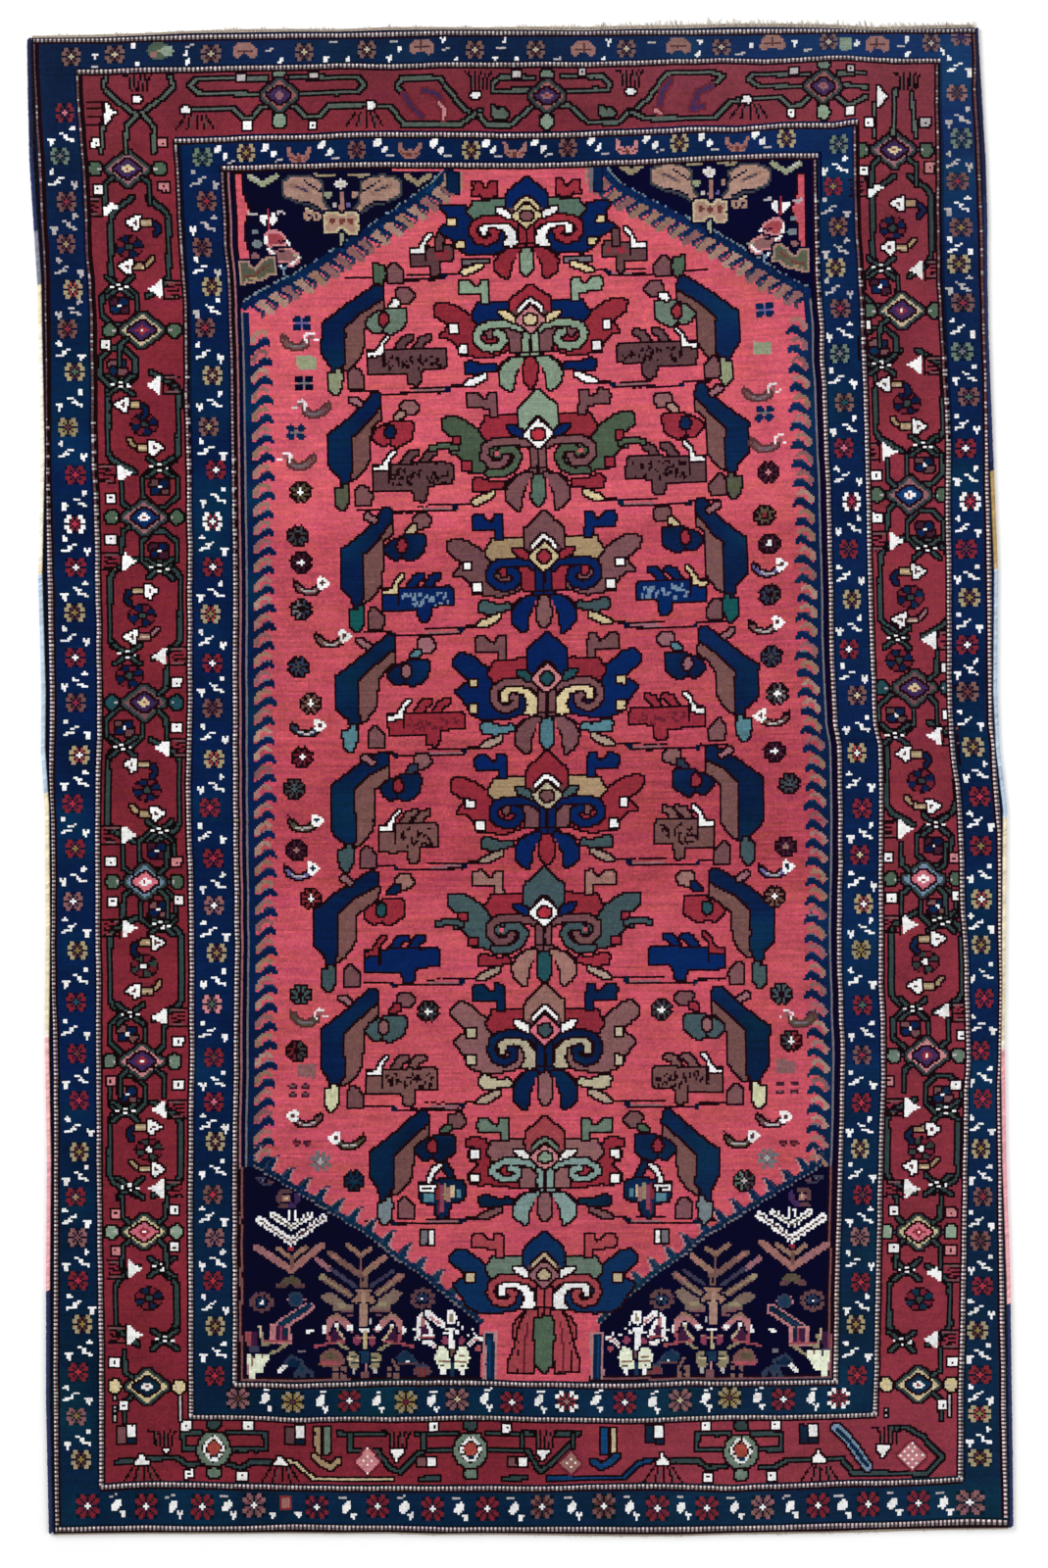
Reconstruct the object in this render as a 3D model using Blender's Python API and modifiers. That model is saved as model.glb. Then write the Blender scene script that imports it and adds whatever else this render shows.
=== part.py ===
"""Hand-knotted village rug, lying flat, face up.

Five pieces, as they are made: the knotted body with its pile, the two
overcast side cords, and the worn warp-end fringe at each end.
Metres, +Z up. +Y runs along the length, towards the end with the deeper
fringe. The origin is on the floor, at the middle of the footprint.
"""
import random

import bmesh
import bpy

MM = 0.001

# ---------------------------------------------------------------- sizes, mm
BODY_THICK = 8.0        # foundation and pile together
CORD_DIA = 6.4          # overcast selvedge cord
CORD_LIFT = 0.2         # the cord is sewn to the side, just off the floor
GAP = 0.3               # clearance between neighbouring pieces
FRINGE_THICK = 2.0      # flat-woven end and its warp ends
TOOTH_PITCH = 11.0      # one bundle of warp ends
TOOTH_SHARE = 0.62      # width of a bundle over the pitch
BAND_SHARE = 0.45       # how much of the reach is woven band
BAND_MIN = 1.4          # least depth of that band
REACH_MIN = 4.0         # least reach of a fringe
SEED = 7

# The sides, seen from above. The rug leans a little and is wider at the foot.
# along: distance from the middle, towards the head; left, right: outer edges.
SIDE_COLUMNS = ("along", "left", "right")
SIDES = (
    (1006, -673.7, 622.3),
    (916, -672.3, 627.6),
    (836, -670.3, 632.3),
    (756, -665.0, 634.6),
    (676, -659.7, 634.7),
    (596, -658.3, 636.3),
    (436, -655.0, 642.7),
    (276, -658.3, 649.0),
    (116, -653.7, 647.7),
    (36, -654.4, 651.4),
    (-44, -649.0, 661.0),
    (-204, -647.7, 659.7),
    (-364, -649.0, 657.9),
    (-524, -646.3, 660.1),
    (-684, -647.7, 665.7),
    (-844, -647.9, 667.9),
    (-924, -646.3, 669.0),
    (-1031, -643.9, 669.9),
)

# The ends. across: distance from the middle, to the right; head, foot: edge
# of the knotted body; head_reach, foot_reach: how far the fringe stands out.
END_COLUMNS = ("across", "head", "head_reach", "foot", "foot_reach")
ENDS = (
    (-668, 1005.2, 6.0, -1031.8, 4.0),
    (-583, 1005.8, 9.3, -1030.5, 4.0),
    (-516, 1008.5, 7.3, -1029.8, 4.2),
    (-450, 1011.8, 7.3, -1029.8, 4.6),
    (-383, 1012.5, 11.3, -1029.8, 4.0),
    (-316, 1013.8, 9.3, -1029.2, 4.2),
    (-249, 1013.8, 8.0, -1029.8, 4.2),
    (-183, 1015.8, 10.0, -1029.2, 4.8),
    (-116, 1016.5, 8.7, -1031.2, 4.8),
    (-49, 1016.5, 6.7, -1030.5, 5.3),
    (17, 1016.1, 11.7, -1031.2, 5.0),
    (84, 1015.2, 12.7, -1031.8, 6.0),
    (151, 1017.2, 14.7, -1032.5, 6.0),
    (217, 1017.8, 18.0, -1032.5, 4.8),
    (284, 1019.8, 15.3, -1030.5, 4.8),
    (351, 1019.8, 16.0, -1029.2, 6.0),
    (418, 1018.5, 12.7, -1028.5, 4.8),
    (484, 1015.2, 17.3, -1025.8, 8.0),
    (551, 1017.2, 13.3, -1024.5, 5.0),
    (668, 1020.5, 8.0, -1023.2, 4.2),
)

# ------------------------------------------------------------ table look-up


def lookup(table, columns, key, name, at):
    """Straight-line reading of one column of a table at a given station."""
    k, n = columns.index(key), columns.index(name)
    rows = sorted(table, key=lambda row: row[k])
    if at <= rows[0][k]:
        return rows[0][n]
    for low, high in zip(rows, rows[1:]):
        if at <= high[k]:
            share = (at - low[k]) / (high[k] - low[k])
            return low[n] + share * (high[n] - low[n])
    return rows[-1][n]


def side(name, along):
    return lookup(SIDES, SIDE_COLUMNS, "along", name, along)


def end(name, across):
    return lookup(ENDS, END_COLUMNS, "across", name, across)


INSET = CORD_DIA + GAP          # from the outer edge to the knotted body


def corner(which_side, which_end):
    """Where the body's side meets its end."""
    sign = 1 if which_side == "left" else -1
    x, y = side(which_side, 0) + sign * INSET, 0
    for _ in range(4):
        y = end(which_end, x)
        x = side(which_side, y) + sign * INSET
    return x, y


HEAD_LEFT, HEAD_RIGHT = corner("left", "head"), corner("right", "head")
FOOT_LEFT, FOOT_RIGHT = corner("left", "foot"), corner("right", "foot")


def end_stations(which_end):
    """Points along one end of the body, from left to right."""
    left = HEAD_LEFT if which_end == "head" else FOOT_LEFT
    right = HEAD_RIGHT if which_end == "head" else FOOT_RIGHT
    inner = [(row[0], end(which_end, row[0])) for row in ENDS
             if left[0] + 8 < row[0] < right[0] - 8]
    return [left] + inner + [right]


def side_stations(which_side):
    """Points along one side of the body, from the foot to the head."""
    sign = 1 if which_side == "left" else -1
    foot = FOOT_LEFT if which_side == "left" else FOOT_RIGHT
    head = HEAD_LEFT if which_side == "left" else HEAD_RIGHT
    inner = [(side(which_side, row[0]) + sign * INSET, row[0])
             for row in reversed(SIDES) if foot[1] + 8 < row[0] < head[1] - 8]
    return [foot] + inner + [head]


def body_outline():
    """The knotted body, all the way round."""
    up = side_stations("left")
    over = end_stations("head")
    down = list(reversed(side_stations("right")))
    back = list(reversed(end_stations("foot")))
    return up + over[1:] + down[1:] + back[1:-1]


def comb_outline(which_end, rng):
    """One fringe: a narrow woven band with bundles of warp ends along it."""
    out = 1 if which_end == "head" else -1
    stations = end_stations(which_end)
    base = [(x, y + out * GAP) for x, y in stations]
    x_low, x_high = stations[0][0], stations[-1][0]
    teeth = int((x_high - x_low) / TOOTH_PITCH)
    pitch = (x_high - x_low) / teeth
    far = []
    for i in range(teeth):
        x_a = x_low + (i + 0.5 - TOOTH_SHARE / 2) * pitch
        x_b = x_low + (i + 0.5 + TOOTH_SHARE / 2) * pitch
        mid = (x_a + x_b) / 2
        reach = max(end(which_end + "_reach", mid), REACH_MIN)
        band = max(reach * BAND_SHARE, BAND_MIN) + GAP
        tip = max(reach * rng.uniform(0.78, 1.0), band + 1.0)
        lean = rng.uniform(-0.8, 0.8)
        y_a, y_b = end(which_end, x_a), end(which_end, x_b)
        far.append((x_a, y_a + out * band))
        far.append((x_a + 0.6 + lean, y_a + out * tip))
        far.append((x_b - 0.6 + lean, y_b + out * tip * 0.97))
        far.append((x_b, y_b + out * band))
    y_first = end(which_end, x_low) + out * (BAND_MIN + GAP)
    y_last = end(which_end, x_high) + out * (BAND_MIN + GAP)
    far = [(x_low, y_first)] + far + [(x_high, y_last)]
    return base + list(reversed(far))


def cord_path(which_side):
    """Centre line of one side cord, from the foot to the head."""
    sign = 1 if which_side == "left" else -1
    shift = -sign * (INSET - CORD_DIA / 2)
    return [(x + shift, y) for x, y in side_stations(which_side)]


# --------------------------------------------------------------- the pieces


def clear_scene():
    for obj in list(bpy.data.objects):
        bpy.data.objects.remove(obj, do_unlink=True)


def finish_material(name, colour, roughness):
    mat = bpy.data.materials.new(name)
    mat.use_nodes = True
    shader = mat.node_tree.nodes["Principled BSDF"]
    shader.inputs["Base Color"].default_value = (*colour, 1.0)
    shader.inputs["Roughness"].default_value = roughness
    shader.inputs["Metallic"].default_value = 0.0
    mat.diffuse_color = (*colour, 1.0)
    return mat


def flat_piece(name, outline, thickness, origin, material, collection):
    """A flat solid of the given outline, standing on the floor."""
    curve = bpy.data.curves.new(name, "CURVE")
    curve.dimensions = "2D"
    curve.fill_mode = "BOTH"
    curve.extrude = thickness * MM / 2
    curve.resolution_u = 1
    curve.render_resolution_u = 0
    spline = curve.splines.new("POLY")
    spline.points.add(len(outline) - 1)
    for point, (x, y) in zip(spline.points, outline):
        point.co = ((x - origin[0]) * MM, (y - origin[1]) * MM, 0.0, 1.0)
    spline.use_cyclic_u = True
    curve.materials.append(material)
    obj = bpy.data.objects.new(name, curve)
    obj.location = (0.0, 0.0, thickness * MM / 2)
    collection.objects.link(obj)
    return obj


def comb_piece(name, outline, thickness, origin, material, collection):
    """A flat comb: one face of the outline, given its thickness."""
    mesh = bpy.data.meshes.new(name)
    bm = bmesh.new()
    verts = [bm.verts.new(((x - origin[0]) * MM, (y - origin[1]) * MM, 0.0))
             for x, y in outline]
    face = bm.faces.new(verts)
    face.normal_update()
    if face.normal.z < 0:
        face.normal_flip()
    bmesh.ops.triangulate(bm, faces=bm.faces[:], ngon_method="EAR_CLIP")
    bm.to_mesh(mesh)
    bm.free()
    mesh.materials.append(material)
    obj = bpy.data.objects.new(name, mesh)
    obj.location = (0.0, 0.0, thickness * MM / 2)
    collection.objects.link(obj)
    solid = obj.modifiers.new("thickness", "SOLIDIFY")
    solid.thickness = thickness * MM
    solid.offset = 0.0
    return obj


def cord_piece(name, path, origin, material, collection):
    """A round cord along a path on the floor."""
    curve = bpy.data.curves.new(name, "CURVE")
    curve.dimensions = "3D"
    curve.bevel_depth = CORD_DIA * MM / 2
    curve.bevel_resolution = 2
    curve.use_fill_caps = True
    curve.resolution_u = 1
    curve.render_resolution_u = 0
    spline = curve.splines.new("POLY")
    spline.points.add(len(path) - 1)
    for point, (x, y) in zip(spline.points, path):
        point.co = ((x - origin[0]) * MM, (y - origin[1]) * MM, 0.0, 1.0)
    curve.materials.append(material)
    obj = bpy.data.objects.new(name, curve)
    obj.location = (0.0, 0.0, (CORD_DIA / 2 + CORD_LIFT) * MM)
    collection.objects.link(obj)
    return obj


def footprint_middle(outlines, paths):
    xs = [x for pts in outlines for x, _ in pts]
    ys = [y for pts in outlines for _, y in pts]
    for pts in paths:
        xs += [x - CORD_DIA / 2 for x, _ in pts] + [x + CORD_DIA / 2 for x, _ in pts]
        ys += [y for _, y in pts]
    return (min(xs) + max(xs)) / 2, (min(ys) + max(ys)) / 2


def build():
    clear_scene()
    collection = bpy.data.collections.new("knotted_rug")
    bpy.context.scene.collection.children.link(collection)

    rng = random.Random(SEED)
    body = body_outline()
    head, foot = comb_outline("head", rng), comb_outline("foot", rng)
    left, right = cord_path("left"), cord_path("right")
    origin = footprint_middle((body, head, foot), (left, right))

    pile = finish_material("pile_wool", (0.36, 0.035, 0.05), 0.95)
    wrap_left = finish_material("selvedge_wool_left", (0.05, 0.07, 0.14), 0.9)
    wrap_right = finish_material("selvedge_wool_right", (0.05, 0.07, 0.14), 0.9)
    warp_head = finish_material("warp_cotton_head", (0.78, 0.74, 0.68), 0.95)
    warp_foot = finish_material("warp_cotton_foot", (0.78, 0.74, 0.68), 0.95)

    flat_piece("rug_body", body, BODY_THICK, origin, pile, collection)
    comb_piece("fringe_head", head, FRINGE_THICK, origin, warp_head, collection)
    comb_piece("fringe_foot", foot, FRINGE_THICK, origin, warp_foot, collection)
    cord_piece("selvedge_left", left, origin, wrap_left, collection)
    cord_piece("selvedge_right", right, origin, wrap_right, collection)


build()
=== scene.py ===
"""Looks of a hand-knotted village rug, lying flat, face up.

The pattern is charted knot by knot with small drawing functions, the way a
weaver counts it from a repeat. Sizes in the drawing are in units of
1.334 mm, x to the right and y towards the foot; the world is in metres.
"""

import math

import bpy
import numpy as np
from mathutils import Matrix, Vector

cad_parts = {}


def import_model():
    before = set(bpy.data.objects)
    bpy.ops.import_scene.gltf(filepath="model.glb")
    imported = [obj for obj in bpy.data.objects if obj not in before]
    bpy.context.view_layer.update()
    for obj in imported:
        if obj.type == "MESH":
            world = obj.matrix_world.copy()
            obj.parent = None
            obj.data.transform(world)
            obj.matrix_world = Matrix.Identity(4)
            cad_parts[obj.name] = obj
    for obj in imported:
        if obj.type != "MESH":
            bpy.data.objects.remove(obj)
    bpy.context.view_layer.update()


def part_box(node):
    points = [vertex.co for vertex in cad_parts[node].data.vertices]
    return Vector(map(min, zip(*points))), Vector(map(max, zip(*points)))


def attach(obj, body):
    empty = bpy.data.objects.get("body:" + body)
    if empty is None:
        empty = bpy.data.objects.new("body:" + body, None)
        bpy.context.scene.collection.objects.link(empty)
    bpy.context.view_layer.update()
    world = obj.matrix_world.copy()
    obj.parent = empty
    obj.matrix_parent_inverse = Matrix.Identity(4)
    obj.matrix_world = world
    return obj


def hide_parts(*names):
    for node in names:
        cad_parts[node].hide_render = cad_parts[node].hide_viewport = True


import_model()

UNIT = 1.334              # mm in one drawing unit
ORIGIN = (532.0, 792.0)   # drawing point over the tables' zero
RNG = np.random.default_rng(1907)

# ------------------------------------------------------------- the outline
# The same tables as the solid's, in mm.
SIDES = (  # along, left, right: outer edges of the side cords
    (1006, -673.7, 622.3), (916, -672.3, 627.6), (836, -670.3, 632.3),
    (756, -665.0, 634.6), (676, -659.7, 634.7), (596, -658.3, 636.3),
    (436, -655.0, 642.7), (276, -658.3, 649.0), (116, -653.7, 647.7),
    (36, -654.4, 651.4), (-44, -649.0, 661.0), (-204, -647.7, 659.7),
    (-364, -649.0, 657.9), (-524, -646.3, 660.1), (-684, -647.7, 665.7),
    (-844, -647.9, 667.9), (-924, -646.3, 669.0), (-1031, -643.9, 669.9),
)
ENDS = (  # across, head, head_reach, foot, foot_reach
    (-668, 1005.2, 6.0, -1031.8, 4.0), (-583, 1005.8, 9.3, -1030.5, 4.0),
    (-516, 1008.5, 7.3, -1029.8, 4.2), (-450, 1011.8, 7.3, -1029.8, 4.6),
    (-383, 1012.5, 11.3, -1029.8, 4.0), (-316, 1013.8, 9.3, -1029.2, 4.2),
    (-249, 1013.8, 8.0, -1029.8, 4.2), (-183, 1015.8, 10.0, -1029.2, 4.8),
    (-116, 1016.5, 8.7, -1031.2, 4.8), (-49, 1016.5, 6.7, -1030.5, 5.3),
    (17, 1016.1, 11.7, -1031.2, 5.0), (84, 1015.2, 12.7, -1031.8, 6.0),
    (151, 1017.2, 14.7, -1032.5, 6.0), (217, 1017.8, 18.0, -1032.5, 4.8),
    (284, 1019.8, 15.3, -1030.5, 4.8), (351, 1019.8, 16.0, -1029.2, 6.0),
    (418, 1018.5, 12.7, -1028.5, 4.8), (484, 1015.2, 17.3, -1025.8, 8.0),
    (551, 1017.2, 13.3, -1024.5, 5.0), (668, 1020.5, 8.0, -1023.2, 4.2),
)
CORD_DIA, CORD_LIFT, GAP = 6.4, 0.2, 0.3
INSET = CORD_DIA + GAP


def line_of(points):
    """A table of (position, station) pairs as two sorted arrays."""
    pts = sorted((s, p) for p, s in points)
    return np.array([s for s, _ in pts], float), np.array([p for _, p in pts], float)


def read(line, at):
    return np.interp(at, line[0], line[1])


LEFT_EDGE = line_of([(532 + (l + INSET) / UNIT, 792 - s / UNIT) for s, l, r in SIDES])
RIGHT_EDGE = line_of([(532 + (r - INSET) / UNIT, 792 - s / UNIT) for s, l, r in SIDES])
HEAD_EDGE = line_of([(792 - e[1] / UNIT, 532 + e[0] / UNIT) for e in ENDS])
FOOT_EDGE = line_of([(792 - e[3] / UNIT, 532 + e[0] / UNIT) for e in ENDS])
HEAD_REACH = line_of([(e[2], e[0]) for e in ENDS])
FOOT_REACH = line_of([(e[4], e[0]) for e in ENDS])

# ------------------------------------------------ how the weaving leans
# Each upright line between two bands: (x, y) down its length.
L1 = line_of([(35.5, 45), (36, 70), (38, 100), (39, 130), (41, 150), (43, 190), (44, 220),
              (45.5, 250), (47, 285), (47, 320), (48, 360), (48, 440), (48.5, 500), (50, 550),
              (51.5, 600), (52, 650), (53, 700), (53, 750), (51.5, 790), (53.5, 840), (54.5, 900),
              (53.5, 960), (54, 1000), (56, 1050), (57, 1100), (57, 1300), (56.5, 1400),
              (57.5, 1500), (58, 1560)])
L2 = line_of([(80, 80), (80.5, 100), (83, 130), (84.5, 150), (86, 170), (87.5, 190), (89, 220),
              (90, 260), (93, 290), (94.5, 320), (95, 370), (95.5, 430), (96, 470), (98, 500),
              (99, 550), (100, 600), (101, 650), (101.5, 700), (102, 750), (100, 790),
              (99.5, 850), (100, 950), (100.5, 1000), (100.5, 1100), (101, 1200), (101.5, 1250),
              (102, 1300), (103, 1350), (103.5, 1400), (103.5, 1515)])
L3 = line_of([(180.5, 145), (181.5, 170), (182.5, 190), (184, 220), (186, 250), (188, 280),
              (190, 310), (191, 350), (191, 400), (192, 440), (193, 480), (193, 520), (194, 560),
              (193.5, 600), (194, 650), (194, 700), (193, 750), (192, 800), (193, 850),
              (194, 880), (195, 920), (196, 1000), (196, 1080), (195, 1160), (194.5, 1200),
              (194.5, 1400), (195, 1440)])
L4 = line_of([(227.5, 172), (228, 190), (230, 220), (231, 250), (234, 280), (235.5, 310),
              (237, 350), (238, 400), (238.5, 450), (239, 500), (240, 550), (240, 800),
              (240.5, 850), (241.5, 900), (242, 960), (241, 1080), (240, 1150), (239.5, 1200),
              (239.5, 1280), (240, 1330), (239.5, 1410)])
AXIS = line_of([(537, 200), (541, 326), (549, 443), (555, 568), (558, 692), (558, 812),
                (555, 931), (556, 1051), (556, 1181), (555, 1301), (552, 1400)])
R4 = line_of([(832.5, 160), (833, 220), (834, 280), (838, 330), (839, 370), (841, 400),
              (842.5, 440), (845, 500), (846, 550), (848, 600), (848, 650), (850, 700),
              (852, 740), (856, 760), (857, 800), (857.5, 850), (857, 900), (856, 950),
              (857, 1000), (858.5, 1040), (860, 1080), (859.5, 1110), (858, 1160), (857, 1210),
              (855.5, 1260), (854, 1310), (853, 1360), (852.5, 1400)])
R3 = line_of([(873, 130), (873, 150), (874, 200), (875, 240), (878, 280), (880, 320),
              (882, 370), (883, 400), (884, 440), (886, 500), (887, 560), (888, 600),
              (889, 640), (891, 690), (893, 740), (898, 760), (899, 800), (899, 850),
              (898.5, 900), (899, 950), (898.5, 1000), (900.5, 1040), (901, 1080), (901, 1110),
              (899.5, 1150), (898, 1200), (896, 1300), (894, 1400), (892.5, 1440)])
R2 = line_of([(957, 70), (957, 110), (958, 150), (958, 250), (959, 290), (961, 330),
              (963, 360), (964, 390), (966, 420), (967, 450), (967, 550), (968, 600),
              (968, 690), (969.5, 730), (970, 750), (973, 780), (977, 800), (979, 830),
              (981, 870), (981.5, 900), (982, 930), (985, 960), (986, 1000), (987, 1040),
              (988, 1080), (986, 1110), (985, 1150), (984.5, 1200), (984, 1250), (983.5, 1290),
              (982, 1340), (981, 1380), (980, 1440), (979.5, 1490)])
R1 = line_of([(994.5, 30), (996.5, 60), (995, 90), (997, 120), (999, 150), (1000, 180),
              (1001.5, 210), (1003, 260), (1004, 300), (1005, 340), (1006.5, 380), (1007, 420),
              (1007.5, 500), (1009, 540), (1010, 650), (1010.5, 690), (1011, 740), (1014, 760),
              (1015.5, 800), (1018, 830), (1020, 850), (1020.5, 900), (1020.5, 950),
              (1022, 1000), (1021.5, 1040), (1020.5, 1080), (1019, 1110), (1020, 1150),
              (1020.5, 1200), (1021, 1260), (1022, 1310), (1022.5, 1350), (1024, 1400),
              (1024, 1440), (1025.5, 1490), (1027, 1540)])
# Each cross line: (y, x) along its length.
T1 = line_of([(41, 60), (41, 100), (39.5, 150), (38, 200), (37.5, 250), (36.5, 300),
              (36.5, 350), (35, 400), (33.5, 450), (33.5, 550), (33, 700), (31, 850), (31, 990)])
T2 = line_of([(73.5, 90), (72, 120), (71, 150), (71, 200), (69, 250), (68.3, 300), (67, 340),
              (67.5, 400), (66, 450), (66, 530), (65.5, 550), (65.5, 600), (64, 650), (62.5, 700),
              (60.8, 735), (62.5, 780), (61.5, 800), (58.5, 850), (58.5, 865), (60.5, 885),
              (62, 920), (62, 955)])
T3 = line_of([(143.6, 190), (142.5, 230), (141.5, 250), (140.8, 300), (138.4, 350),
              (137.5, 400), (137.5, 450), (138.4, 500), (138.4, 550), (136.8, 600), (135, 650),
              (132.1, 700), (132.1, 750), (128.3, 800), (127.5, 850), (124.5, 868)])
T4 = line_of([(171.5, 230), (170, 300), (168, 350), (168, 400), (168.5, 450), (168.5, 500),
              (169, 550), (167, 600), (165, 650), (162.5, 700), (160.2, 750), (158.5, 800),
              (158.5, 830)])
B4 = line_of([(1413.5, 250), (1414.3, 300), (1413.4, 350), (1411.3, 400), (1410.8, 450),
              (1412, 500), (1413.2, 550), (1414.5, 600), (1413.7, 650), (1412, 700),
              (1412, 750), (1411.4, 800), (1410.5, 850)])
B3 = line_of([(1445.7, 200), (1446.3, 250), (1448.8, 300), (1448.3, 350), (1448.3, 400),
              (1447, 450), (1447, 500), (1448.8, 550), (1449.3, 600), (1449.3, 650),
              (1447.6, 700), (1446.5, 750), (1445.8, 800), (1444.7, 850), (1443.5, 890)])
B2 = line_of([(1517.7, 100), (1515.4, 150), (1515.4, 200), (1516.7, 250), (1517.9, 300),
              (1519, 350), (1519, 550), (1517.8, 600), (1517.2, 650), (1517.2, 700),
              (1519, 750), (1516.2, 800), (1514.1, 850), (1513.1, 900), (1512, 950),
              (1510, 980)])
B1 = line_of([(1561, 70), (1560, 100), (1559, 150), (1560.5, 200), (1559.6, 250),
              (1557.8, 300), (1558.9, 350), (1558.9, 400), (1560.6, 450), (1560.8, 500),
              (1560.4, 550), (1560.4, 600), (1560.8, 650), (1560.5, 700), (1559.7, 750),
              (1558.6, 800), (1556.9, 850), (1556, 900), (1554, 950), (1552.5, 990),
              (1553.5, 1025)])

# Knot counts from the left side and from the head to each line's middle.
COLUMNS = ((0, LEFT_EDGE), (3, L1), (24, L2), (69, L3), (90, L4), (241, AXIS), (384, R4),
           (404, R3), (446, R2), (463, R1), (465, RIGHT_EDGE))
NC, NR = 465, 731
HALF = 2  # a line is two knots wide

# How far the wefts rise towards the right, per unit, where they cross the axis.
FIELD_DROP = line_of([(-0.0225, 170), (-0.027, 220), (-0.030, 330), (-0.031, 530),
                      (-0.027, 692), (-0.018, 812), (-0.009, 931), (-0.008, 1051),
                      (-0.004, 1181), (-0.001, 1301), (0.0, 1412)])
REACH_X = np.arange(0.0, 1081.0, 4.0)
_share = np.clip(1 + (REACH_X - 555) / 300 * 0.9, 0.12, 1.9)
_share[REACH_X > 858] *= 0.25
RISE = np.r_[0, np.cumsum((_share[1:] + _share[:-1]) / 2 * 4)]
RISE -= np.interp(555, REACH_X, RISE)


def weft_y(y0, x):
    """Where the weft that crosses the axis at y0 lies at x."""
    return y0 + read(FIELD_DROP, y0) * np.interp(x, REACH_X, RISE)


def slope(y, x=555.0):
    return float(read(FIELD_DROP, y) * np.interp(x, REACH_X, _share))


def weft_line(y0):
    """A cross line through the field at y0 on the axis."""
    xs = np.linspace(0, 1060, 107)
    return xs, weft_y(y0, xs)


ROW_V0, ROW_V1 = 66, 658
AX_TOP, AX_FOOT = 168.9, 1412.9
MIDDLES = [220, 331, 443, 568, 692, 812, 931, 1051, 1181, 1301]
ROWS = ([(0, HEAD_EDGE), (2, T1), (18, T2), (51, T3), (66, T4)]
        + [(ROW_V0 + (ROW_V1 - ROW_V0) * (y - AX_TOP) / (AX_FOOT - AX_TOP), weft_line(y))
           for y in MIDDLES]
        + [(658, B4), (676, B3), (710, B2), (729, B1), (731, FOOT_EDGE)])


def between(stations, values, at):
    """Straight-line reading between neighbouring stations, each with its own array."""
    out = np.empty(at.shape)
    for (a, b), (va, vb) in zip(zip(stations, stations[1:]), zip(values, values[1:])):
        m = (at >= a) & (at <= b)
        t = (at[m] - a) / (b - a)
        out[m] = va[m] * (1 - t) + vb[m] * t
    return out


def warp(u, v):
    """Where the knot count (u across, v down) lies on the rug, in drawing units."""
    x = 50 + u * 2.1
    y = 30 + v * 2.1
    us, vs = [c[0] for c in COLUMNS], [r[0] for r in ROWS]
    for _ in range(4):
        x = between(us, [read(c[1], y) for c in COLUMNS], u)
        y = between(vs, [read(r[1], x) for r in ROWS], v)
    return x, y


def wander(shape, cells, seed):
    """Smooth noise about -1 to 1 on a grid, with about `cells` lumps down it."""
    r = np.random.default_rng(seed)
    n0, n1 = cells, max(2, int(cells * shape[1] / shape[0]))
    g = r.uniform(-1, 1, (n0 + 3, n1 + 3))
    a = np.linspace(0.5, n0 + 0.5, shape[0])
    b = np.linspace(0.5, n1 + 0.5, shape[1])
    ia, ib = a.astype(int), b.astype(int)
    fa, fb = a - ia, b - ib
    fa, fb = fa * fa * (3 - 2 * fa), fb * fb * (3 - 2 * fb)
    top = g[ia][:, ib] * (1 - fb) + g[ia][:, ib + 1] * fb
    low = g[ia + 1][:, ib] * (1 - fb) + g[ia + 1][:, ib + 1] * fb
    return top * (1 - fa)[:, None] + low * fa[:, None]


vv, uu = np.meshgrid(np.arange(NR + 1, dtype=float), np.arange(NC + 1, dtype=float), indexing="ij")
VX, VY = warp(uu, vv)
# Hand work: rows and columns wander a little, and no knot is quite square.
inner = np.minimum(np.minimum(uu, NC - uu), np.minimum(vv, NR - vv))
ease = np.clip(inner / 6, 0, 1)
VX = VX + ease * (0.45 * wander(VX.shape, 60, 11) + RNG.normal(0, 0.13, VX.shape))
VY = VY + ease * (0.55 * wander(VY.shape, 46, 12) + RNG.normal(0, 0.15, VY.shape))
PX = (VX[:-1, :-1] + VX[1:, :-1] + VX[:-1, 1:] + VX[1:, 1:]) / 4
PY = (VY[:-1, :-1] + VY[1:, :-1] + VY[:-1, 1:] + VY[1:, 1:]) / 4
ROW_LOW, ROW_HIGH = PY.min(1), PY.max(1)
COL_LOW, COL_HIGH = PX.min(0), PX.max(0)

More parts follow.
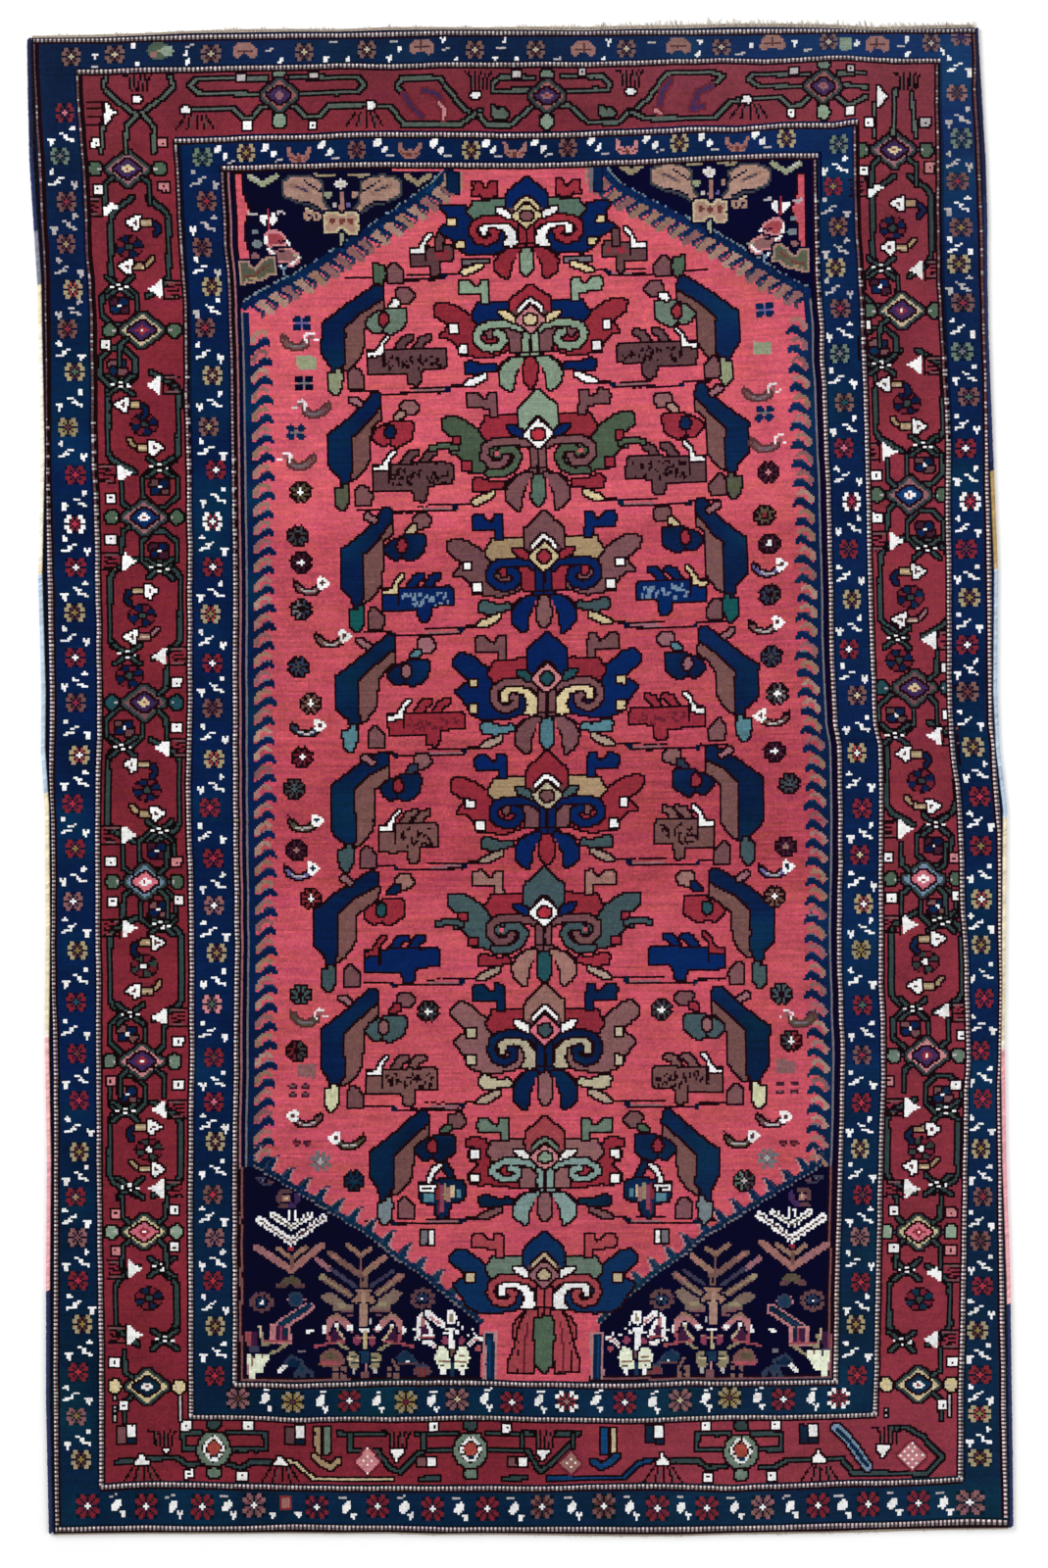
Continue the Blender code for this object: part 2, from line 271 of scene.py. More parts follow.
# -------------------------------------------------------------- dyed wools
WOOLS = {  # sRGB, 0 to 255
    "field": (190, 74, 89), "vine": (50, 66, 66), "brick": (158, 68, 58), "twig": (118, 86, 80), "bark": (142, 108, 92), "stem": (162, 128, 114),
    "dusk": (60, 57, 80), "leafy": (118, 98, 88), "boot": (174, 114, 118), "brose": (152, 74, 82),
    "purple": (62, 27, 58), "bloom": (136, 62, 86), "dteal": (24, 50, 76), "pot": (144, 132, 104),
    "olive": (86, 76, 60), "beetle": (112, 78, 70), "greyb": (46, 56, 78), "milk": (228, 234, 208),
    "blush": (170, 122, 126), "indigo": (6, 34, 87), "fawn": (150, 108, 101), "rbrown": (133, 90, 92),
    "slate": (64, 84, 88), "bone": (182, 172, 146), "dun": (164, 142, 126), "sage": (126, 151, 146),
    "lwine": (158, 66, 74), "fnavy": (15, 46, 88), "sgreen": (86, 110, 96), "moss": (74, 90, 72), "lav": (98, 90, 142), "sagey": (142, 148, 120), "oliveg": (84, 86, 70),
    "sea": (22, 84, 84), "milkg": (194, 194, 158), "steel": (110, 122, 126), "leafb": (115, 78, 76),
    "shade": (58, 62, 66), "dplum": (62, 28, 46), "rosedk": (122, 36, 46), "hazel": (114, 78, 76),
    "straww": (162, 148, 114), "umber": (88, 48, 46), "vineh": (84, 96, 88), "salmonm": (150, 84, 84), "rosered": (122, 42, 48), "dwine": (104, 32, 46), "straw": (186, 166, 122), "madder": (126, 41, 53), "navy": (10, 30, 68), "dnavy": (6, 17, 45),
    "midnight": (4, 5, 37), "dark": (28, 4, 15), "black": (16, 4, 12), "mauve": (114, 75, 79),
    "lmauve": (146, 98, 106), "plum": (92, 62, 66), "camel": (160, 135, 103),
    "ivory": (243, 242, 241), "dotted": (226, 218, 220), "cream": (208, 190, 148), "green": (76, 96, 79),
    "dgreen": (50, 62, 58), "ggreen": (102, 120, 106), "pgreen": (132, 152, 132),
    "teal": (34, 74, 82), "lteal": (80, 122, 134), "lblue": (112, 136, 160), "blue": (14, 50, 104),
    "violet": (62, 40, 84), "pink": (204, 108, 124), "wine": (144, 44, 57), "red": (176, 50, 64),
    "gold": (138, 114, 62), "rust": (106, 56, 50), "brown": (84, 48, 50), "grey": (108, 104, 110),
    "lgrey": (178, 172, 172), "palem": (142, 124, 138), "salmon": (152, 104, 98),
    "camelw": (190, 172, 140), "pinkish": (194, 126, 130),
}
INKS = list(WOOLS)
NUM = {n: i for i, n in enumerate(INKS)}
CHART = np.full((NR, NC), NUM["madder"], np.int16)
SHADE = np.zeros((NR, NC), np.float32)
MARK = np.zeros((NR, NC), bool)
dirty = []


def window(x0, y0, x1, y1):
    r = np.nonzero((ROW_HIGH >= y0 - 3) & (ROW_LOW <= y1 + 3))[0]
    c = np.nonzero((COL_HIGH >= x0 - 3) & (COL_LOW <= x1 + 3))[0]
    if len(r) == 0 or len(c) == 0:
        return None
    return slice(r[0], r[-1] + 1), slice(c[0], c[-1] + 1)


def grown(m):
    """The marked knots and every knot that touches them."""
    up = m.copy()
    up[1:] |= m[:-1]
    up[:-1] |= m[1:]
    out = up.copy()
    out[:, 1:] |= up[:, :-1]
    out[:, :-1] |= up[:, 1:]
    return out


def knot_at(x, y):
    """Row and column of the knot nearest to a place."""
    w = window(x - 6, y - 6, x + 6, y + 6)
    i = np.unravel_index(np.argmin(np.hypot(PX[w] - x, PY[w] - y)), PX[w].shape)
    return w[0].start + i[0], w[1].start + i[1]


def stamp(x, y, rows, inks):
    """Sets a small charted repeat, knot by knot, about a place."""
    r0, c0 = knot_at(x, y)
    for i, row in enumerate(rows):
        for j, mark in enumerate(row):
            r, c = r0 + i - len(rows) // 2, c0 + j - len(row) // 2
            if mark in inks and 0 <= r < NR and 0 <= c < NC:
                CHART[r, c] = NUM[inks[mark]]
                SHADE[r, c] = 0


class Pen:
    """Marks knots under simple shapes about a point, then dyes them in one go."""

    def __init__(self, x, y, size=1.0, flip=1, lean=None, turn=0.0, stretch=1.0):
        self.x, self.y, self.size, self.flip, self.stretch = x, y, size, flip, stretch
        self.lean = slope(y, x) if lean is None else lean
        self.c, self.s = math.cos(math.radians(turn)), math.sin(math.radians(turn))

    def place(self, pts):
        p = np.asarray(pts, float).reshape(-1, 2)
        px, py = p[:, 0] * self.size, p[:, 1] * self.size * self.stretch
        ax, ay = (px * self.c - py * self.s) * self.flip, px * self.s + py * self.c
        return np.stack([self.x + ax, self.y + ay + self.lean * ax], 1)

    def poly(self, pts):
        p = self.place(pts)
        w = window(p[:, 0].min(), p[:, 1].min(), p[:, 0].max(), p[:, 1].max())
        if w is None:
            return self
        X, Y = PX[w], PY[w]
        inside = np.zeros(X.shape, bool)
        for (xa, ya), (xb, yb) in zip(p, np.roll(p, -1, 0)):
            if ya == yb:
                continue
            cross = ((ya > Y) != (yb > Y)) & (X < (xb - xa) * (Y - ya) / (yb - ya) + xa)
            inside ^= cross
        MARK[w] |= inside
        dirty.append(w)
        return self

    def line(self, pts, width, closed=False):
        p = self.place(pts)
        if closed:
            p = np.vstack([p, p[:1]])
        half = max(width * self.size / 2, 0.9)
        w = window(p[:, 0].min() - half, p[:, 1].min() - half, p[:, 0].max() + half,
                   p[:, 1].max() + half)
        if w is None:
            return self
        X, Y = PX[w], PY[w]
        near = np.full(X.shape, 1e9)
        for (xa, ya), (xb, yb) in zip(p[:-1], p[1:]):
            dx, dy = xb - xa, yb - ya
            d2 = dx * dx + dy * dy
            t = np.clip(((X - xa) * dx + (Y - ya) * dy) / d2, 0, 1) if d2 > 0 else 0
            near = np.minimum(near, np.hypot(X - xa - t * dx, Y - ya - t * dy))
        MARK[w] |= near <= half
        dirty.append(w)
        return self

    def disc(self, x, y, rx, ry=None):
        ry = rx if ry is None else ry
        k = np.linspace(0, 2 * math.pi, 17)[:-1]
        return self.poly(np.stack([x + rx * np.cos(k), y + ry * np.sin(k)], 1))

    def box(self, x0, y0, x1, y1):
        return self.poly([(x0, y0), (x1, y0), (x1, y1), (x0, y1)])

    def dye(self, ink, rim=None, only=None, rim2=None):
        """Dyes the marked knots, with a rim one knot wide round them."""
        if not dirty:
            return self
        r0 = max(min(w[0].start for w in dirty) - 2, 0)
        r1 = min(max(w[0].stop for w in dirty) + 2, NR)
        c0 = max(min(w[1].start for w in dirty) - 2, 0)
        c1 = min(max(w[1].stop for w in dirty) + 2, NC)
        m = MARK[r0:r1, c0:c1]
        K, S = CHART[r0:r1, c0:c1], SHADE[r0:r1, c0:c1]
        if only is not None:
            m = m & np.isin(K, [NUM[n] for n in only])
        if rim or rim2:
            g1 = grown(m)
            if rim2:
                g2 = grown(g1)
                K[g2 & ~g1] = NUM[rim2]
            edge = g1 & ~m
            if rim:
                K[edge] = NUM[rim]
                S[edge] = 0
        K[m] = NUM[ink]
        S[m] = RNG.uniform(-0.05, 0.05)
        MARK[r0:r1, c0:c1] = False
        dirty.clear()
        return self

# ------------------------------------------------------------- the grounds
OUT_LEFT = np.arange(NC)[None, :].repeat(NR, 0)
ROW_OF = np.arange(NR)[:, None].repeat(NC, 1)
CHART[:] = NUM["navy"]
CHART[18:711, 24:447] = NUM["madder"]
CHART[51:677, 69:405] = NUM["navy"]
CHART[66:659, 90:385] = NUM["field"]
CHART[:, :2] = NUM["black"]
CHART[:, 464:] = NUM["black"]
CHART[:1] = NUM["dnavy"]
CHART[730:] = NUM["dnavy"]


def white_lines():
    """The dotted lines: a white knot and a dark one in turn, two knots wide."""
    worn = np.zeros(NR, bool)
    # outermost first: the column or row of the middle, its ends, and where it is worn dull
    upright = ((3, 2, 729, 520, "navy"), (24, 18, 710, 520, "madder"),
               (69, 51, 676, 480, "navy"), (90, 66, 658, 560, "navy"),
               (384, 66, 658, 300, "navy"), (404, 51, 676, 360, "navy"),
               (446, 18, 710, 440, "madder"), (463, 2, 729, 440, "navy"))
    level = ((2, 3, 463, "navy"), (18, 24, 446, "navy"), (51, 69, 404, "navy"),
             (66, 90, 384, "navy"), (658, 90, 384, "navy"), (676, 69, 404, "navy"),
             (710, 24, 446, "navy"), (729, 3, 463, "navy"))
    for c, r0, r1, dull_to, ground in upright:
        inner = 1 if c in (24, 404, 90) or c == 3 else -1
        for r in range(r0 - 1, r1 + 1):
            y = PY[min(max(r, 0), NR - 1), c]
            dull = y < dull_to - 40 + 60 * math.sin(r * 0.9 + c)
            CHART[r, c - 2] = NUM["dnavy" if inner == 1 else "dark"]
            CHART[r, c + 1] = NUM["dark" if inner == 1 else "dnavy"]
            if dull:
                dots = 66 < c < 400
                CHART[r, c - 1:c + 1] = NUM["black"]
                CHART[r, c - 1] = NUM["plum"] if r % 2 else NUM["palem" if dots else "mauve"]
                if RNG.random() < 0.12:
                    CHART[r, c - 1] = NUM["lgrey"]
                SHADE[r, c - 1:c + 1] = RNG.uniform(-0.22, 0.1)
            else:
                CHART[r, c - 1:c + 1] = NUM["dotted"] if r % 2 == 0 else NUM["plum"]
                SHADE[r, c - 1] = RNG.uniform(-0.14, 0.04)
                SHADE[r, c] = RNG.uniform(-0.62, -0.25)
    for r, c0, c1, _ in level:
        for c in range(c0 - 1, c1 + 1):
            CHART[r - 1:r + 1, c] = NUM["dotted"] if c % 2 == 0 else NUM["plum"]
            SHADE[r - 1, c] = RNG.uniform(-0.14, 0.04)
            SHADE[r, c] = RNG.uniform(-0.62, -0.25)
            if CHART[r - 2, c] != NUM["dotted"]:
                CHART[r - 2, c] = NUM["dnavy"]
            CHART[r + 1, c] = NUM["dark"]


# -------------------------------------------------------- the guard bands
ROSE = ("..XX...XX..",
        "..XXx.xXX..",
        "XX.Xx.xX.XX",
        "XXx.x.x.xXX",
        ".xxx.o.xxx.",
        "....ooo....",
        ".xxx.o.xxx.",
        "XXx.x.x.xXX",
        "XX.Xx.xX.XX",
        "..XXx.xXX..",
        "..XX...XX..")
SMALL_ROSE = (".XX...XX.",
              ".XXx.xXX.",
              "XX.x.x.XX",
              "XXx.o.xXX",
              "...ooo...",
              "XXx.o.xXX",
              "XX.x.x.XX",
              ".XXx.xXX.",
              ".XX...XX.")
PETALS = {  # how a rose's colour is made up: tips and hearts of its petals
    "wine": ("rosedk", "dwine"), "red": ("rosedk", "dplum"), "rust": ("hazel", "umber"),
    "cream": ("straww", "umber"), "camelw": ("straww", "brick"), "camel": ("pot", "gold"),
    "lgrey": ("ivory", "rosered"), "brown": ("twig", "umber"), "lmauve": ("rbrown", "mauve"),
    "salmon": ("salmon", "rust"), "pinkish": ("pinkish", "mauve"), "ggreen": ("ggreen", "vine"),
    "gold": ("camel", "gold"),
}


def rosette(x, y, petal, core=None, size=1.0):
    """Eight petals in pairs round a small middle."""
    tip, heart = PETALS.get(petal, (petal, petal))
    stamp(x, y, ROSE if size > 0.92 else SMALL_ROSE,
          {"X": tip, "x": heart, "o": core or petal, ".": "dnavy"})


def trefoil(x, y, ink="ivory", size=1.0):
    p = Pen(x, y, size, lean=0)
    p.poly([(-4.2, -2.6), (-2, -4.4), (0, -2.4), (2.4, -4.2), (4, -2), (1.8, 1.8), (1.4, 4.6), (-1.4, 4.6),
            (-1.6, 1.6)]).dye(ink)


def hand(x, y, f=1, ink="ivory", size=1.0):
    """A drop with two short strokes under it."""
    p = Pen(x, y, size, flip=f, lean=0)
    p.poly([(1.6, -7), (3.6, -11), (6, -10.6), (8, -7), (5, -5.4), (2.6, -5)])
    p.line([(-8, -2.2), (-0.6, 0.4)], 2.2).line([(-2.6, 3.0), (6.5, 6.0)], 2.9).dye(ink)


def dash(x, y, ink="ivory", size=1.0, flip=1):
    p = Pen(x, y, size, flip=flip, lean=0)
    p.line([(-4.2, 0.8), (4.0, -0.8)], 2.4).dye(ink)


def drop(x, y, ink="ivory", size=1.0, flip=1):
    p = Pen(x, y, size, flip=flip, lean=0)
    p.poly([(-3.4, 1.6), (0.2, -3.9), (3.0, -3.2), (2.6, 2.4), (0.5, 4.1), (-2.4, 3.4)]).dye(ink)


SIDE_ROSES = {  # x, y, petals, middle
    "left outer": ((66, 115, "red", "pink"), (62, 160, "ggreen", "grey"), (67, 205, "rust", "wine"),
                   (67, 250, "rust", "camel"), (75, 295, "camelw", "camel"), (68, 335, "rust", "wine"),
                   (75, 380, "cream", "green"), (70, 435, "camel", "brown"), (77, 485, "wine", "red"),
                   (77, 535, "lgrey", "red"), (78, 578, "wine", "ivory"), (77, 625, "cream", "gold"),
                   (77, 672, "wine", "ivory"), (77, 717, "rust", "wine"), (80, 770, "camelw", "ivory"),
                   (75, 820, "wine", "red"), (77, 867, "wine", "gold"), (75, 920, "lmauve", "ivory"),
                   (80, 970, "cream", "gold"), (77, 1023, "wine", "teal"), (78, 1075, "wine", "rust"),
                   (80, 1123, "wine", "red"), (81, 1175, "cream", "gold"), (77, 1221, "wine", "camel"),
                   (78, 1263, "lmauve", "mauve"), (80, 1307, "wine", "red"), (84, 1352, "cream", "gold"),
                   (80, 1400, "wine", "red"), (78, 1445, "lmauve", "gold"), (83, 1490, "cream", "gold")),
    "left inner": ((207, 205 - 45, "ggreen", "grey"), (210, 205, "rust", "wine"),
                   (207, 252, "rust", "brown"), (215, 292, "cream", "gold"), (210, 335, "rust", "wine"),
                   (217, 383, "cream", "camel"), (213, 435, "brown", "camel"), (220, 480, "wine", "ivory"),
                   (218, 532, "lgrey", "ivory"), (217, 578, "wine", "ivory"), (215, 627, "camelw", "gold"),
                   (217, 677, "wine", "ivory"), (217, 722, "rust", "brown"), (219, 775, "camelw", "camel"),
                   (213, 825, "wine", "red"), (218, 875, "wine", "red"), (218, 925, "lmauve", "ivory"),
                   (221, 972, "cream", "gold"), (217, 1025, "pinkish", "green"),
                   (219, 1078, "wine", "rust"), (218, 1125, "wine", "pink"), (219, 1165, "cream", "camel"),
                   (217, 1218, "rust", "red"), (218, 1262, "lmauve", "mauve"), (218, 1308, "wine", "red"),
                   (220, 1353, "cream", "gold"), (218, 1403, "wine", "red")),
    "right inner": ((855, 147, "ggreen", "grey"), (850, 190, "wine", "gold"), (855, 232, "rust", "gold"),
                    (853, 272, "cream", "gold"), (858, 315, "rust", "wine"), (857, 360, "ggreen", "grey"),
                    (862, 410, "brown", "teal"), (862, 458, "wine", "pink"), (868, 512, "lgrey", "red"),
                    (865, 560, "wine", "brown"), (869, 612, "cream", "gold"), (866, 663, "wine", "ivory"),
                    (875, 710, "brown", "cream"), (875, 768, "camelw", "ivory"), (880, 825, "wine", "red"),
                    (878, 873, "wine", "cream"), (881, 922, "camelw", "ivory"), (878, 970, "camel", "gold"),
                    (880, 1025, "wine", "green"), (880, 1077, "rust", "wine"), (878, 1125, "wine", "red"),
                    (878, 1173, "cream", "camel"), (880, 1218, "wine", "brown"),
                    (877, 1263, "lmauve", "mauve"), (877, 1308, "wine", "red"),
                    (873, 1352, "cream", "gold"), (875, 1403, "wine", "red")),
    "right outer": ((980, 38, "lmauve", "violet"), (977, 95, "salmon", "brown"),
                    (980, 142, "ggreen", "grey"), (977, 185, "rust", "wine"), (980, 232, "rust", "gold"),
                    (978, 270, "cream", "gold"), (982, 310, "rust", "wine"), (982, 358, "ggreen", "grey"),
                    (988, 405, "rust", "green"), (984, 458, "wine", "ivory"), (990, 512, "lgrey", "red"),
                    (985, 560, "wine", "brown"), (990, 610, "cream", "gold"), (987, 658, "wine", "ivory"),
                    (988, 705, "brown", "rust"), (992, 762, "cream", "gold"), (1000, 812, "wine", "red"),
                    (1000, 862, "wine", "gold"), (1002, 918, "camelw", "ivory"),
                    (1000, 965, "cream", "gold"), (1004, 1018, "wine", "red"), (1001, 1072, "wine", "red"),
                    (1002, 1122, "wine", "red"), (1000, 1173, "cream", "gold"),
                    (1002, 1222, "rust", "wine"), (1000, 1267, "rust", "brown"), (1003, 1312, "wine", "red"),
                    (998, 1357, "cream", "gold"), (1000, 1402, "wine", "red"),
                    (1000, 1443, "camelw", "gold"), (1000, 1488, "cream", "gold")),
}


def faded(y, ink="ivory"):
    """The old whites are dull near the head."""
    if y < 330:
        return "lgrey" if RNG.random() < 0.55 else "ivory"
    return ink


def side_guards():
    for name, roses in SIDE_ROSES.items():
        narrow = name == "right outer"
        for i, (x, y, petal, core) in enumerate(roses):
            rosette(x, y, petal, core, 0.9)
            if i + 1 < len(roses):
                xn, yn = roses[i + 1][:2]
                gap = yn - y
                mx, my = (x + xn) / 2, (y + yn) / 2
                if gap < 30:
                    continue
                side = 1 if (i + (name.startswith("right"))) % 2 == 0 else -1
                if name.endswith("inner"):
                    side = -side
                reach = 5.0 if narrow else 6.0
                hand(mx + side * reach - 1.0, my + 0.5, side, faded(my), 0.94)
                trefoil(mx - side * (reach + 5.5), my + 7, faded(my))


def crown(x, y, ink="pinkish"):
    p = Pen(x, y, lean=0)
    p.poly([(-12, -8), (-8, -7), (-7, -1), (-3, 1), (0, -2), (3, 1), (7, -1), (8, -7), (12, -8), (11, 3),
            (6, 8), (-6, 8), (-11, 3)]).dye(ink)
    p.disc(0, 5, 3).dye("rust")
    p.line([(-9, 2), (-5, 4)], 1.6).line([(9, 2), (5, 4)], 1.6).dye("rust")


def blob(x, y, ink="ivory", size=1.0):
    """A leaning light fleck."""
    p = Pen(x, y, size, lean=0)
    p.poly([(-4, 4), (-3, -2), (1, -5), (4, -4), (4, 1), (0, 5)]).dye(ink)


def end_guards():
    for x, y in ((73, 57), (118, 55), (215, 54), (310, 53), (375, 51), (485, 50), (547, 50),
                 (640, 50), (735, 47), (846, 43), (950, 45)):
        rosette(x, y, "brown", "camelw", 0.9)
    for x, y in ((250, 52), (430, 48), (595, 50), (692, 47), (788, 44), (895, 45)):
        p = Pen(x, y, lean=0)
        p.poly([(-13, 5), (-12, -3), (-7, -8), (6, -8), (12, -3), (13, 5), (7, 8), (3, 4), (-3, 4),
                (-7, 8)]).dye("salmon")
        p.line([(-8, 0), (8, 0)], 1.6).line([(0, -6), (0, 3)], 1.6).dye("brown")
    p = Pen(162, 52, lean=0)
    p.disc(0, 0, 12, 9).dye("green")
    p.disc(9, 0, 6, 6).dye("pgreen")
    p.disc(-5, 4, 4, 3).dye("salmon")
    p.disc(0, 0, 2).dye("camel")
    Pen(863, 45, lean=0).box(-6, -7, 6, 6).dye("pgreen")
    flecks = ((97, 57), (97, 68), (135, 47), (140, 66), (193, 47), (190, 55), (191, 63), (275, 51),
              (286, 62), (332, 60), (340, 43), (355, 60), (397, 60), (402, 42), (407, 50), (452, 41),
              (455, 50), (465, 61), (505, 60), (511, 49), (515, 41), (527, 60), (569, 60), (616, 60),
              (621, 43), (666, 43), (712, 55), (714, 43), (755, 55), (766, 46), (811, 44), (824, 51),
              (874, 44), (925, 40), (920, 47), (926, 55), (962, 52))
    for k, (x, y) in enumerate(flecks):
        if k % 3 == 0:
            trefoil(x, y, "ivory", 0.8)
        elif k % 3 == 1:
            dash(x, y, "lgrey", 0.85)
        else:
            drop(x, y, "ivory", 0.8)
    # head, inner band: rosettes and crowns in turn
    row = ((207, 162, "ggreen", "r"), (250, 157, "cream", "r"), (305, 158, "salmon", "c"),
           (365, 152, "rust", "r"), (418, 153, "salmon", "c"), (480, 153, "cream", "r"),
           (525, 153, "salmon", "c"), (580, 151, "rust", "r"), (640, 150, "pinkish", "c"),
           (693, 146, "cream", "r"), (752, 147, "salmon", "c"), (802, 141, "cream", "r"))
    for i, (x, y, ink, kind) in enumerate(row):
        if kind == "r":
            rosette(x, y, ink, "gold" if ink == "cream" else None, 0.9)
        else:
            crown(x, y, ink)
        if i + 1 < len(row):
            xn, yn = row[i + 1][:2]
            mx, my = (x + xn) / 2, (y + yn) / 2
            blob(mx - 7, my - 7, "ivory", 0.95)
            blob(mx + 1, my, "ivory", 0.8)
            dash(mx + 7, my + 6, "lgrey", 0.8)
    row = ((242, 1428, "lmauve", "brown"), (298, 1430, "camel", "brown"), (356, 1430, "wine", "ivory"),
           (413, 1430, "camel", "dwine"), (467, 1428, "lmauve", "camelw"), (522, 1430, "wine", "ivory"),
           (577, 1430, "lgrey", "salmon"), (638, 1431, "wine", "ivory"), (693, 1428, "lmauve", "camelw"),
           (745, 1427, "camel", "brown"), (800, 1427, "wine", "ivory"), (855, 1427, "lgrey", "rosered"))
    for i, (x, y, petal, core) in enumerate(row):
        rosette(x, y, petal, core, 0.95)
        if i + 1 < len(row):
            mx = (x + row[i + 1][0]) / 2
            dash(mx + 3, y - 10, "ivory", 0.8)
            blob(mx, y - 1, "ivory", 1.15)
            trefoil(mx + 5, y + 8.5, "ivory", 0.8)
    row = ((90, 1536, "wine"), (149, 1537, "wine"), (206, 1537, "wine"), (259, 1537, "lmauve"),
           (324, 1538, "red"), (385, 1538, "wine"), (441, 1539, "wine"), (497, 1539, "wine"),
           (553, 1538, "rust"), (616, 1538, "rust"), (670, 1538, "wine"), (722, 1538, "wine"),
           (778, 1537, "lmauve"), (835, 1536, "wine"), (885, 1534, "wine"), (937, 1533, "wine"),
           (989, 1532, "lmauve"))
    for i, (x, y, petal) in enumerate(row):
        rosette(x, y, petal, "ivory", 0.98)
        if i + 1 < len(row):
            mx = (x + row[i + 1][0]) / 2
            if i == 3:
                Pen(mx, y - 4, lean=0).poly([(-3, -5), (3, -5), (5, 5), (-5, 5)]).dye("salmon", "rosered")
                trefoil(mx - 13, y + 9, "ivory", 0.9)
                trefoil(mx + 13, y + 9, "ivory", 0.9)
                continue
            dash(mx - 4, y - 10, "lgrey", 0.85)
            blob(mx - 1, y, "ivory", 1.2)
            trefoil(mx + 6, y + 9, "ivory", 0.9)


# -------------------------------------------------------- the main border
def bar(p, pts, ink, width=4.2, rim="dark"):
    p.line(pts, width).dye(ink, rim)


def bird(x, y, ink="camel", head=1, size=1.0, tail=-1):
    """A straight body, an arrow head at one end and a curling tail at the other."""
    p = Pen(x, y, size, flip=head, lean=0)
    t = tail
    if t > 0:
        p.line([(-8, 0), (-14, 2), (-17, 7), (-13, 13)], 3.4)
    else:
        p.line([(-8, 0), (-14, -3), (-18, -8)], 3.2)
    p.dye("navy" if t > 0 else ink, "dark")
    p.box(-10, -2.6, 3, 2.8).dye(ink, "dark")
    p.line([(-9, 0.6), (3, 0.6)], 1.2).dye("camelw", only=[ink])
    p.poly([(2, -7), (8, -6), (17, 0), (9, 5), (8, 8), (3, 6)]).dye("ivory", "dark")
    p.poly([(6, -2.6), (11, 0), (6, 2.8)]).dye("brown")


def small_rose(x, y, ink="violet", core="ivory", size=1.0):
    p = Pen(x, y, size, lean=0)
    p.disc(-4.5, -3.2, 5.2, 4.2).disc(4.5, 3.4, 5.2, 4.2).dye("dplum" if ink == "violet" else "plum" if ink == "wine" else ink, "dark")
    p.disc(4, -3.6, 4.2, 3.6).disc(-4.4, 3.4, 4.2, 3.4).dye("navy", "dark")
    p.disc(0, 0, 1.8).dye(core)


def big_rose(x, y, ink="navy", core="vine", size=1.0):
    """Eight petals, dark and red by turns."""
    p = Pen(x, y, size, lean=0)
    p.disc(0, 0, 15, 12.5).dye("dark")
    for k in range(8):
        a = math.radians(22.5 + 45 * k)
        p.disc(9.6 * math.cos(a), 7.6 * math.sin(a), 4.0, 3.4).dye(ink if k % 2 else "dwine")
    for k in range(8):
        a = math.radians(45 * k)
        p.line([(3 * math.cos(a), 2.6 * math.sin(a)), (12 * math.cos(a), 10 * math.sin(a))], 1.2)
    p.dye("dark")
    p.disc(0, 0, 3.2, 2.8).dye(core, "dark")


def square(x, y, ink="ivory", size=1.0):
    p = Pen(x, y, size, lean=0)
    p.box(-4.6, -4.3, 4.6, 4.3).dye(ink, "dark")
    p.disc(0, 0, 1.4).dye("black")


def cross_vines(x, y, size=1.0, way="v"):
    """Where the two vines cross, with white checks."""
    p = Pen(x, y, size, lean=0, turn=0 if way == "v" else 90)
    p.line([(-13, -10), (13, 10)], 2.6).dye("vine", "black")
    p.line([(13, -10), (-13, 10)], 2.6).dye("vine", "black")
    p.disc(0, 0, 7, 3.4).dye("black")
    for dx, dy in ((-8, -0.6), (-0.6, -2.6), (0.4, 2.2), (7.6, 0.4)):
        p.box(dx - 1.9, dy - 1.1, dx + 1.9, dy + 1.1)
    p.dye("ivory")


def comb_triangle(x, y, point=1, size=1.0, way="v"):
    """A light stepped triangle pointing inwards, a dark comb behind it."""
    p = Pen(x, y, size, flip=point, lean=0) if way == "v" else Pen(x, y, size, lean=0,
                                                                   turn=90 * point)
    p.line([(-27, -9), (-9, -9)], 2.2).line([(-27, 9), (-9, 9)], 2.2).line([(-9, -10), (-9, 10)], 2.2)
    p.dye("black")
    for k, dy in enumerate((-5.5, -1.5, 2.2, 5.6)):
        p.line([(-25, dy + 0.8), (-12 - 3 * (k % 2), dy - 0.8)], 1.6)
    p.dye("dark")
    p.line([(-24, -7.2), (-12, -7.2)], 1.2).line([(-24, 7.2), (-14, 7.2)], 1.2).dye("mauve")
    p.poly([(-7, -9), (-4, -9), (-1, -5.5), (2, -3.5), (9, 0), (2, 3.5), (-1, 5.5), (-4, 9), (-7, 9)])
    p.dye("ivory", None)


def medallion(x, y, ring, core, dot, leaf, way="v", size=1.0):
    """A stepped diamond with a round leaf on each side."""
    p = Pen(x, y, size, lean=0)
    if way == "v":
        for f in (-1, 1):
            p.line([(f * 20, 0), (f * 30, 0)], 2.2).dye("vine", "black")
            p.disc(f * 33, 0, 6.2, 6.8).dye(leaf, "black")
            p.disc(f * 28.6, 0, 1.4).dye("lgrey")
    else:
        for f in (-1, 1):
            p.line([(0, f * 15), (0, f * 23)], 2.2).dye("vine", "black")
            p.disc(0, f * 25, 6.4, 5.4).dye(leaf, "black")
    wide = 21 if way == "v" else 19
    p.poly([(0, -17), (5, -12), (12, -7), (wide, 0), (12, 7), (5, 12), (0, 17), (-5, 12), (-12, 7),
            (-wide, 0), (-12, -7), (-5, -12)]).dye(ring, "vine", rim2="dark")
    p.poly([(0, -10), (14, 0), (0, 10), (-14, 0)]).dye(core, "dark")
    p.poly([(0, -5), (7, 0), (0, 5), (-7, 0)]).dye(dot)
    p.disc(0, 0, 1.5).dye("wine" if dot != "wine" else "ivory")


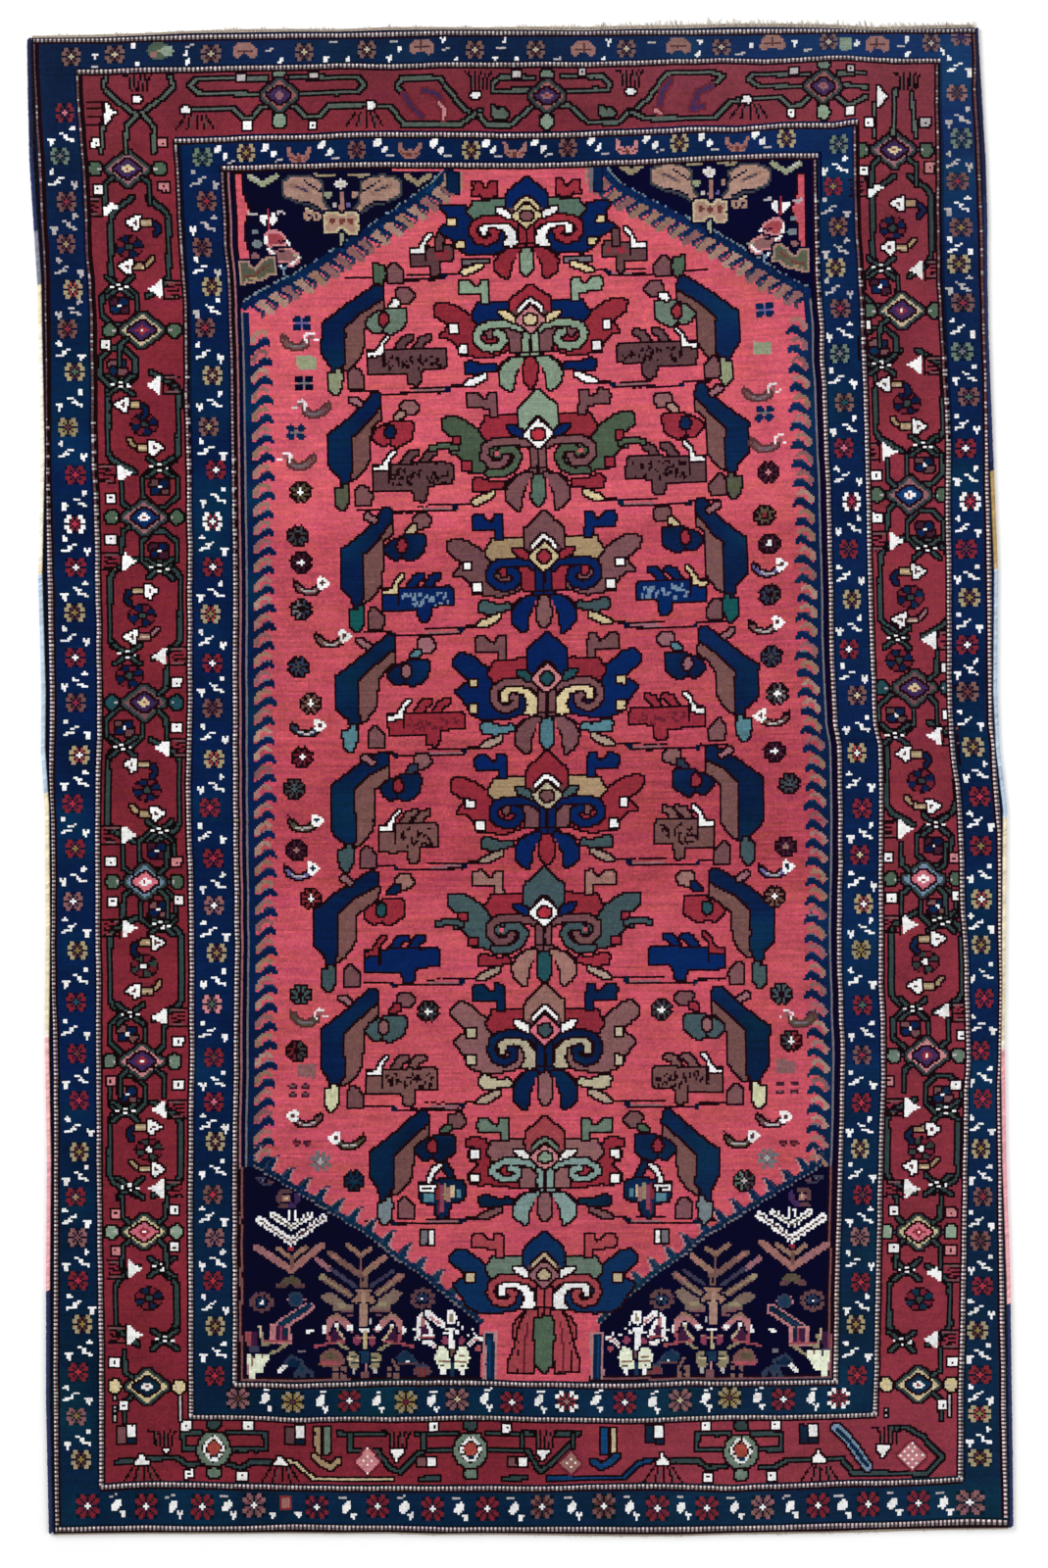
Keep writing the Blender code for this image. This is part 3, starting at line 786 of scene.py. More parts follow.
# y, medallion colours (ring, core, dot, side leaf), left x, right x, right y
SIDE_MEDALS = (
    (130, 172, 912, 153, "lmauve", "violet", "cream", "green"),
    (145, 337, 920, 317, "camelw", "violet", "wine", "green"),
    (147, 528, 928, 505, "lmauve", "blue", "ivory", "green"),
    (147, 717, 933, 702, "mauve", "violet", "cream", "teal"),
    (148, 900, 942, 897, "lblue", "pink", "ivory", "green"),
    (145, 1083, 945, 1077, "pinkish", "violet", "wine", "ggreen"),
    (147, 1257, 937, 1257, "cream", "pink", "wine", "pgreen"),
    (150, 1415, 937, 1413, "cream", "navy", "ivory", "cream"),
)
# x, y, what, facing, colour: between the medallions, left side
LEFT_FILLS = (
    (100, 193, "square", 0, "ivory"), (167, 190, "square", 0, "pinkish"),
    (113, 211, "tri", 1, ""), (145, 227, "bird", -1, "camel"), (132, 252, "rose", 0, "brown"),
    (137, 272, "bird", -1, "blue"), (122, 293, "cross", 0, ""), (158, 295, "tri", -1, ""),
    (122, 312, "rose", 0, "violet"), (108, 352, "square", 0, "ivory"), (120, 375, "rose", 0, "mauve"),
    (123, 393, "cross", 0, ""), (157, 393, "tri", -1, ""), (133, 413, "bird", -1, "camel"),
    (147, 433, "rose", 0, "navy"), (150, 457, "bird", 1, "camel"), (163, 477, "cross", 0, ""),
    (127, 483, "tri", 1, ""), (163, 497, "rose", 0, "wine"), (113, 508, "square", 0, "ivory"),
    (113, 550, "square", 0, "ivory"), (162, 562, "rose", 0, "violet"), (163, 580, "cross", 0, ""),
    (132, 573, "tri", 1, ""), (145, 603, "bird", 1, "camel"), (145, 628, "rose", 0, "navy"),
    (142, 650, "bird", -1, "mauve"), (130, 668, "cross", 0, ""), (163, 670, "tri", -1, ""),
    (132, 690, "rose", 0, "brown"), (180, 697, "square", 0, "ivory"),
    (180, 742, "square", 0, "ivory"), (127, 743, "rose", 0, "wine"), (125, 762, "cross", 0, ""),
    (165, 763, "tri", -1, ""), (142, 780, "bird", -1, "navy"), (150, 806, "rose", 0, "navy"),
    (152, 830, "bird", 1, "camel"), (163, 848, "cross", 0, ""), (132, 852, "tri", 1, ""),
    (160, 868, "rose", 0, "violet"), (113, 880, "square", 0, "ivory"), (180, 880, "square", 0, "pinkish"),
    (115, 920, "square", 0, "ivory"), (182, 918, "square", 0, "ivory"), (162, 928, "rose", 0, "mauve"),
    (165, 944, "cross", 0, ""), (132, 947, "tri", 1, ""), (152, 962, "bird", 1, "camel"),
    (147, 986, "rose", 0, "dark"), (145, 1011, "bird", -1, "camel"), (133, 1035, "cross", 0, ""),
    (163, 1038, "tri", -1, ""), (130, 1055, "rose", 0, "mauve"), (182, 1063, "square", 0, "ivory"),
    (113, 1103, "square", 0, "pinkish"), (182, 1107, "square", 0, "ivory"),
    (130, 1117, "rose", 0, "mauve"), (128, 1134, "cross", 0, ""), (162, 1132, "tri", -1, ""),
    (148, 1150, "bird", 1, "lmauve"), (152, 1173, "rose", 0, "dark"), (152, 1193, "bird", 1, "camel"),
    (133, 1212, "cross", 0, ""), (160, 1213, "tri", -1, ""), (178, 1235, "square", 0, "ivory"),
    (118, 1238, "square", 0, "pinkish"), (178, 1273, "square", 0, "ivory"),
    (118, 1276, "square", 0, "pinkish"), (165, 1293, "cross", 0, ""), (137, 1295, "tri", 1, ""),
    (152, 1325, "rose", 0, "navy"), (137, 1362, "tri", 1, ""), (168, 1367, "cross", 0, ""),
    (117, 1390, "square", 0, "ivory"), (126, 1434, "square", 0, "ivory"),
)
RIGHT_FOOT_FILLS = (
    (907, 1103, "square", 0, "pinkish"), (975, 1107, "square", 0, "ivory"),
    (962, 1117, "rose", 0, "mauve"), (965, 1133, "cross", 0, ""), (930, 1130, "tri", 1, ""),
    (943, 1152, "bird", 1, "lmauve"), (940, 1172, "rose", 0, "dark"), (938, 1190, "bird", -1, "camel"),
    (957, 1209, "cross", 0, ""), (930, 1213, "tri", 1, ""), (912, 1236, "square", 0, "ivory"),
    (970, 1238, "square", 0, "pinkish"), (912, 1273, "square", 0, "ivory"),
    (970, 1276, "square", 0, "pinkish"), (925, 1296, "cross", 0, ""), (953, 1299, "tri", -1, ""),
    (938, 1326, "rose", 0, "navy"), (950, 1367, "tri", -1, ""), (920, 1369, "cross", 0, ""),
    (972, 1390, "square", 0, "ivory"), (962, 1434, "square", 0, "ivory"),
)
# where the vines run straight beside the long hexagons: left x, right x, y from, y to
LEFT_RAILS = ((113, 172, 222, 282), (110, 182, 400, 462), (112, 184, 590, 652), (110, 183, 775, 840),
              (112, 185, 956, 1020), (112, 184, 1145, 1200), (118, 180, 1312, 1352))
RIGHT_RAILS = ((890, 950, 200, 262), (893, 962, 377, 440), (898, 968, 567, 630), (905, 975, 757, 822),
               (909, 981, 950, 1014), (905, 977, 1142, 1198), (907, 969, 1312, 1352))


def to_right(x, y):
    """Where a left fill's twin stands on the right side."""
    lx = read(line_of([(m[0], m[1]) for m in SIDE_MEDALS]), y)
    rx = read(line_of([(m[2], m[1]) for m in SIDE_MEDALS]), y)
    dy = read(line_of([(m[3] - m[1], m[1]) for m in SIDE_MEDALS]), y)
    return x - lx + rx, y + dy


def fill(x, y, what, face, ink, tail=-1):
    if what == "square":
        square(x, y, ink)
    elif what == "rose":
        if ink in ("navy", "dark", "brown"):
            big_rose(x, y, "navy" if ink != "dark" else "dgreen", "ivory" if ink == "dark" else "vine")
        else:
            small_rose(x, y, ink)
    elif what == "bird":
        bird(x, y, "lmauve" if ink == "mauve" else "camel", face, 1.0, tail)
    elif what == "cross":
        cross_vines(x, y)
    elif what == "tri":
        comb_triangle(x, y, face)


def vine_cage(xa, xb, y0, y1):
    """The two vines round a long hexagon."""
    p = Pen(0, 0, lean=0)
    m = (xa + xb) / 2
    p.line([(m - 8, y0 - 20), (xa + 4, y0 - 7), (xa, y0), (xa, y1), (xa + 4, y1 + 7),
            (m - 8, y1 + 20)], 3.2)
    p.line([(m + 8, y0 - 20), (xb - 4, y0 - 7), (xb, y0), (xb, y1), (xb - 4, y1 + 7),
            (m + 8, y1 + 20)], 3.2)
    p.dye("vine", "black")


def small_cage(x, y, w=18, h=20):
    p = Pen(x, y, lean=0)
    p.line([(-6, -h), (-w, -h * 0.45), (-w, h * 0.45), (-6, h), (6, h), (w, h * 0.45),
            (w, -h * 0.45), (6, -h)], 2.6, closed=True).dye("vine", "black")


def main_border():
    for rails in (LEFT_RAILS, RIGHT_RAILS):
        for xa, xb, y0, y1 in rails:
            vine_cage(xa, xb, y0, y1)
    fills = list(LEFT_FILLS)
    fills += [(*to_right(x, y), w, f, c) for x, y, w, f, c in LEFT_FILLS if y < 1090]
    fills += list(RIGHT_FOOT_FILLS)
    for x, y, what, face, ink in fills:
        if what == "rose" and ink not in ("navy", "dark", "brown"):
            small_cage(x, y)
    for order in ("tri", "cross", "rose", "bird", "square"):
        for f in fills:
            if f[2] == order:
                below = [g for g in fills if g[2] == "rose" and 0 < g[1] - f[1] < 36
                         and abs(g[0] - f[0]) < 30]
                fill(*f, 1 if below else -1)
    for lx, ly, rx, ry, ring, core, dot, leaf in SIDE_MEDALS:
        medallion(lx, ly, ring, core, dot, leaf)
        medallion(rx, ry, ring, core, dot, leaf)
    for lx, ly, rx, ry, *_ in SIDE_MEDALS:  # short stems from each comb to the medallion
        for x, y in ((lx, ly), (rx, ry)):
            near = [f for f in fills if f[2] == "square" and abs(f[1] - y) < 30 and abs(f[0] - x) < 45]
            for f in near:
                s = 1 if f[0] > x else -1
                g = 1 if f[1] > y else -1
                p = Pen(x, y, lean=0)
                p.line([(s * 23, g * 36), (s * 22, g * 15), (s * 15, g * 9)], 2.6).dye("vine", "black")
                square(*f[:2], f[4])


def comb(x, y, up=1, ink="black", spread=1.0):
    """Five dark strokes that fan out below a bar, or hang straight from one."""
    p = Pen(x, y, lean=0)
    if up > 0:
        for k, (a, b) in enumerate(((-9, -19), (-4.5, -8), (1.5, 1.5), (6, 10), (10, 19))):
            p.line([(a, -7), (b * spread, 8)], 2.2)
            p.dye("dark" if k % 2 else ink)
        p.line([(-2, -5), (-4, 6)], 1.4).line([(8, -5), (12, 6)], 1.4).dye("plum")
    else:
        for k, a in enumerate((-8, -2.6, 2.6, 7.6, 12.5)):
            p.line([(a * 1.15, -9), (a * 0.85, -4), (a * 0.8, 7)], 2.2)
            p.dye("dark" if k % 2 else ink)
        p.line([(-14, -9), (-9, -8), (-6, -2)], 2.0).dye(ink)
        p.line([(-5.2, -6), (-4.4, 5)], 1.4).line([(5, -6), (4.4, 5)], 1.4).dye("plum")


def small_triangle(x, y, up=1, size=1.0):
    p = Pen(x, y, size, lean=0)
    p.poly([(-1, up * -7), (2, up * -3), (4.5, up * 1), (7, up * 1.5), (7, up * 4.5), (-6.5, up * 4.5),
            (-6.5, up * 2), (-3, up * -2)]).dye("ivory", "dark")


def vines(paths, ink="vine", width=2.8):
    p = Pen(0, 0, lean=0)
    for path in paths:
        p.line(path, width).dye(ink, "black")


def faint(paths, ink):
    """Old figures that hardly show against the madder."""
    p = Pen(0, 0, lean=0)
    for path in paths:
        p.line(path, 3.6).dye(ink, "dwine")


def head_border():
    vines((
        [(272, 80), (200, 80), (194, 87), (202, 95), (268, 96)],
        [(297, 79), (366, 79), (372, 87), (364, 94), (303, 96)],
        [(190, 112), (237, 110), (247, 120), (258, 120), (266, 109), (278, 108)],
        [(292, 108), (302, 109), (312, 119), (326, 119), (336, 108), (376, 107)],
        [(412, 97), (405, 88), (410, 80), (448, 79), (472, 110), (490, 120)],
        [(378, 108), (398, 108), (412, 127), (470, 127), (490, 112)],
        [(488, 116), (497, 127), (520, 128), (530, 120), (545, 107), (555, 106)],
        [(545, 79), (510, 79), (503, 86), (503, 93), (542, 92)],
        [(573, 78), (614, 78), (622, 85), (620, 91), (575, 93)],
        [(562, 107), (580, 107), (590, 115), (600, 125), (630, 125), (643, 112)],
        [(722, 90), (738, 78), (728, 74), (680, 75), (662, 100), (643, 116)],
        [(643, 114), (658, 121), (730, 120), (745, 104), (760, 101)],
        [(825, 76), (768, 76), (764, 81), (774, 88), (822, 88)],
        [(855, 75), (882, 74)], [(857, 86), (884, 89)],
        [(762, 101), (795, 99), (805, 108), (817, 107), (826, 98), (835, 97)],
        [(848, 97), (855, 99), (865, 107), (872, 105), (884, 98)],
        [(108, 78), (105, 88), (115, 100), (140, 118), (129, 128), (128, 156)],
        [(173, 78), (177, 88), (168, 98), (145, 115), (157, 130), (157, 156)],
        [(105, 128), (103, 156)],
        [(892, 106), (892, 138)], [(913, 92), (911, 138)], [(930, 96), (934, 138)],
    ), "vineh")
    faint(([(413, 96), (418, 106), (430, 119)], [(432, 92), (446, 96), (452, 108)],
           [(684, 82), (676, 92), (673, 106)], [(726, 88), (712, 94), (706, 112), (718, 108)]), "violet")
    faint(([(448, 106), (454, 112), (452, 121)], [(668, 112), (674, 116)]), "pinkish")
    for x, y, up in ((199, 124, 1), (372, 121, 1), (764, 113, 1), (140, 86, -1), (487, 83, -1),
                     (642, 81, -1), (925, 84, -1)):
        comb(x, y, up)
    for x, y in ((190, 112), (379, 107), (762, 101)):
        Pen(x, y, lean=0).poly([(-5, 2), (-3, -4), (2, -4), (5, 1), (2, 4), (-3, 4)]).dye("ivory", "dark")
    for x, y in ((140, 102), (485, 98), (643, 94)):
        Pen(x, y, lean=0).poly([(-6, -2), (0, -4), (6, -2), (2, 3), (-2, 3)]).dye("ivory", "dark")
    for x, y in ((246, 79), (320, 77), (527, 75), (594, 73), (810, 72), (868, 70)):
        square(x, y, "lgrey", 0.72)
    for x, y in ((252, 128), (319, 127), (807, 115), (867, 113)):
        square(x, y, "ivory", 0.85)
    for x, y in ((510, 113), (620, 112)):
        Pen(x, y, lean=0).poly([(-9, 3), (-7, -6), (-2, 0), (2, -3), (9, 3), (6, 7), (-5, 7)]).dye(
            "vineh", "black")
    for x, y in ((285, 97), (558, 98), (840, 88)):
        medallion(x, y, "salmonm", "violet", "lmauve", "ggreen", "h", 0.9)
        p = Pen(x, y, lean=0)
        p.disc(0, 26, 6, 7).dye("pgreen", "black")
    # corners
    for x, y in ((112, 115), (900, 98)):
        p = Pen(x, y, lean=0)
        p.poly([(-5, -11), (-2, -9), (0, -4), (6, 0), (1, 4), (-1, 9), (-5, 11)]).dye("ivory", "dark")
    p = Pen(96, 116, lean=0)
    for dy in (-12, -5, 3, 11):
        p.line([(-7, dy), (7, dy)], 2.0)
    p.line([(8, -12), (8, 11)], 2).dye("dark")
    for x, y, ink in ((98, 146, "ivory"), (166, 146, "pinkish"), (886, 125, "ivory"), (944, 125, "lgrey")):
        square(x, y, ink, 0.9)


def white_ring(x, y):
    """A medallion with a checked white ring and small lumps round it."""
    p = Pen(x, y, lean=0)
    for f in (-1, 1):
        p.disc(0, f * 25, 6.5, 5).dye("vine" if f < 0 else "ggreen", "black")
    p.poly([(-17, 3), (-15, -7), (-8, -15), (8, -15), (15, -7), (17, 3), (13, 13), (5, 18), (-5, 18),
            (-13, 13)]).dye("ggreen", "dark")
    p.poly([(0, -14), (8, -8), (13, -1), (9, 8), (0, 15), (-9, 8), (-13, -1), (-8, -8)]).dye("dark")
    p.line([(-2, -11), (-7, -6), (-10, 0), (-7, 6), (-3, 11), (3, 11), (7, 6), (10, 0), (7, -6), (2, -11)],
           3.0, closed=True).dye("ivory")
    p.poly([(0, -8), (5, -4), (7, 0), (4, 6), (-4, 6), (-7, 0), (-5, -4)]).dye("brick")
    p.box(-3, 6, 4, 10).dye("navy")
    for dx, dy in ((-8.5, -3), (8.5, -3), (-8, 4), (8, 4), (0, -12)):
        p.box(dx - 1, dy - 1, dx + 1, dy + 1)
    p.dye("dark")


def lattice(x, y, w, h, ink="pinkish"):
    p = Pen(x, y, lean=0)
    p.poly([(0, -h), (w, 0), (0, h), (-w, 0)]).dye(ink, "dwine")
    for k in range(-3, 4):
        for j in range(-3, 4):
            if (k + j) % 2 and abs(k * 4) / w + abs(j * 4) / h < 0.9:
                p.box(k * 4 - 1, j * 4 - 1, k * 4 + 1, j * 4 + 1)
    p.dye("ivory")


def foot_border():
    vines((
        [(205, 1462), (187, 1462), (187, 1478), (205, 1478)],
        [(232, 1462), (270, 1462), (272, 1479), (234, 1479)],
        [(120, 1492), (150, 1489), (180, 1487), (192, 1495), (204, 1494)],
        [(232, 1494), (246, 1498), (256, 1492), (284, 1492)],
        [(345, 1463), (392, 1463)], [(357, 1463), (357, 1480), (388, 1480)],
        [(384, 1480), (398, 1498), (408, 1502), (420, 1490), (432, 1480), (462, 1480)],
        [(425, 1463), (465, 1463)], [(432, 1464), (432, 1478)],
        [(498, 1463), (545, 1463)], [(532, 1464), (532, 1478)], [(500, 1480), (538, 1480)],
        [(538, 1480), (551, 1502), (564, 1492), (585, 1470)], [(568, 1463), (590, 1463)],
        [(585, 1464), (585, 1476)],
        [(660, 1490), (712, 1491), (722, 1498), (740, 1496)],
        [(745, 1463), (712, 1463), (710, 1479), (745, 1479)],
        [(768, 1463), (797, 1463), (797, 1479), (772, 1479)],
        [(775, 1497), (790, 1497), (804, 1490), (858, 1488), (870, 1503), (945, 1504), (962, 1487),
         (940, 1465), (925, 1457), (908, 1458)],
        [(430, 1509), (448, 1508)], [(515, 1509), (537, 1508)],
    ))
    vines(([(292, 1490), (302, 1493), (320, 1509), (400, 1509)],), "camelw", 2.4)
    vines(([(560, 1509), (636, 1508), (650, 1494), (664, 1490)],), "blue", 3.4)
    for x, y in ((165, 1469), (405, 1470), (554, 1470), (904, 1466)):
        comb(x, y, -1)
    for x, y in ((145, 1504), (286, 1504), (676, 1504), (836, 1503)):
        comb(x, y, 1)
    for x, y in ((145, 1490), (286, 1491), (676, 1490), (835, 1487)):
        small_triangle(x, y, 1)
    for x, y in ((405, 1484), (554, 1484), (901, 1480)):
        small_triangle(x, y, -1)
    Pen(170, 1480, lean=0).poly([(-4, -1), (4, -1), (0, 3)]).dye("ivory", "dark")
    for x, y, a, b in ((129, 1461, "mauve", "ivory"), (301, 1462, "plum", "ivory"),
                       (668, 1461, "navy", "ivory"), (825, 1460, "navy", "ivory")):
        p = Pen(x, y, lean=0)
        p.box(-9, -5, -1, 11).dye(a, "dark")
        p.box(1, 5, 9, 12).dye("navy", "dark")
        p.box(0.5, -6, 9, 6).dye(b, "dark")
    for x, f, a, b in ((329, 1, "camel", "ggreen"), (621, -1, "camelw", "blue")):  # upright boots
        p = Pen(x, 1470, flip=f, lean=0)
        p.box(-7.5, -13, -2, 13).dye(a if f == 1 else a, "dark")
        p.box(1.5, -13, 7, 13).dye(b, "dark")
        p.line([(-8, 16), (-2, 22), (8, 27), (16, 21)], 5).dye(a if f == 1 else b, "dark")
    p = Pen(0, 0, lean=0)
    p.line([(853, 1457), (868, 1472), (885, 1497)], 8.5).dye("lblue", "dark")
    p.line([(854, 1459), (868, 1473), (884, 1495)], 4.4).dye("navy")
    lattice(375, 1491, 12, 14)
    lattice(582, 1493, 11, 11, "salmon")
    for x, y in ((190, 1455), (253, 1455), (193, 1504), (247, 1506), (443, 1456), (517, 1457),
                 (720, 1455), (791, 1454), (722, 1507), (787, 1506)):
        square(x, y, "ivory", 0.95)
    for x, y in ((436, 1492), (528, 1492)):
        p = Pen(x, y, lean=0)
        p.box(-10, -4, -2, 4).dye("mauve", "dark")
        p.box(1, -4, 9, 4).dye("ivory", "dark")
    for x, y in ((218, 1478), (480, 1479), (756, 1480)):
        white_ring(x, y)
    lattice(930, 1485, 15, 15)
    for paths in (([(118, 1425), (118, 1450)], [(184, 1425), (184, 1449)], [(903, 1425), (903, 1446)],
                   [(968, 1425), (968, 1445)]),):
        vines(paths, "lgrey", 1.8)
    p.line([(160, 1424), (148, 1434), (138, 1448)], 3).dye("camelw", "dark")
    p.line([(936, 1424), (944, 1436), (950, 1446)], 2.6).dye("camelw", "dark")

# ------------------------------------------------------ the field's repeat
# One palmette a row down the axis; each colour by the part it dyes.
PALMETTE_COLUMNS = ("x", "y", "cap", "chevron", "ring", "core", "shoulder", "bar", "scroll", "curl",
                    "wing", "notch", "side_drop", "mid_drop", "bowtie", "leaf", "boot", "kind")
PALMETTES = (
    (537, 220, "indigo", "cream", "cream", "mauve", "sgreen", "ivory", "wine", "ivory", "indigo", "cream",
     "wine", "pgreen", "green", "cream", "wine", "petal"),
    (541, 326, "wine", "ivory", "pinkish", "cream", "indigo", "cream", "pgreen", "mauve", "wine",
     "ivory", "pgreen", "wine", "indigo", "ivory", "pgreen", "spiral"),
    (549, 443, "pgreen", None, "ivory", "red", "wine", "indigo", "mauve", "pinkish", "moss", "wine",
     "mauve", "sgreen", "wine", "cream", "mauve", "counter"),
    (555, 568, "mauve", "ivory", "cream", "wine", "camel", "wine", "indigo", "wine", "mauve", "ivory",
     "indigo", "rbrown", "slate", "cream", "indigo", "spiral"),
    (558, 692, "indigo", None, "pinkish", "teal", "wine", "teal", "mauve", "cream", "indigo", "cream",
     "mauve", "lteal", "lteal", "dun", "mauve", "petal"),
    (558, 812, "wine", "ivory", "bone", "mauve", "camel", "slate", "indigo", "mauve", "wine", "ivory",
     "indigo", "wine", "slate", "dun", "indigo", "spiral"),
    (555, 931, "slate", None, "ivory", "red", "wine", "indigo", "mauve", "wine", "slate", "wine",
     "fawn", "teal", "wine", "dun", "fawn", "counter"),
    (556, 1051, "fawn", "ivory", "pink", "slate", "wine", "ivory", "navy", "bone", "rbrown", "bone",
     "navy", "rbrown", "bone", "dun", "navy", "petal"),
    (556, 1181, "lwine", "ggreen", "pinkish", "pgreen", "rbrown", "ivory", "sage", "rbrown", "wine",
     "ivory", "sage", "rbrown", "navy", "mauve", "ggreen", "hook"),
    (555, 1301, "fnavy", "camelw", "lmauve", "camelw", "ggreen", "ivory", "lwine", "ivory", "fnavy",
     "camelw", "lwine", "green", None, None, "lwine", "petal"),
)
WING = [(-98, -17), (-92, -20), (-84, -19), (-77, -16), (-68, -10), (-61, -5), (-56, 3), (-54, 8), (-30, 8),
        (-22, 18), (-21, 31), (-34, 36), (-44, 39), (-56, 38), (-63, 36), (-71, 36), (-73, 28), (-77, 22),
        (-83, 17), (-92, 16), (-87, 11), (-84, 6), (-84, 2), (-91, -3), (-97, -8)]
BROAD_WING = [(-95, -20), (-88, -27), (-80, -26), (-70, -18), (-60, -10), (-49, 0), (-30, 5), (-22, 18),
              (-24, 34), (-34, 38), (-48, 40), (-62, 40), (-70, 38), (-78, 33), (-81, 26), (-84, 21),
              (-92, 11), (-86, 6), (-80, 3), (-80, -2), (-87, -8), (-95, -15)]
TOP_WING = [(-87, -13), (-78, -15), (-67, -14), (-59, -10), (-50, 2), (-45, 10), (-30, 12), (-22, 24),
            (-23, 42), (-38, 46), (-57, 46), (-66, 41), (-72, 34), (-74, 27), (-90, 16), (-81, 8),
            (-80, -4)]
LOW_WING = [(-80, -19), (-71, -23), (-62, -20), (-57, -10), (-50, -3), (-46, 2), (-30, 6), (-22, 14), (-21, 33),
            (-40, 33), (-58, 30), (-66, 31), (-76, 28), (-78, 20), (-72, 15), (-67, 9), (-69, 4), (-76, 2),
            (-78, -6), (-70, -9), (-72, -13), (-79, -14)]
CAP = [(0, -47), (-9, -38), (-19, -29), (-20, -24), (-20, -6), (-12, -2), (0, -8), (12, -2), (20, -6),
       (20, -24), (19, -29), (9, -38)]
SHOULDER = [(-53, -19), (-55, -14), (-60, -6), (-53, 3), (-18, 2), (-20, -20)]
BOOT = [(-73, -38), (-71, -43), (-64, -44), (-59, -38), (-54, -35.5), (-51, -38), (-49.5, -44), (-43, -43),
        (-42, -20), (-48.6, -20), (-49, -29), (-55, -29), (-72, -30)]
BUTTERFLY = [(-55, -45), (-52, -41), (-48, -42), (-44, -35), (-39, -35), (-36, -43), (-31, -43),
             (-30, -27), (-36, -24), (-44, -24), (-47, -28), (-55, -27), (-53, -36)]
SIDE_DROP = [(-7, 40), (-18, 41), (-27, 48), (-32, 57), (-31, 67), (-25, 73), (-19, 77), (-17, 68), (-16.6, 60),
             (-12.6, 52), (-7, 46)]
MID_DROP = [(-3, 41), (3, 41), (6, 47), (6.6, 55), (6.6, 63), (4, 69), (0, 73), (-4, 69), (-6.6, 63), (-6.6, 55),
            (-6, 47)]


# how tall each palmette stands, and how tall its cap, against the fifth's
STRETCH = {220: (0.83, 1.0), 326: (0.95, 0.79), 443: (1.0, 0.97), 568: (1.0, 0.98), 692: (1.0, 1.0),
           812: (0.96, 1.0), 931: (0.97, 1.0), 1051: (1.06, 0.95), 1181: (0.89, 1.0), 1301: (0.95, 1.0)}


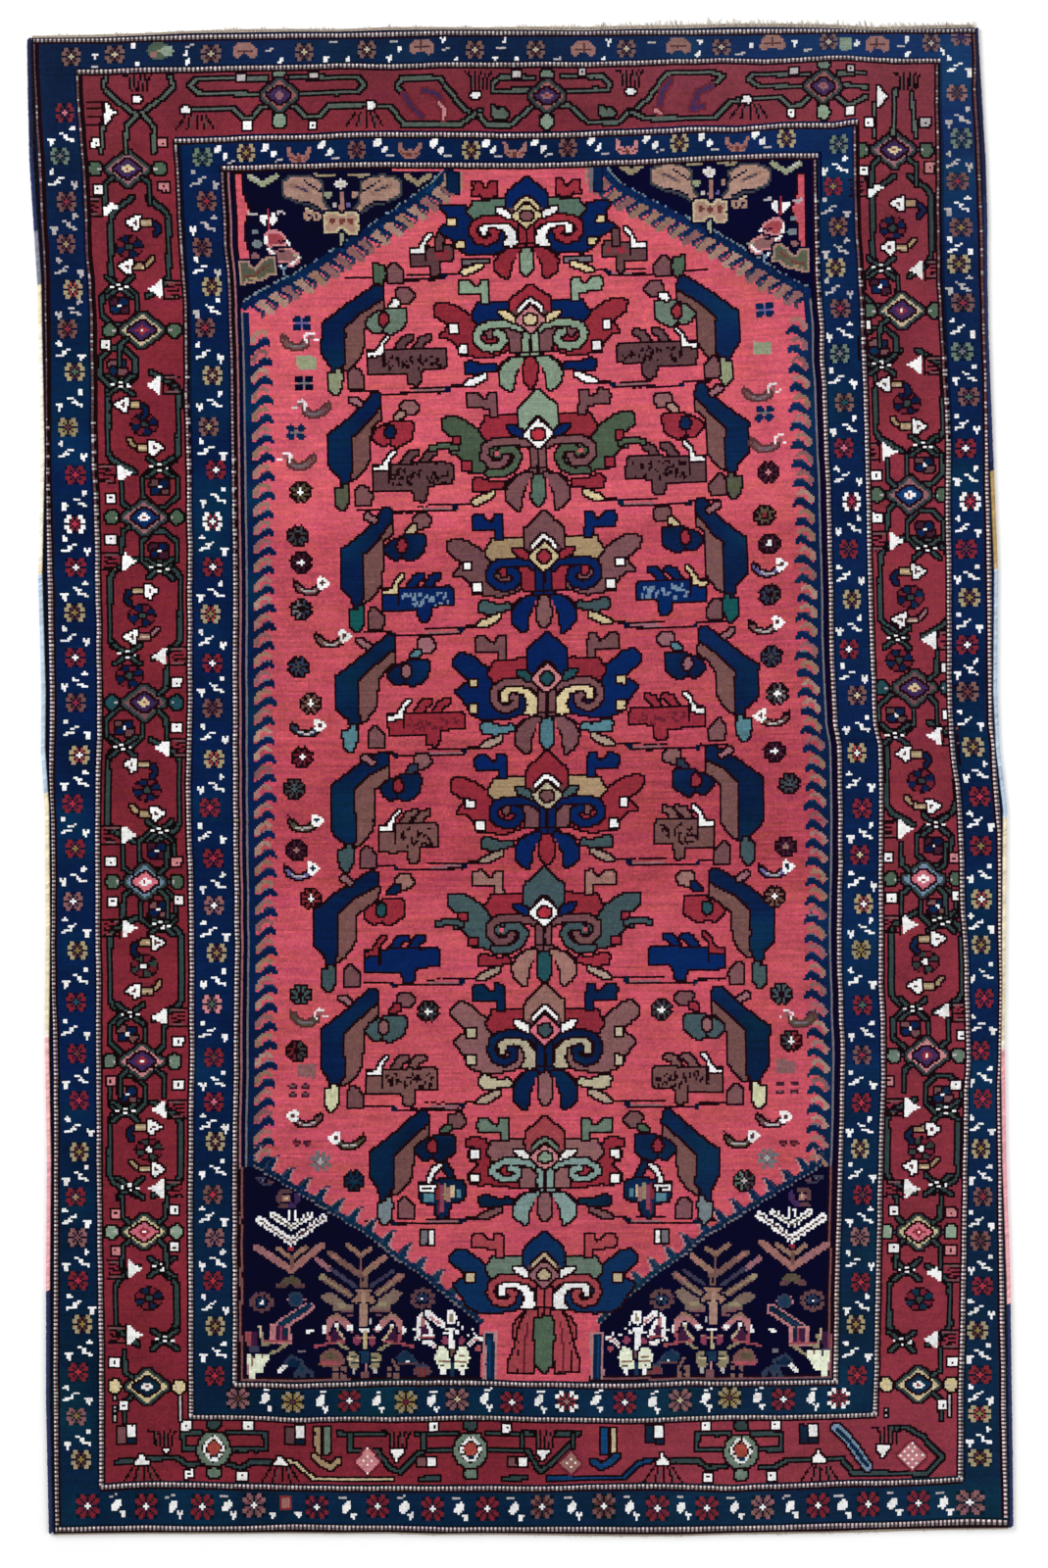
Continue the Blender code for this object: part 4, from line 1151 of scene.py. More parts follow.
def palmette(row):
    d = dict(zip(PALMETTE_COLUMNS, row))
    x, y = d["x"], d["y"]
    tall, cap = STRETCH[y]
    sides = [Pen(x, y, stretch=tall), Pen(x, y, flip=-1, stretch=tall)]
    foot, top = y > 1250, y < 250
    petal = d["kind"] == "petal"
    if top:
        wing, notches = TOP_WING, ((-76, 6), (-67, 33))
    elif d["kind"] == "hook":
        wing, notches = LOW_WING, ((-71, -4), (-72, 24))
    elif petal:
        wing, notches = BROAD_WING, ((-75, 3), (-75, 29))
    else:
        wing, notches = WING, ((-78, 7.5), (-68, 30))
        if d["kind"] == "counter":
            notches = ((-83, 4), (-73, 30))
    if foot:
        notches = notches[:1]
    for p in sides:
        p.poly(wing).dye(d["wing"], "dark")
        for sx, sy in notches:
            p.box(sx - 3.8, sy - 4, sx + 3.8, sy + 4).dye(d["notch"], "dark")
        if d["kind"] == "counter":
            p.line([(-108, 11), (-98, 9), (-84, 11)], 4).dye(d["wing"], "dark")
            p.line([(-94, -15), (-82, -12)], 5).dye("pgreen", only=["green"])
    for p in sides:
        p.poly(SHOULDER).dye(d["shoulder"], "dark")
        boot = [(bx + 4.5, by) for bx, by in BOOT] if d["kind"] == "hook" else BUTTERFLY if top else BOOT
        p.poly(boot).dye(d["boot"], "dark")
    for p in sides:
        if d["kind"] == "spiral":
            p.poly([(-46, 13), (-41, 8), (-28, 7), (-16, 10), (-7, 16), (-6, 34), (-21, 33), (-22, 22),
                    (-29, 14), (-38, 13), (-41, 21)]).dye(d["curl"], "dark")
            p.line([(-6, 12), (-14, 6), (-25, 4.5), (-40, 4.5), (-51, 8), (-55, 15), (-54, 22), (-48, 28),
                    (-40, 30), (-32, 28), (-27, 22), (-29, 16), (-34, 14)], 6.4)
            p.dye(d["scroll"], "dark")
        elif d["kind"] == "hook":
            p.poly([(-24, 12), (-14, 12), (-7, 16), (-7, 34), (-24, 33), (-27, 24)]).dye(d["curl"], "dark")
            p.line([(-5, 16), (-12, 8), (-24, 5), (-42, 5), (-52, 11), (-54, 17), (-44, 24), (-34, 25),
                    (-27, 20), (-29, 14), (-35, 12)], 5.4).dye(d["scroll"], "dark")
        elif d["kind"] == "counter":
            p.line([(-50, 38), (-36, 39), (-25, 33), (-20, 22), (-26, 15), (-36, 15), (-41, 20)],
                   6.0).dye(d["wing"], "dark")
            p.line([(-5, 12), (-14, 8), (-28, 6), (-44, 6), (-54, 12), (-55, 22), (-47, 30),
                    (-36, 29), (-33, 23)], 6.0).dye(d["scroll"], "dark")
            p.disc(-43, 18, 2.6, 2.6).dye("field")
        else:
            p.poly([(-46, 22), (-47, 13), (-42, 9), (-31, 8), (-19, 11), (-11, 20), (-9, 38), (-24, 36),
                    (-19, 27), (-23, 16), (-32, 13), (-40, 15), (-41, 22)]).dye(d["curl"], "dark")
            p.line([(-6, 14), (-15, 6), (-30, 3.5), (-44, 4), (-53, 10), (-55, 19), (-50, 28),
                    (-41, 31), (-33, 27), (-31, 20), (-35, 18)], 5.6).dye(d["scroll"], "dark")
    for p in sides:
        p.box(-7.4, 13, -1.5, 41).dye(d["scroll"], "dark")
    for p in sides:
        p.poly([(-7, 36), (-1.5, 36), (-1.5, 41), (-6, 46), (-13, 49), (-19, 44), (-14, 40)])
        p.dye(d["scroll"], "dark")
        p.poly(SIDE_DROP).dye(d["side_drop"] if d["side_drop"] else d["scroll"], "dark")
    mid = sides[0]
    if foot:
        for p in sides:
            p.poly([(-7, 38), (-16, 38), (-22, 48), (-26, 60), (-29, 76), (-35, 92), (-36, 104), (-11, 104), (-11, 62),
                    (-7, 52)]).dye(
                d["side_drop"], "dark")
            p.line([(-17, 52), (-19, 70), (-20, 104)], 2.2).dye("dwine")
            p.line([(-27, 72), (-28, 104)], 1.6).dye("dark")
        mid.poly([(-8, 46), (8, 46), (10, 60), (8, 96), (0, 104), (-8, 96), (-10, 60)]).dye(
            d["mid_drop"], "dark")
    else:
        mid.poly([(-9, 45), (9, 45), (12, 56), (11, 66), (5, 73), (0, 76), (-5, 73), (-11, 66),
                  (-12, 56)]).dye("field", None)
        mid.poly(MID_DROP).dye(d["mid_drop"], "dark")
    for p in sides:
        if d["bowtie"]:
            p.line([(-22, 40), (-29, 45), (-34, 50)], 1.8).dye("dark")
            if top:
                p.box(-65, 53, -38, 57).dye("grey", "dark")
            else:
                p.poly([(-67, 47), (-62, 43), (-55, 46), (-47, 48), (-37, 47), (-34, 50), (-35, 53),
                        (-44, 54), (-52, 56), (-65, 55)]).dye(d["bowtie"], "dark")
        if d["leaf"]:
            p.poly([(-69, 69), (-63, 64), (-54, 60), (-46, 57), (-45, 61), (-53, 66), (-61, 70)]).dye(
                d["leaf"], "dark")
    p = Pen(x, y, stretch=tall * cap)
    p.poly(CAP).dye(d["cap"], "dark")
    p = mid
    if d["chevron"]:
        p.line([(-12, -10), (-7, -16), (0, -21.5), (7, -16), (12, -10)], 3.0).dye(d["chevron"], "dark")
        for q in sides:
            q.disc(-15, -8, 3.0).dye("plum")
    else:
        p.poly([(-9, -8), (0, -17), (9, -8)]).dye("mauve", "dark")
    p.poly([(0, -14.5), (15.5, 0), (0, 14.5), (-15.5, 0)]).dye(d["ring"], "dark")
    p.poly([(-2, -5.5), (2, -5.5), (6, -2), (6, 2), (2, 5.5), (-2, 5.5), (-6, 2), (-6, -2)])
    p.dye(d["core"], "dark")
    for q in sides:
        q.poly([(-32, -9), (-25, -9), (-18, -5), (-15.5, 3), (-21, 1), (-28, -3)]).dye(d["bar"], "dark")


# Beside each palmette, left of the axis: where each thing stands and its colour.
SIDE_COLUMNS = ("row", "top", "bend", "taper", "foot", "foot_ink", "leaf_ink")
TALL_LEAVES = (
    (2, (390, 293), (330, 334), (342, 378), (342, 392), "sagey", "navy"),
    (3, (387, 403), (336, 447), (351, 490), (349, 509), "oliveg", "navy"),
    (4, (398, 520), (349, 565), (364, 614), (364, 634), "sea", "navy"),
    (5, (402, 650), (344, 694), (361, 738), (357, 756), "lteal", "navy"),
    (6, (395, 769), (340, 805), (356, 864), (353, 878), "slate", "navy"),
    (7, (385, 891), (322, 932), (336, 980), (335, 1000), "slate", "navy"),
    (8, (384, 1011), (329, 1054), (341, 1106), (338, 1122), "milkg", "navy"),
    (9, (435, 1135), (380, 1178), (391, 1218), (393, 1238), "steel", "navy"),
)
# row, x and y of the middle, lobes, core
FLOWERS = (
    (2, 391, 327, "ggreen", "wine"), (3, 398, 442, "wine", "navy"), (4, 410, 558, "navy", "wine"),
    (5, 414, 686, "navy", "lmauve"), (6, 406, 803, "navy", "wine"), (7, 389, 930, "wine", "teal"),
    (8, 391, 1049, "slate", "rbrown"), (9, 441, 1171, "navy", "wine"),
)
BUDS = (
    (2, 410, 302, "mauve", "ivory"), (3, 415, 416, "rbrown", "stem"), (4, 428, 532, "mauve", "camelw"),
    (5, 432, 659, "lmauve", "lteal"), (6, 428, 777, "rbrown", "greyb"), (7, 410, 900, "fawn", "navy"),
    (8, 411, 1021, "mauve", "wine"), (9, 463, 1144, "mauve", "green"),
)
# row, left, top, right, bottom, colour, dots, head, horns
ANIMALS = (
    (1, 419, 252, 461, 270, "plum", "wine", "ivory", 1), (2, 376, 357, 454, 380, "plum", "dark", "ivory", 3),
    (3, 382, 474, 460, 499, "plum", "dark", "ivory", 3), (4, 391, 600, 461, 622, "indigo", "lblue", "cream", 3),
    (5, 397, 728, 472, 748, "wine", "dwine", "ivory", 3), (6, 387, 841, 445, 868, "leafb", "dark", "ivory", 3),
    (7, 372, 969, 447, 990, "indigo", None, "wine", 3), (8, 375, 1091, 445, 1115, "leafb", "dark", "ivory", 3),
)
MAUVE_DROPS = ((2, 362, 385), (3, 370, 505), (4, 382, 630), (5, 383, 752), (6, 375, 874), (7, 358, 995),
               (8, 361, 1118), (9, 413, 1232), (1, 402, 278))
STUBS = ((3, 364, 410), (4, 379, 529), (5, 372, 657), (6, 377, 776), (7, 355, 899), (8, 354, 1021))


def twin(x, y):
    """The same place on the other side of the axis, along the weft."""
    y0 = y
    for _ in range(4):
        y0 += y - float(weft_y(y0, x))
    xr = 2 * float(read(AXIS, y0)) - x
    return xr, float(weft_y(y0, xr))


def both(x, y, **k):
    """A pen on each side of the axis, the second mirrored."""
    xr, yr = twin(x, y)
    return Pen(x, y, **k), Pen(xr, yr, flip=-1, **k)


def tall_leaf(row, top, bend, taper, foot, foot_ink, ink):
    ox, oy = bend
    tx, ty = top[0] - ox, top[1] - oy
    px, py = taper[0] - ox, taper[1] - oy
    fx, fy = foot[0] - ox, foot[1] - oy
    for p in both(ox, oy):
        p.poly([(tx + 1, ty + 9), (tx + 1, ty + 25), (tx - 9, ty + 33), (41, 1), (40, py - 20),
                (35, py - 11), (28, py - 3), (21, py + 1), (20, 0), (40, -15)]).dye("leafb", "dark")
        p.poly([(tx - 6, ty - 1), (tx - 1, ty), (tx + 1, ty + 4), (tx + 1, ty + 11), (35, -14),
                (21, 0), (21.5, py - 8), (px + 5, py - 3), (px + 4, py + 8), (px - 3, py + 8), (px - 4, py - 4),
                (2, py - 13), (-1, py - 18), (-1, -3), (8, -9), (27, -24)]).dye(ink, "dark")
        p.poly([(fx - 6.5, fy - 10), (fx + 1, fy - 11), (fx + 1, fy - 15), (fx + 5, fy - 15), (fx + 7, fy - 8),
                (fx + 6, fy + 3), (fx + 3, fy + 9), (fx, fy + 12), (fx - 6.5, fy + 5)]).dye(foot_ink, "dark")


def lobed_flower(row, x, y, ink, core):
    for p in both(x, y):
        p.poly([(0, -9), (3, -12), (21, -12), (23, -8), (22, 4), (15, 10), (7, 14), (2, 11), (-2, 10),
                (-7, 13), (-13, 9), (-18, 3), (-14, -3), (-5, -8)]).dye(ink, "dark")
        p.line([(0, 6), (0, 13)], 1.4).dye("dark")
        p.disc(0, -1, 4.4, 6.0).dye(core, "dark")


def bud(row, x, y, ink, stem):
    for p in both(x, y):
        p.poly([(-6, -3), (-2, -7), (7, -7), (12, 0), (7, 6), (-1, 7), (-5, 3)]).dye(ink, "dark")
        p.poly([(-14, 11), (-8, 4), (-3, 4), (-3, 9), (-9, 12)]).dye(stem, "dark")


def animal(row, x0, y0, x1, y1, ink, dots, head, horns):
    w, h = x1 - x0, y1 - y0
    for p in both(x0, y0):
        for k in range(1, horns):
            hx = w * (0.33 + 0.24 * (k - 1))
            p.poly([(hx, 2), (hx + 5, -6), (hx + 9, -12), (hx + 18, -14), (hx + 19, -10), (hx + 13, -7),
                    (hx + 10, -2), (hx + 10, 2)]).dye(ink, "dark")
        p.poly([(0, 2), (14, 1), (w - 2, 0), (w + 1, 4), (w + 1, h - 5), (w * 0.69, h - 3),
                (w * 0.67, h + 10), (w * 0.62, h + 13), (w * 0.53, h + 11), (w * 0.51, h + 1),
                (0, h + 1)]).dye(ink, "dark")
        if dots:
            for k in range(int(w * h / 48)):
                dx, dy = RNG.uniform(19, w - 3), RNG.uniform(4, h - 4)
                p.line([(dx, dy), (dx + RNG.uniform(-1.5, 1.5), dy + RNG.uniform(0.6, 3))], 2.4)
            p.dye(dots, only=[ink])
        p.line([(15.5, 1), (15.5, h * 0.75)], 2.6).dye("dark")
        p.line([(20, -13), (14.5, -7), (13, -2)], 2.4).poly([(10.5, -3), (14, -4), (14, 6), (0, 6.5), (0, 3), (9, 2)])
        p.dye(head, "dark")
        if row == 1:
            p.line([(30, -11), (29, 1)], 6.5).dye(ink, "dark")


def striped_animal(x, y):
    """A dark body with upright stripes, a horn, and a light head like a comb."""
    for p in both(x, y):
        p.line([(1, -18), (6, -10), (9, -2)], 5).dye("navy", "dark")
        p.poly([(-24, 2), (-10, -1), (8, -3), (20, 0), (23, 8), (20, 18), (8, 21), (4, 34), (-2, 37),
                (-7, 33), (-8, 22), (-21, 21), (-24, 14)]).dye("navy", "dark")
        p.box(-20, 6, -10, 20).dye("lteal")
        p.box(-7, 1, -3, 18).dye("rosered")
        p.box(-3, 4, 0, 30).dye("bloom")
        p.box(0, 2, 4, 18).dye("pot")
        p.box(4, 5, 8, 20).dye("salmon")
        p.box(8, 3, 11, 17).dye("camelw")
        p.box(-6, 20, -4, 33).dye("dwine")
        p.box(13, 8, 18, 16).dye("lteal")
        p.line([(-3, -17), (-9, -13), (-13, -5), (-15, 2)], 3.6).dye("ivory", "dark")
        p.poly([(-24, 3), (-8, 3), (-7, 6), (-10, 6), (-10, 9), (-24, 9)]).dye("ivory", "dark")
        p.line([(-22, 6), (-12, 6)], 1.5).dye("dark")


def four_lobes(p, ink="navy", cross="lav", size=1.0):
    """Four small lobes parted by a thin light cross."""
    for sx in (-1, 1):
        for sy in (-1, 1):
            p.disc(sx * 5.2 * size, sy * 4.2, 4.5 * size, 3.9)
    p.dye(ink, None)
    p.line([(-6 * size, 0), (6 * size, 0)], 1.4).line([(0, -4), (0, 4)], 1.4).dye(cross, only=[ink, "field"])


def rose(p, ink="shade", core=None, rim="dark", other=None):
    """Eight petals, each with its own dark edge, in four pairs."""
    if rim:
        for k in range(8):
            a = math.radians(22.5 + 45 * k)
            p.disc(7.7 * math.cos(a), 7.5 * math.sin(a), 4.7, 4.5)
        p.disc(0, 0, 6)
        p.dye(rim)
    else:
        for k in range(8):
            a = math.radians(22.5 + 45 * k)
            p.line([(2 * math.cos(a), 2 * math.sin(a)), (9.5 * math.cos(a), 9.2 * math.sin(a))], 4.2)
        p.dye(ink)
        for k in range(4):
            a = math.radians(90 * k)
            p.line([(3 * math.cos(a), 3 * math.sin(a)), (9 * math.cos(a), 9 * math.sin(a))], 1.2)
        p.dye("mauve", only=[ink])
    if rim:
        for k in range(8):
            a = math.radians(22.5 + 45 * k)
            p.line([(4.8 * math.cos(a), 4.6 * math.sin(a)), (8.6 * math.cos(a), 8.4 * math.sin(a))], 2.7)
            p.dye(other if other and k in (2, 3, 4, 5) else ink)
    if core:
        p.line([(-2.4, 0), (2.4, 0)], 2.4).line([(0, -3), (0, 2)], 2.4).dye(core)


def crescent(p, ink="mauve", early=False, heart="brown"):
    """A white heart for a head, and a thin curved body with an upturned tail."""
    p.line([(3, 4.5), (9, 8.5), (17, 9), (24, 6), (29, 0)], 4.6 if early else 4.0).dye(ink, "dark" if not early else "brown")
    p.line([(28, 0), (31, -6)], 2.4).dye("brown" if early else "dark")
    p.line([(7, 7.4), (15, 8.6), (22, 6.6)], 2.2).dye("grey" if early else "lgrey")
    if early:
        p.line([(3, 3), (4.5, -3), (0, -7), (-5, -6)], 2.5).line([(-5, 2), (-10, 1)], 2.2).dye("dotted")
        p.disc(-2, -2, 3.2, 2.8).dye("rbrown")
        return
    p.poly([(-10, -1), (-4, -6), (0, -8.5), (4, -8), (5, -4), (3.6, -1), (5, 3), (1, 7), (-4, 5)]).dye("ivory")
    p.disc(-1, -1, 2.7, 2.9).dye(heart)


# x, y, what, then its wools, or for a crescent the side its head is on
LEFT_COLUMN = (
    (308, 330, "four", "navy", "lav"), (315, 346, "hook", 1, "leafb"), (313, 370, "patch", "sagey"),
    (310, 391, "four", "midnight", "grey"), (308, 415, "hook", -1, "mauve"), (302, 441, "four", "navy", "grey"),
    (293, 468, "hook", -1, "mauve"), (307, 502, "rose", "olive", "ivory"), (304, 547, "rose", "shade", None),
    (307, 574, "rose", "dplum", "ivory"), (328, 596, "heart", 1, "mauve"), (307, 622, "rose", "greyb", None, "grey"),
    (350, 650, "heart", 1, "leafb"), (305, 681, "rose", "greyb", "shade"), (317, 718, "rose", "beetle", "ivory"),
    (325, 741, "heart", 1, "greyb"), (308, 773, "rose", "dwine", "ivory"), (300, 805, "rose", "shade", "slate"),
    (322, 838, "heart", 1, "olive"), (303, 868, "rose", "dplum", "salmon"), (318, 887, "heart", 1, "lav"),
    (317, 917, "rose", "rosered", "ivory"), (307, 1015, "rose", "slate", "dark"), (325, 1036, "hook", 1, "olive"),
    (303, 1073, "rose", "shade", "dark", "dwine"), (313, 1093, "patch", "rbrown"),
    (305, 1113, "wide", "dplum", "mauve"), (300, 1140, "heart", -1, "mauve"), (343, 1162, "heart", -1, "olive"),
    (308, 1166, "pair", "rosered"), (327, 1185, "soft", "grey", "lgrey"), (361, 1205, "rose", "navy", "dteal"),
)
RIGHT_COLUMN = (
    (780, 316, "four", "navy", "lav"), (778, 355, "patch", "sagey"), (787, 398, "hook", 1, "mauve"),
    (780, 422, "four", "navy", "grey"), (794, 450, "hook", 1, "mauve"), (784, 482, "rose", "dplum", "pinkish"),
    (780, 526, "rose", "olive", "rosered"), (785, 555, "rose", "dplum", "ivory"), (796, 577, "heart", 1, "lav"),
    (785, 607, "rose", "shade", None, "greyb"), (792, 636, "heart", 1, "mauve"), (787, 670, "rose", "greyb", "shade"),
    (793, 708, "rose", "grey", "ivory", "shade"), (777, 731, "heart", -1, "beetle"),
    (790, 767, "rose", "dplum", "ivory"), (805, 800, "rose", "shade", "slate"),
    (802, 864, "rose", "dplum", "fawn"), (802, 885, "heart", 1, "lav"),
    (790, 915, "rose", "beetle", "ivory"), (797, 1014, "rose", "slate", "dark"), (804, 1037, "hook", -1, "olive"),
    (807, 1062, "rose", "rosered", "ivory", "shade"), (801, 1088, "patch", "rbrown"),
    (803, 1110, "wide", "dplum", "mauve"), (800, 1140, "heart", 1, "mauve"), (767, 1160, "heart", 1, "olive"),
    (805, 1166, "pair", "rosered"), (783, 1182, "soft", "grey", "lgrey"), (759, 1205, "rose", "shade", "lgrey", "sgreen"),
)


def columns():
    for table in (LEFT_COLUMN, RIGHT_COLUMN):
        for x, y, what, ink, *more in table:
            if what in ("hook", "heart"):
                p = Pen(x, y, size=0.9, flip=-ink)
                crescent(p, more[0], what == "hook", "navy" if y in (838, 887, 885) else "brown")
                continue
            p = Pen(x, y)
            if what == "four":
                four_lobes(p, ink, more[0])
            elif what == "patch":
                p.poly([(-10, -7), (10, -6), (9.5, 1), (10, 7), (-9.5, 6.5)]).dye(ink)
            elif what == "wide":
                for sx in (-1, 1):
                    for sy in (-1, 1):
                        p.disc(sx * 6.6, sy * 4.2, 4.6, 3.0)
                p.dye(ink)
                for sx in (-1, 1):
                    for sy in (-1, 1):
                        p.line([(sx * 4.6, sy * 4.2), (sx * 8.6, sy * 4.2)], 1.8)
                p.dye(more[0])
            elif what == "pair":
                p.disc(-5.6, 0, 4.6, 3.4).disc(5.6, 0, 4.6, 3.4).dye("dplum")
                p.line([(-8, 0), (-4, 0)], 2).line([(4, 0), (8, 0)], 2).dye(ink)
            elif what == "soft":
                rose(p, ink, more[0], rim=None)
            else:
                rose(p, ink, more[0], other=more[1] if len(more) > 1 else None)


def field_edge():
    """Up each side of the field: thin stripes, then a navy strip with hooked teeth."""
    # columns counted from the white line inwards: colour and width in knots
    stripes = (("dark", 1), ("lmauve", 1), ("midnight", 2), ("grey", 1), ("navy", 3))
    for side in (1, -1):
        c = 91 if side == 1 else 383
        for ink, wide in stripes:
            for k in range(wide):
                col = c + side * k if side == 1 else c - k
                rows = (PY[:, col] > (318 if side == 1 else 305)) & (PY[:, col] < 1190)
                rows[:66] = False
                CHART[rows, col] = NUM[ink]
            c += side * wide
        line = L4 if side == 1 else R4
        y = 340.0 if side == 1 else 326.0
        while y < 1186:
            x = float(read(line, y)) + (17 if side == 1 else -12)
            p = Pen(x, y, flip=side)
            far = RNG.uniform(-1.2, 1.2)
            p.poly([(-9, 8), (4, 13), (8.5, 10), (11.5, 5.5), (17, 3.6), (21 + far, 5.5), (24 + far, 10.5),
                    (24 + far, 14.5), (21 + far, 14), (18, 12), (13.5, 14), (8, 18), (4, 23), (-9, 27)]).dye(
                "navy", only=["field"])
            p.poly([(-9, -6), (1, -1), (2, 11), (-9, 12)]).dye("navy", only=["field"])
            p.line([(11.5, 7), (14, 4.6), (19, 5.0)], 2.2).dye(
                ("greyb", "grey", "dteal")[int(RNG.integers(0, 3))], only=["navy"])
            p.line([(4.6, 8), (5.4, 4), (9.6, -0.6), (14.5, -1.8), (18, 0.8)], 4.0).disc(4.8, 7, 3.4, 4.0).dye(
                ("fawn", "rbrown", "bark", "stem")[int(RNG.integers(0, 4))], only=["field", "navy"])
            y += 19.4 + RNG.uniform(-0.9, 0.9)


def brackets():
    """A stepped double line joins each leaf to the foot of its group."""
    for row in PALMETTES[:9]:
        x, y = row[0], row[1]
        tall = STRETCH[y][0]
        for p in (Pen(x, y, stretch=tall), Pen(x, y, flip=-1, stretch=tall)):
            p.box(-119, 72, -87, 74.5).dye("lmauve")
            p.line([(-184, 72), (-156, 72), (-152, 75.6), (-85, 75.6)], 2.4)
            p.line([(-122, 69.6), (-86, 69.6)], 2.0)
            p.line([(-86, 72), (-80, 69), (-68, 69)], 3.2)
            p.dye("dark", only=["field", "lmauve"])
            p.disc(-84, 72, 3.4).dye("dnavy")
            p.disc(-154, 75, 3.0).dye("dnavy")


def side_groups():
    brackets()
    for t in TALL_LEAVES:
        tall_leaf(*t)
    for t in FLOWERS:
        lobed_flower(*t)
    for t in BUDS:
        bud(*t)
    for t in ANIMALS:
        animal(*t)
    striped_animal(452, 1206)
    for row, x, y in MAUVE_DROPS:
        for p in both(x, y):
            p.poly([(-6, -4), (-1, -10), (4, -6), (9, 1), (8, 11), (-6, 11)]).dye("mauve", "dark")
    for row, x, y in STUBS:
        for p in both(x, y):
            p.poly([(-8, -4), (-3, -5), (6, 2), (3, 5), (-7, -1)]).dye("lmauve", "dark")
    for p in both(387, 280):
        p.poly([(-5, -10), (4, -9), (6, 0), (2, 10), (-4, 8), (-6, 0)]).dye("green", "dark")
    for p in both(436, 1262):
        p.box(-6, -7, 0, 7).dye("grey", "dark")
        p.box(1, -7, 6, 7).dye("ivory", "dark")
    for p in both(437, 1032):
        rose(p, "shade", "ivory")

# ------------------------------------------------- the corners of the field
def hooked_edge(points, side, head=True):
    """Slanted hooks, brown and indigo by turns, along a corner's sloping edge."""
    pts = np.array(points, float)
    run = np.r_[0, np.cumsum(np.hypot(*np.diff(pts, axis=0).T))]
    steps = np.arange(6, run[-1] - 4, 7.6)
    for late in (0, 1):
        for k, s in enumerate(steps):
            if k % 2 == late:
                continue
            x, y = np.interp(s, run, pts[:, 0]), np.interp(s, run, pts[:, 1])
            far = 12.5 + RNG.uniform(-1.5, 2)
            p = Pen(x, y, flip=side, lean=0)
            if late == 0:
                p.line([(0, 0), (far * 0.5, 4), (far, 9.5)], RNG.uniform(8.0, 9.4))
                p.dye(("rbrown", "fawn", "bark", "rbrown", "stem")[int(RNG.integers(0, 5))])
                p.line([(far * 0.6, 0.5), (far + 1, 6)], 1.6).dye("greyb", only=["rbrown", "fawn", "bark", "stem"])
            else:
                p.line([(-1, -1), (far * 0.45, 3.4), (far - 0.5, 7)], RNG.uniform(3.4, 4.6)).dye("navy")
                p.line([(far - 3, 6), (far, 9.5), (far - 2.4, 11.5)], 2.6).dye(
                    "greyb" if RNG.random() < 0.6 else "dusk")


HEAD_LEFT = [(250, 312), (270, 299), (300, 284), (330, 266), (360, 246), (390, 226), (420, 206),
             (440, 191), (456, 176)]
HEAD_RIGHT = [(832, 302), (790, 279), (760, 259), (730, 241), (700, 226), (660, 206), (630, 190),
              (612, 168)]
FOOT_LEFT = [(248, 1180), (262, 1190), (300, 1213), (340, 1238), (380, 1262), (400, 1280), (430, 1300),
             (460, 1325), (490, 1350)]
FOOT_RIGHT = [(848, 1182), (832, 1192), (794, 1215), (754, 1240), (716, 1263), (696, 1281), (668, 1300),
              (638, 1325), (612, 1350)]


def vee(x, y, ink="ggreen", w=11, h=6, t=4):
    Pen(x, y, lean=0).line([(-w, -h / 2), (0, h / 2), (w, -h / 2)], t).dye(ink, "midnight")


def winged(x, y):
    """A capped stem with two broad wings and a square bloom at its foot."""
    for f in (1, -1):
        p = Pen(x + 1.5, y, flip=f, lean=0)
        p.poly([(-60, -13), (-53, -18), (-42, -20), (-31, -19), (-25, -16), (-20, -11), (-22, -7), (-19.5, 0),
                (-18.5, 8), (-12.5, 15), (-14, 18), (-24, 12), (-32, 7.5), (-44, 5.6), (-50, 2.4), (-58, -1),
                (-60, -7)]).dye("stem", "shade", rim2="midnight")
        p.line([(-38, -15), (-30, -10), (-22, -5)], 1.8).dye("midnight")
        p.line([(-46, 5), (-34, 6), (-22, 12)], 1.8).dye("midnight")
        p.line([(-50, -11), (-41, -8), (-32, -3)], 4.4).dye("bark")
        p.line([(-47, -10), (-40, -7), (-35, -5)], 2.2).dye("dusk")
        p.line([(-56, -8), (-50, -3), (-42, 0)], 2.0).dye("stem")
        p.line([(-27, -22), (-20, -20.4), (-8, -22)], 3.0).dye("pot", "midnight")
        p.disc(-13.5, -1.5, 4.2 if f == 1 else 3.0, 3.6).dye("sagey" if f == 1 else "stem")
        p.disc(-7.4, 9, 2.2).dye("lgrey" if f == 1 else "lav")
    p = Pen(x + 1.5, y, lean=0, flip=1 if x < 530 else -1)
    p.disc(-34, 19.5, 4.8, 5.2).disc(-25.5, 20.5, 4.2, 5).dye("stem", "midnight")
    p.disc(-33, 20, 1.7, 2.2).disc(-26, 21, 1.5, 2.2).dye("midnight")
    p.line([(-36, 13), (-30, 15)], 2).dye("camelw")
    p = Pen(x + 1.5, y, lean=0)
    p.box(-2.2, -8, 2.2, 20).dye("fawn", "midnight")
    p.disc(-0.8, -12.4, 6.8, 4.6).dye("dotted", "midnight")
    p.disc(-0.8, -12.4, 2.6, 1.8).dye("milkg")
    p.box(-2.6, 33, 2.2, 46).box(-1.4, 45, 1.2, 51).dye("sagey", "midnight")
    p.poly([(-17, 22), (-13, 17.6), (-7, 17.6), (-4, 21), (4, 21), (8, 17.6), (14, 18.4), (15.6, 24), (13, 28.6),
            (15.6, 33), (14, 37.6), (8, 37), (4, 32), (-4, 32), (-8, 36.6), (-14, 37), (-17, 32.4),
            (-14, 28)]).dye("stem", "camelw", rim2="midnight")
    for dx in (-9.5, 0, 9.5):
        p.disc(dx, 25.4, 3.2, 3.6).dye("rust")


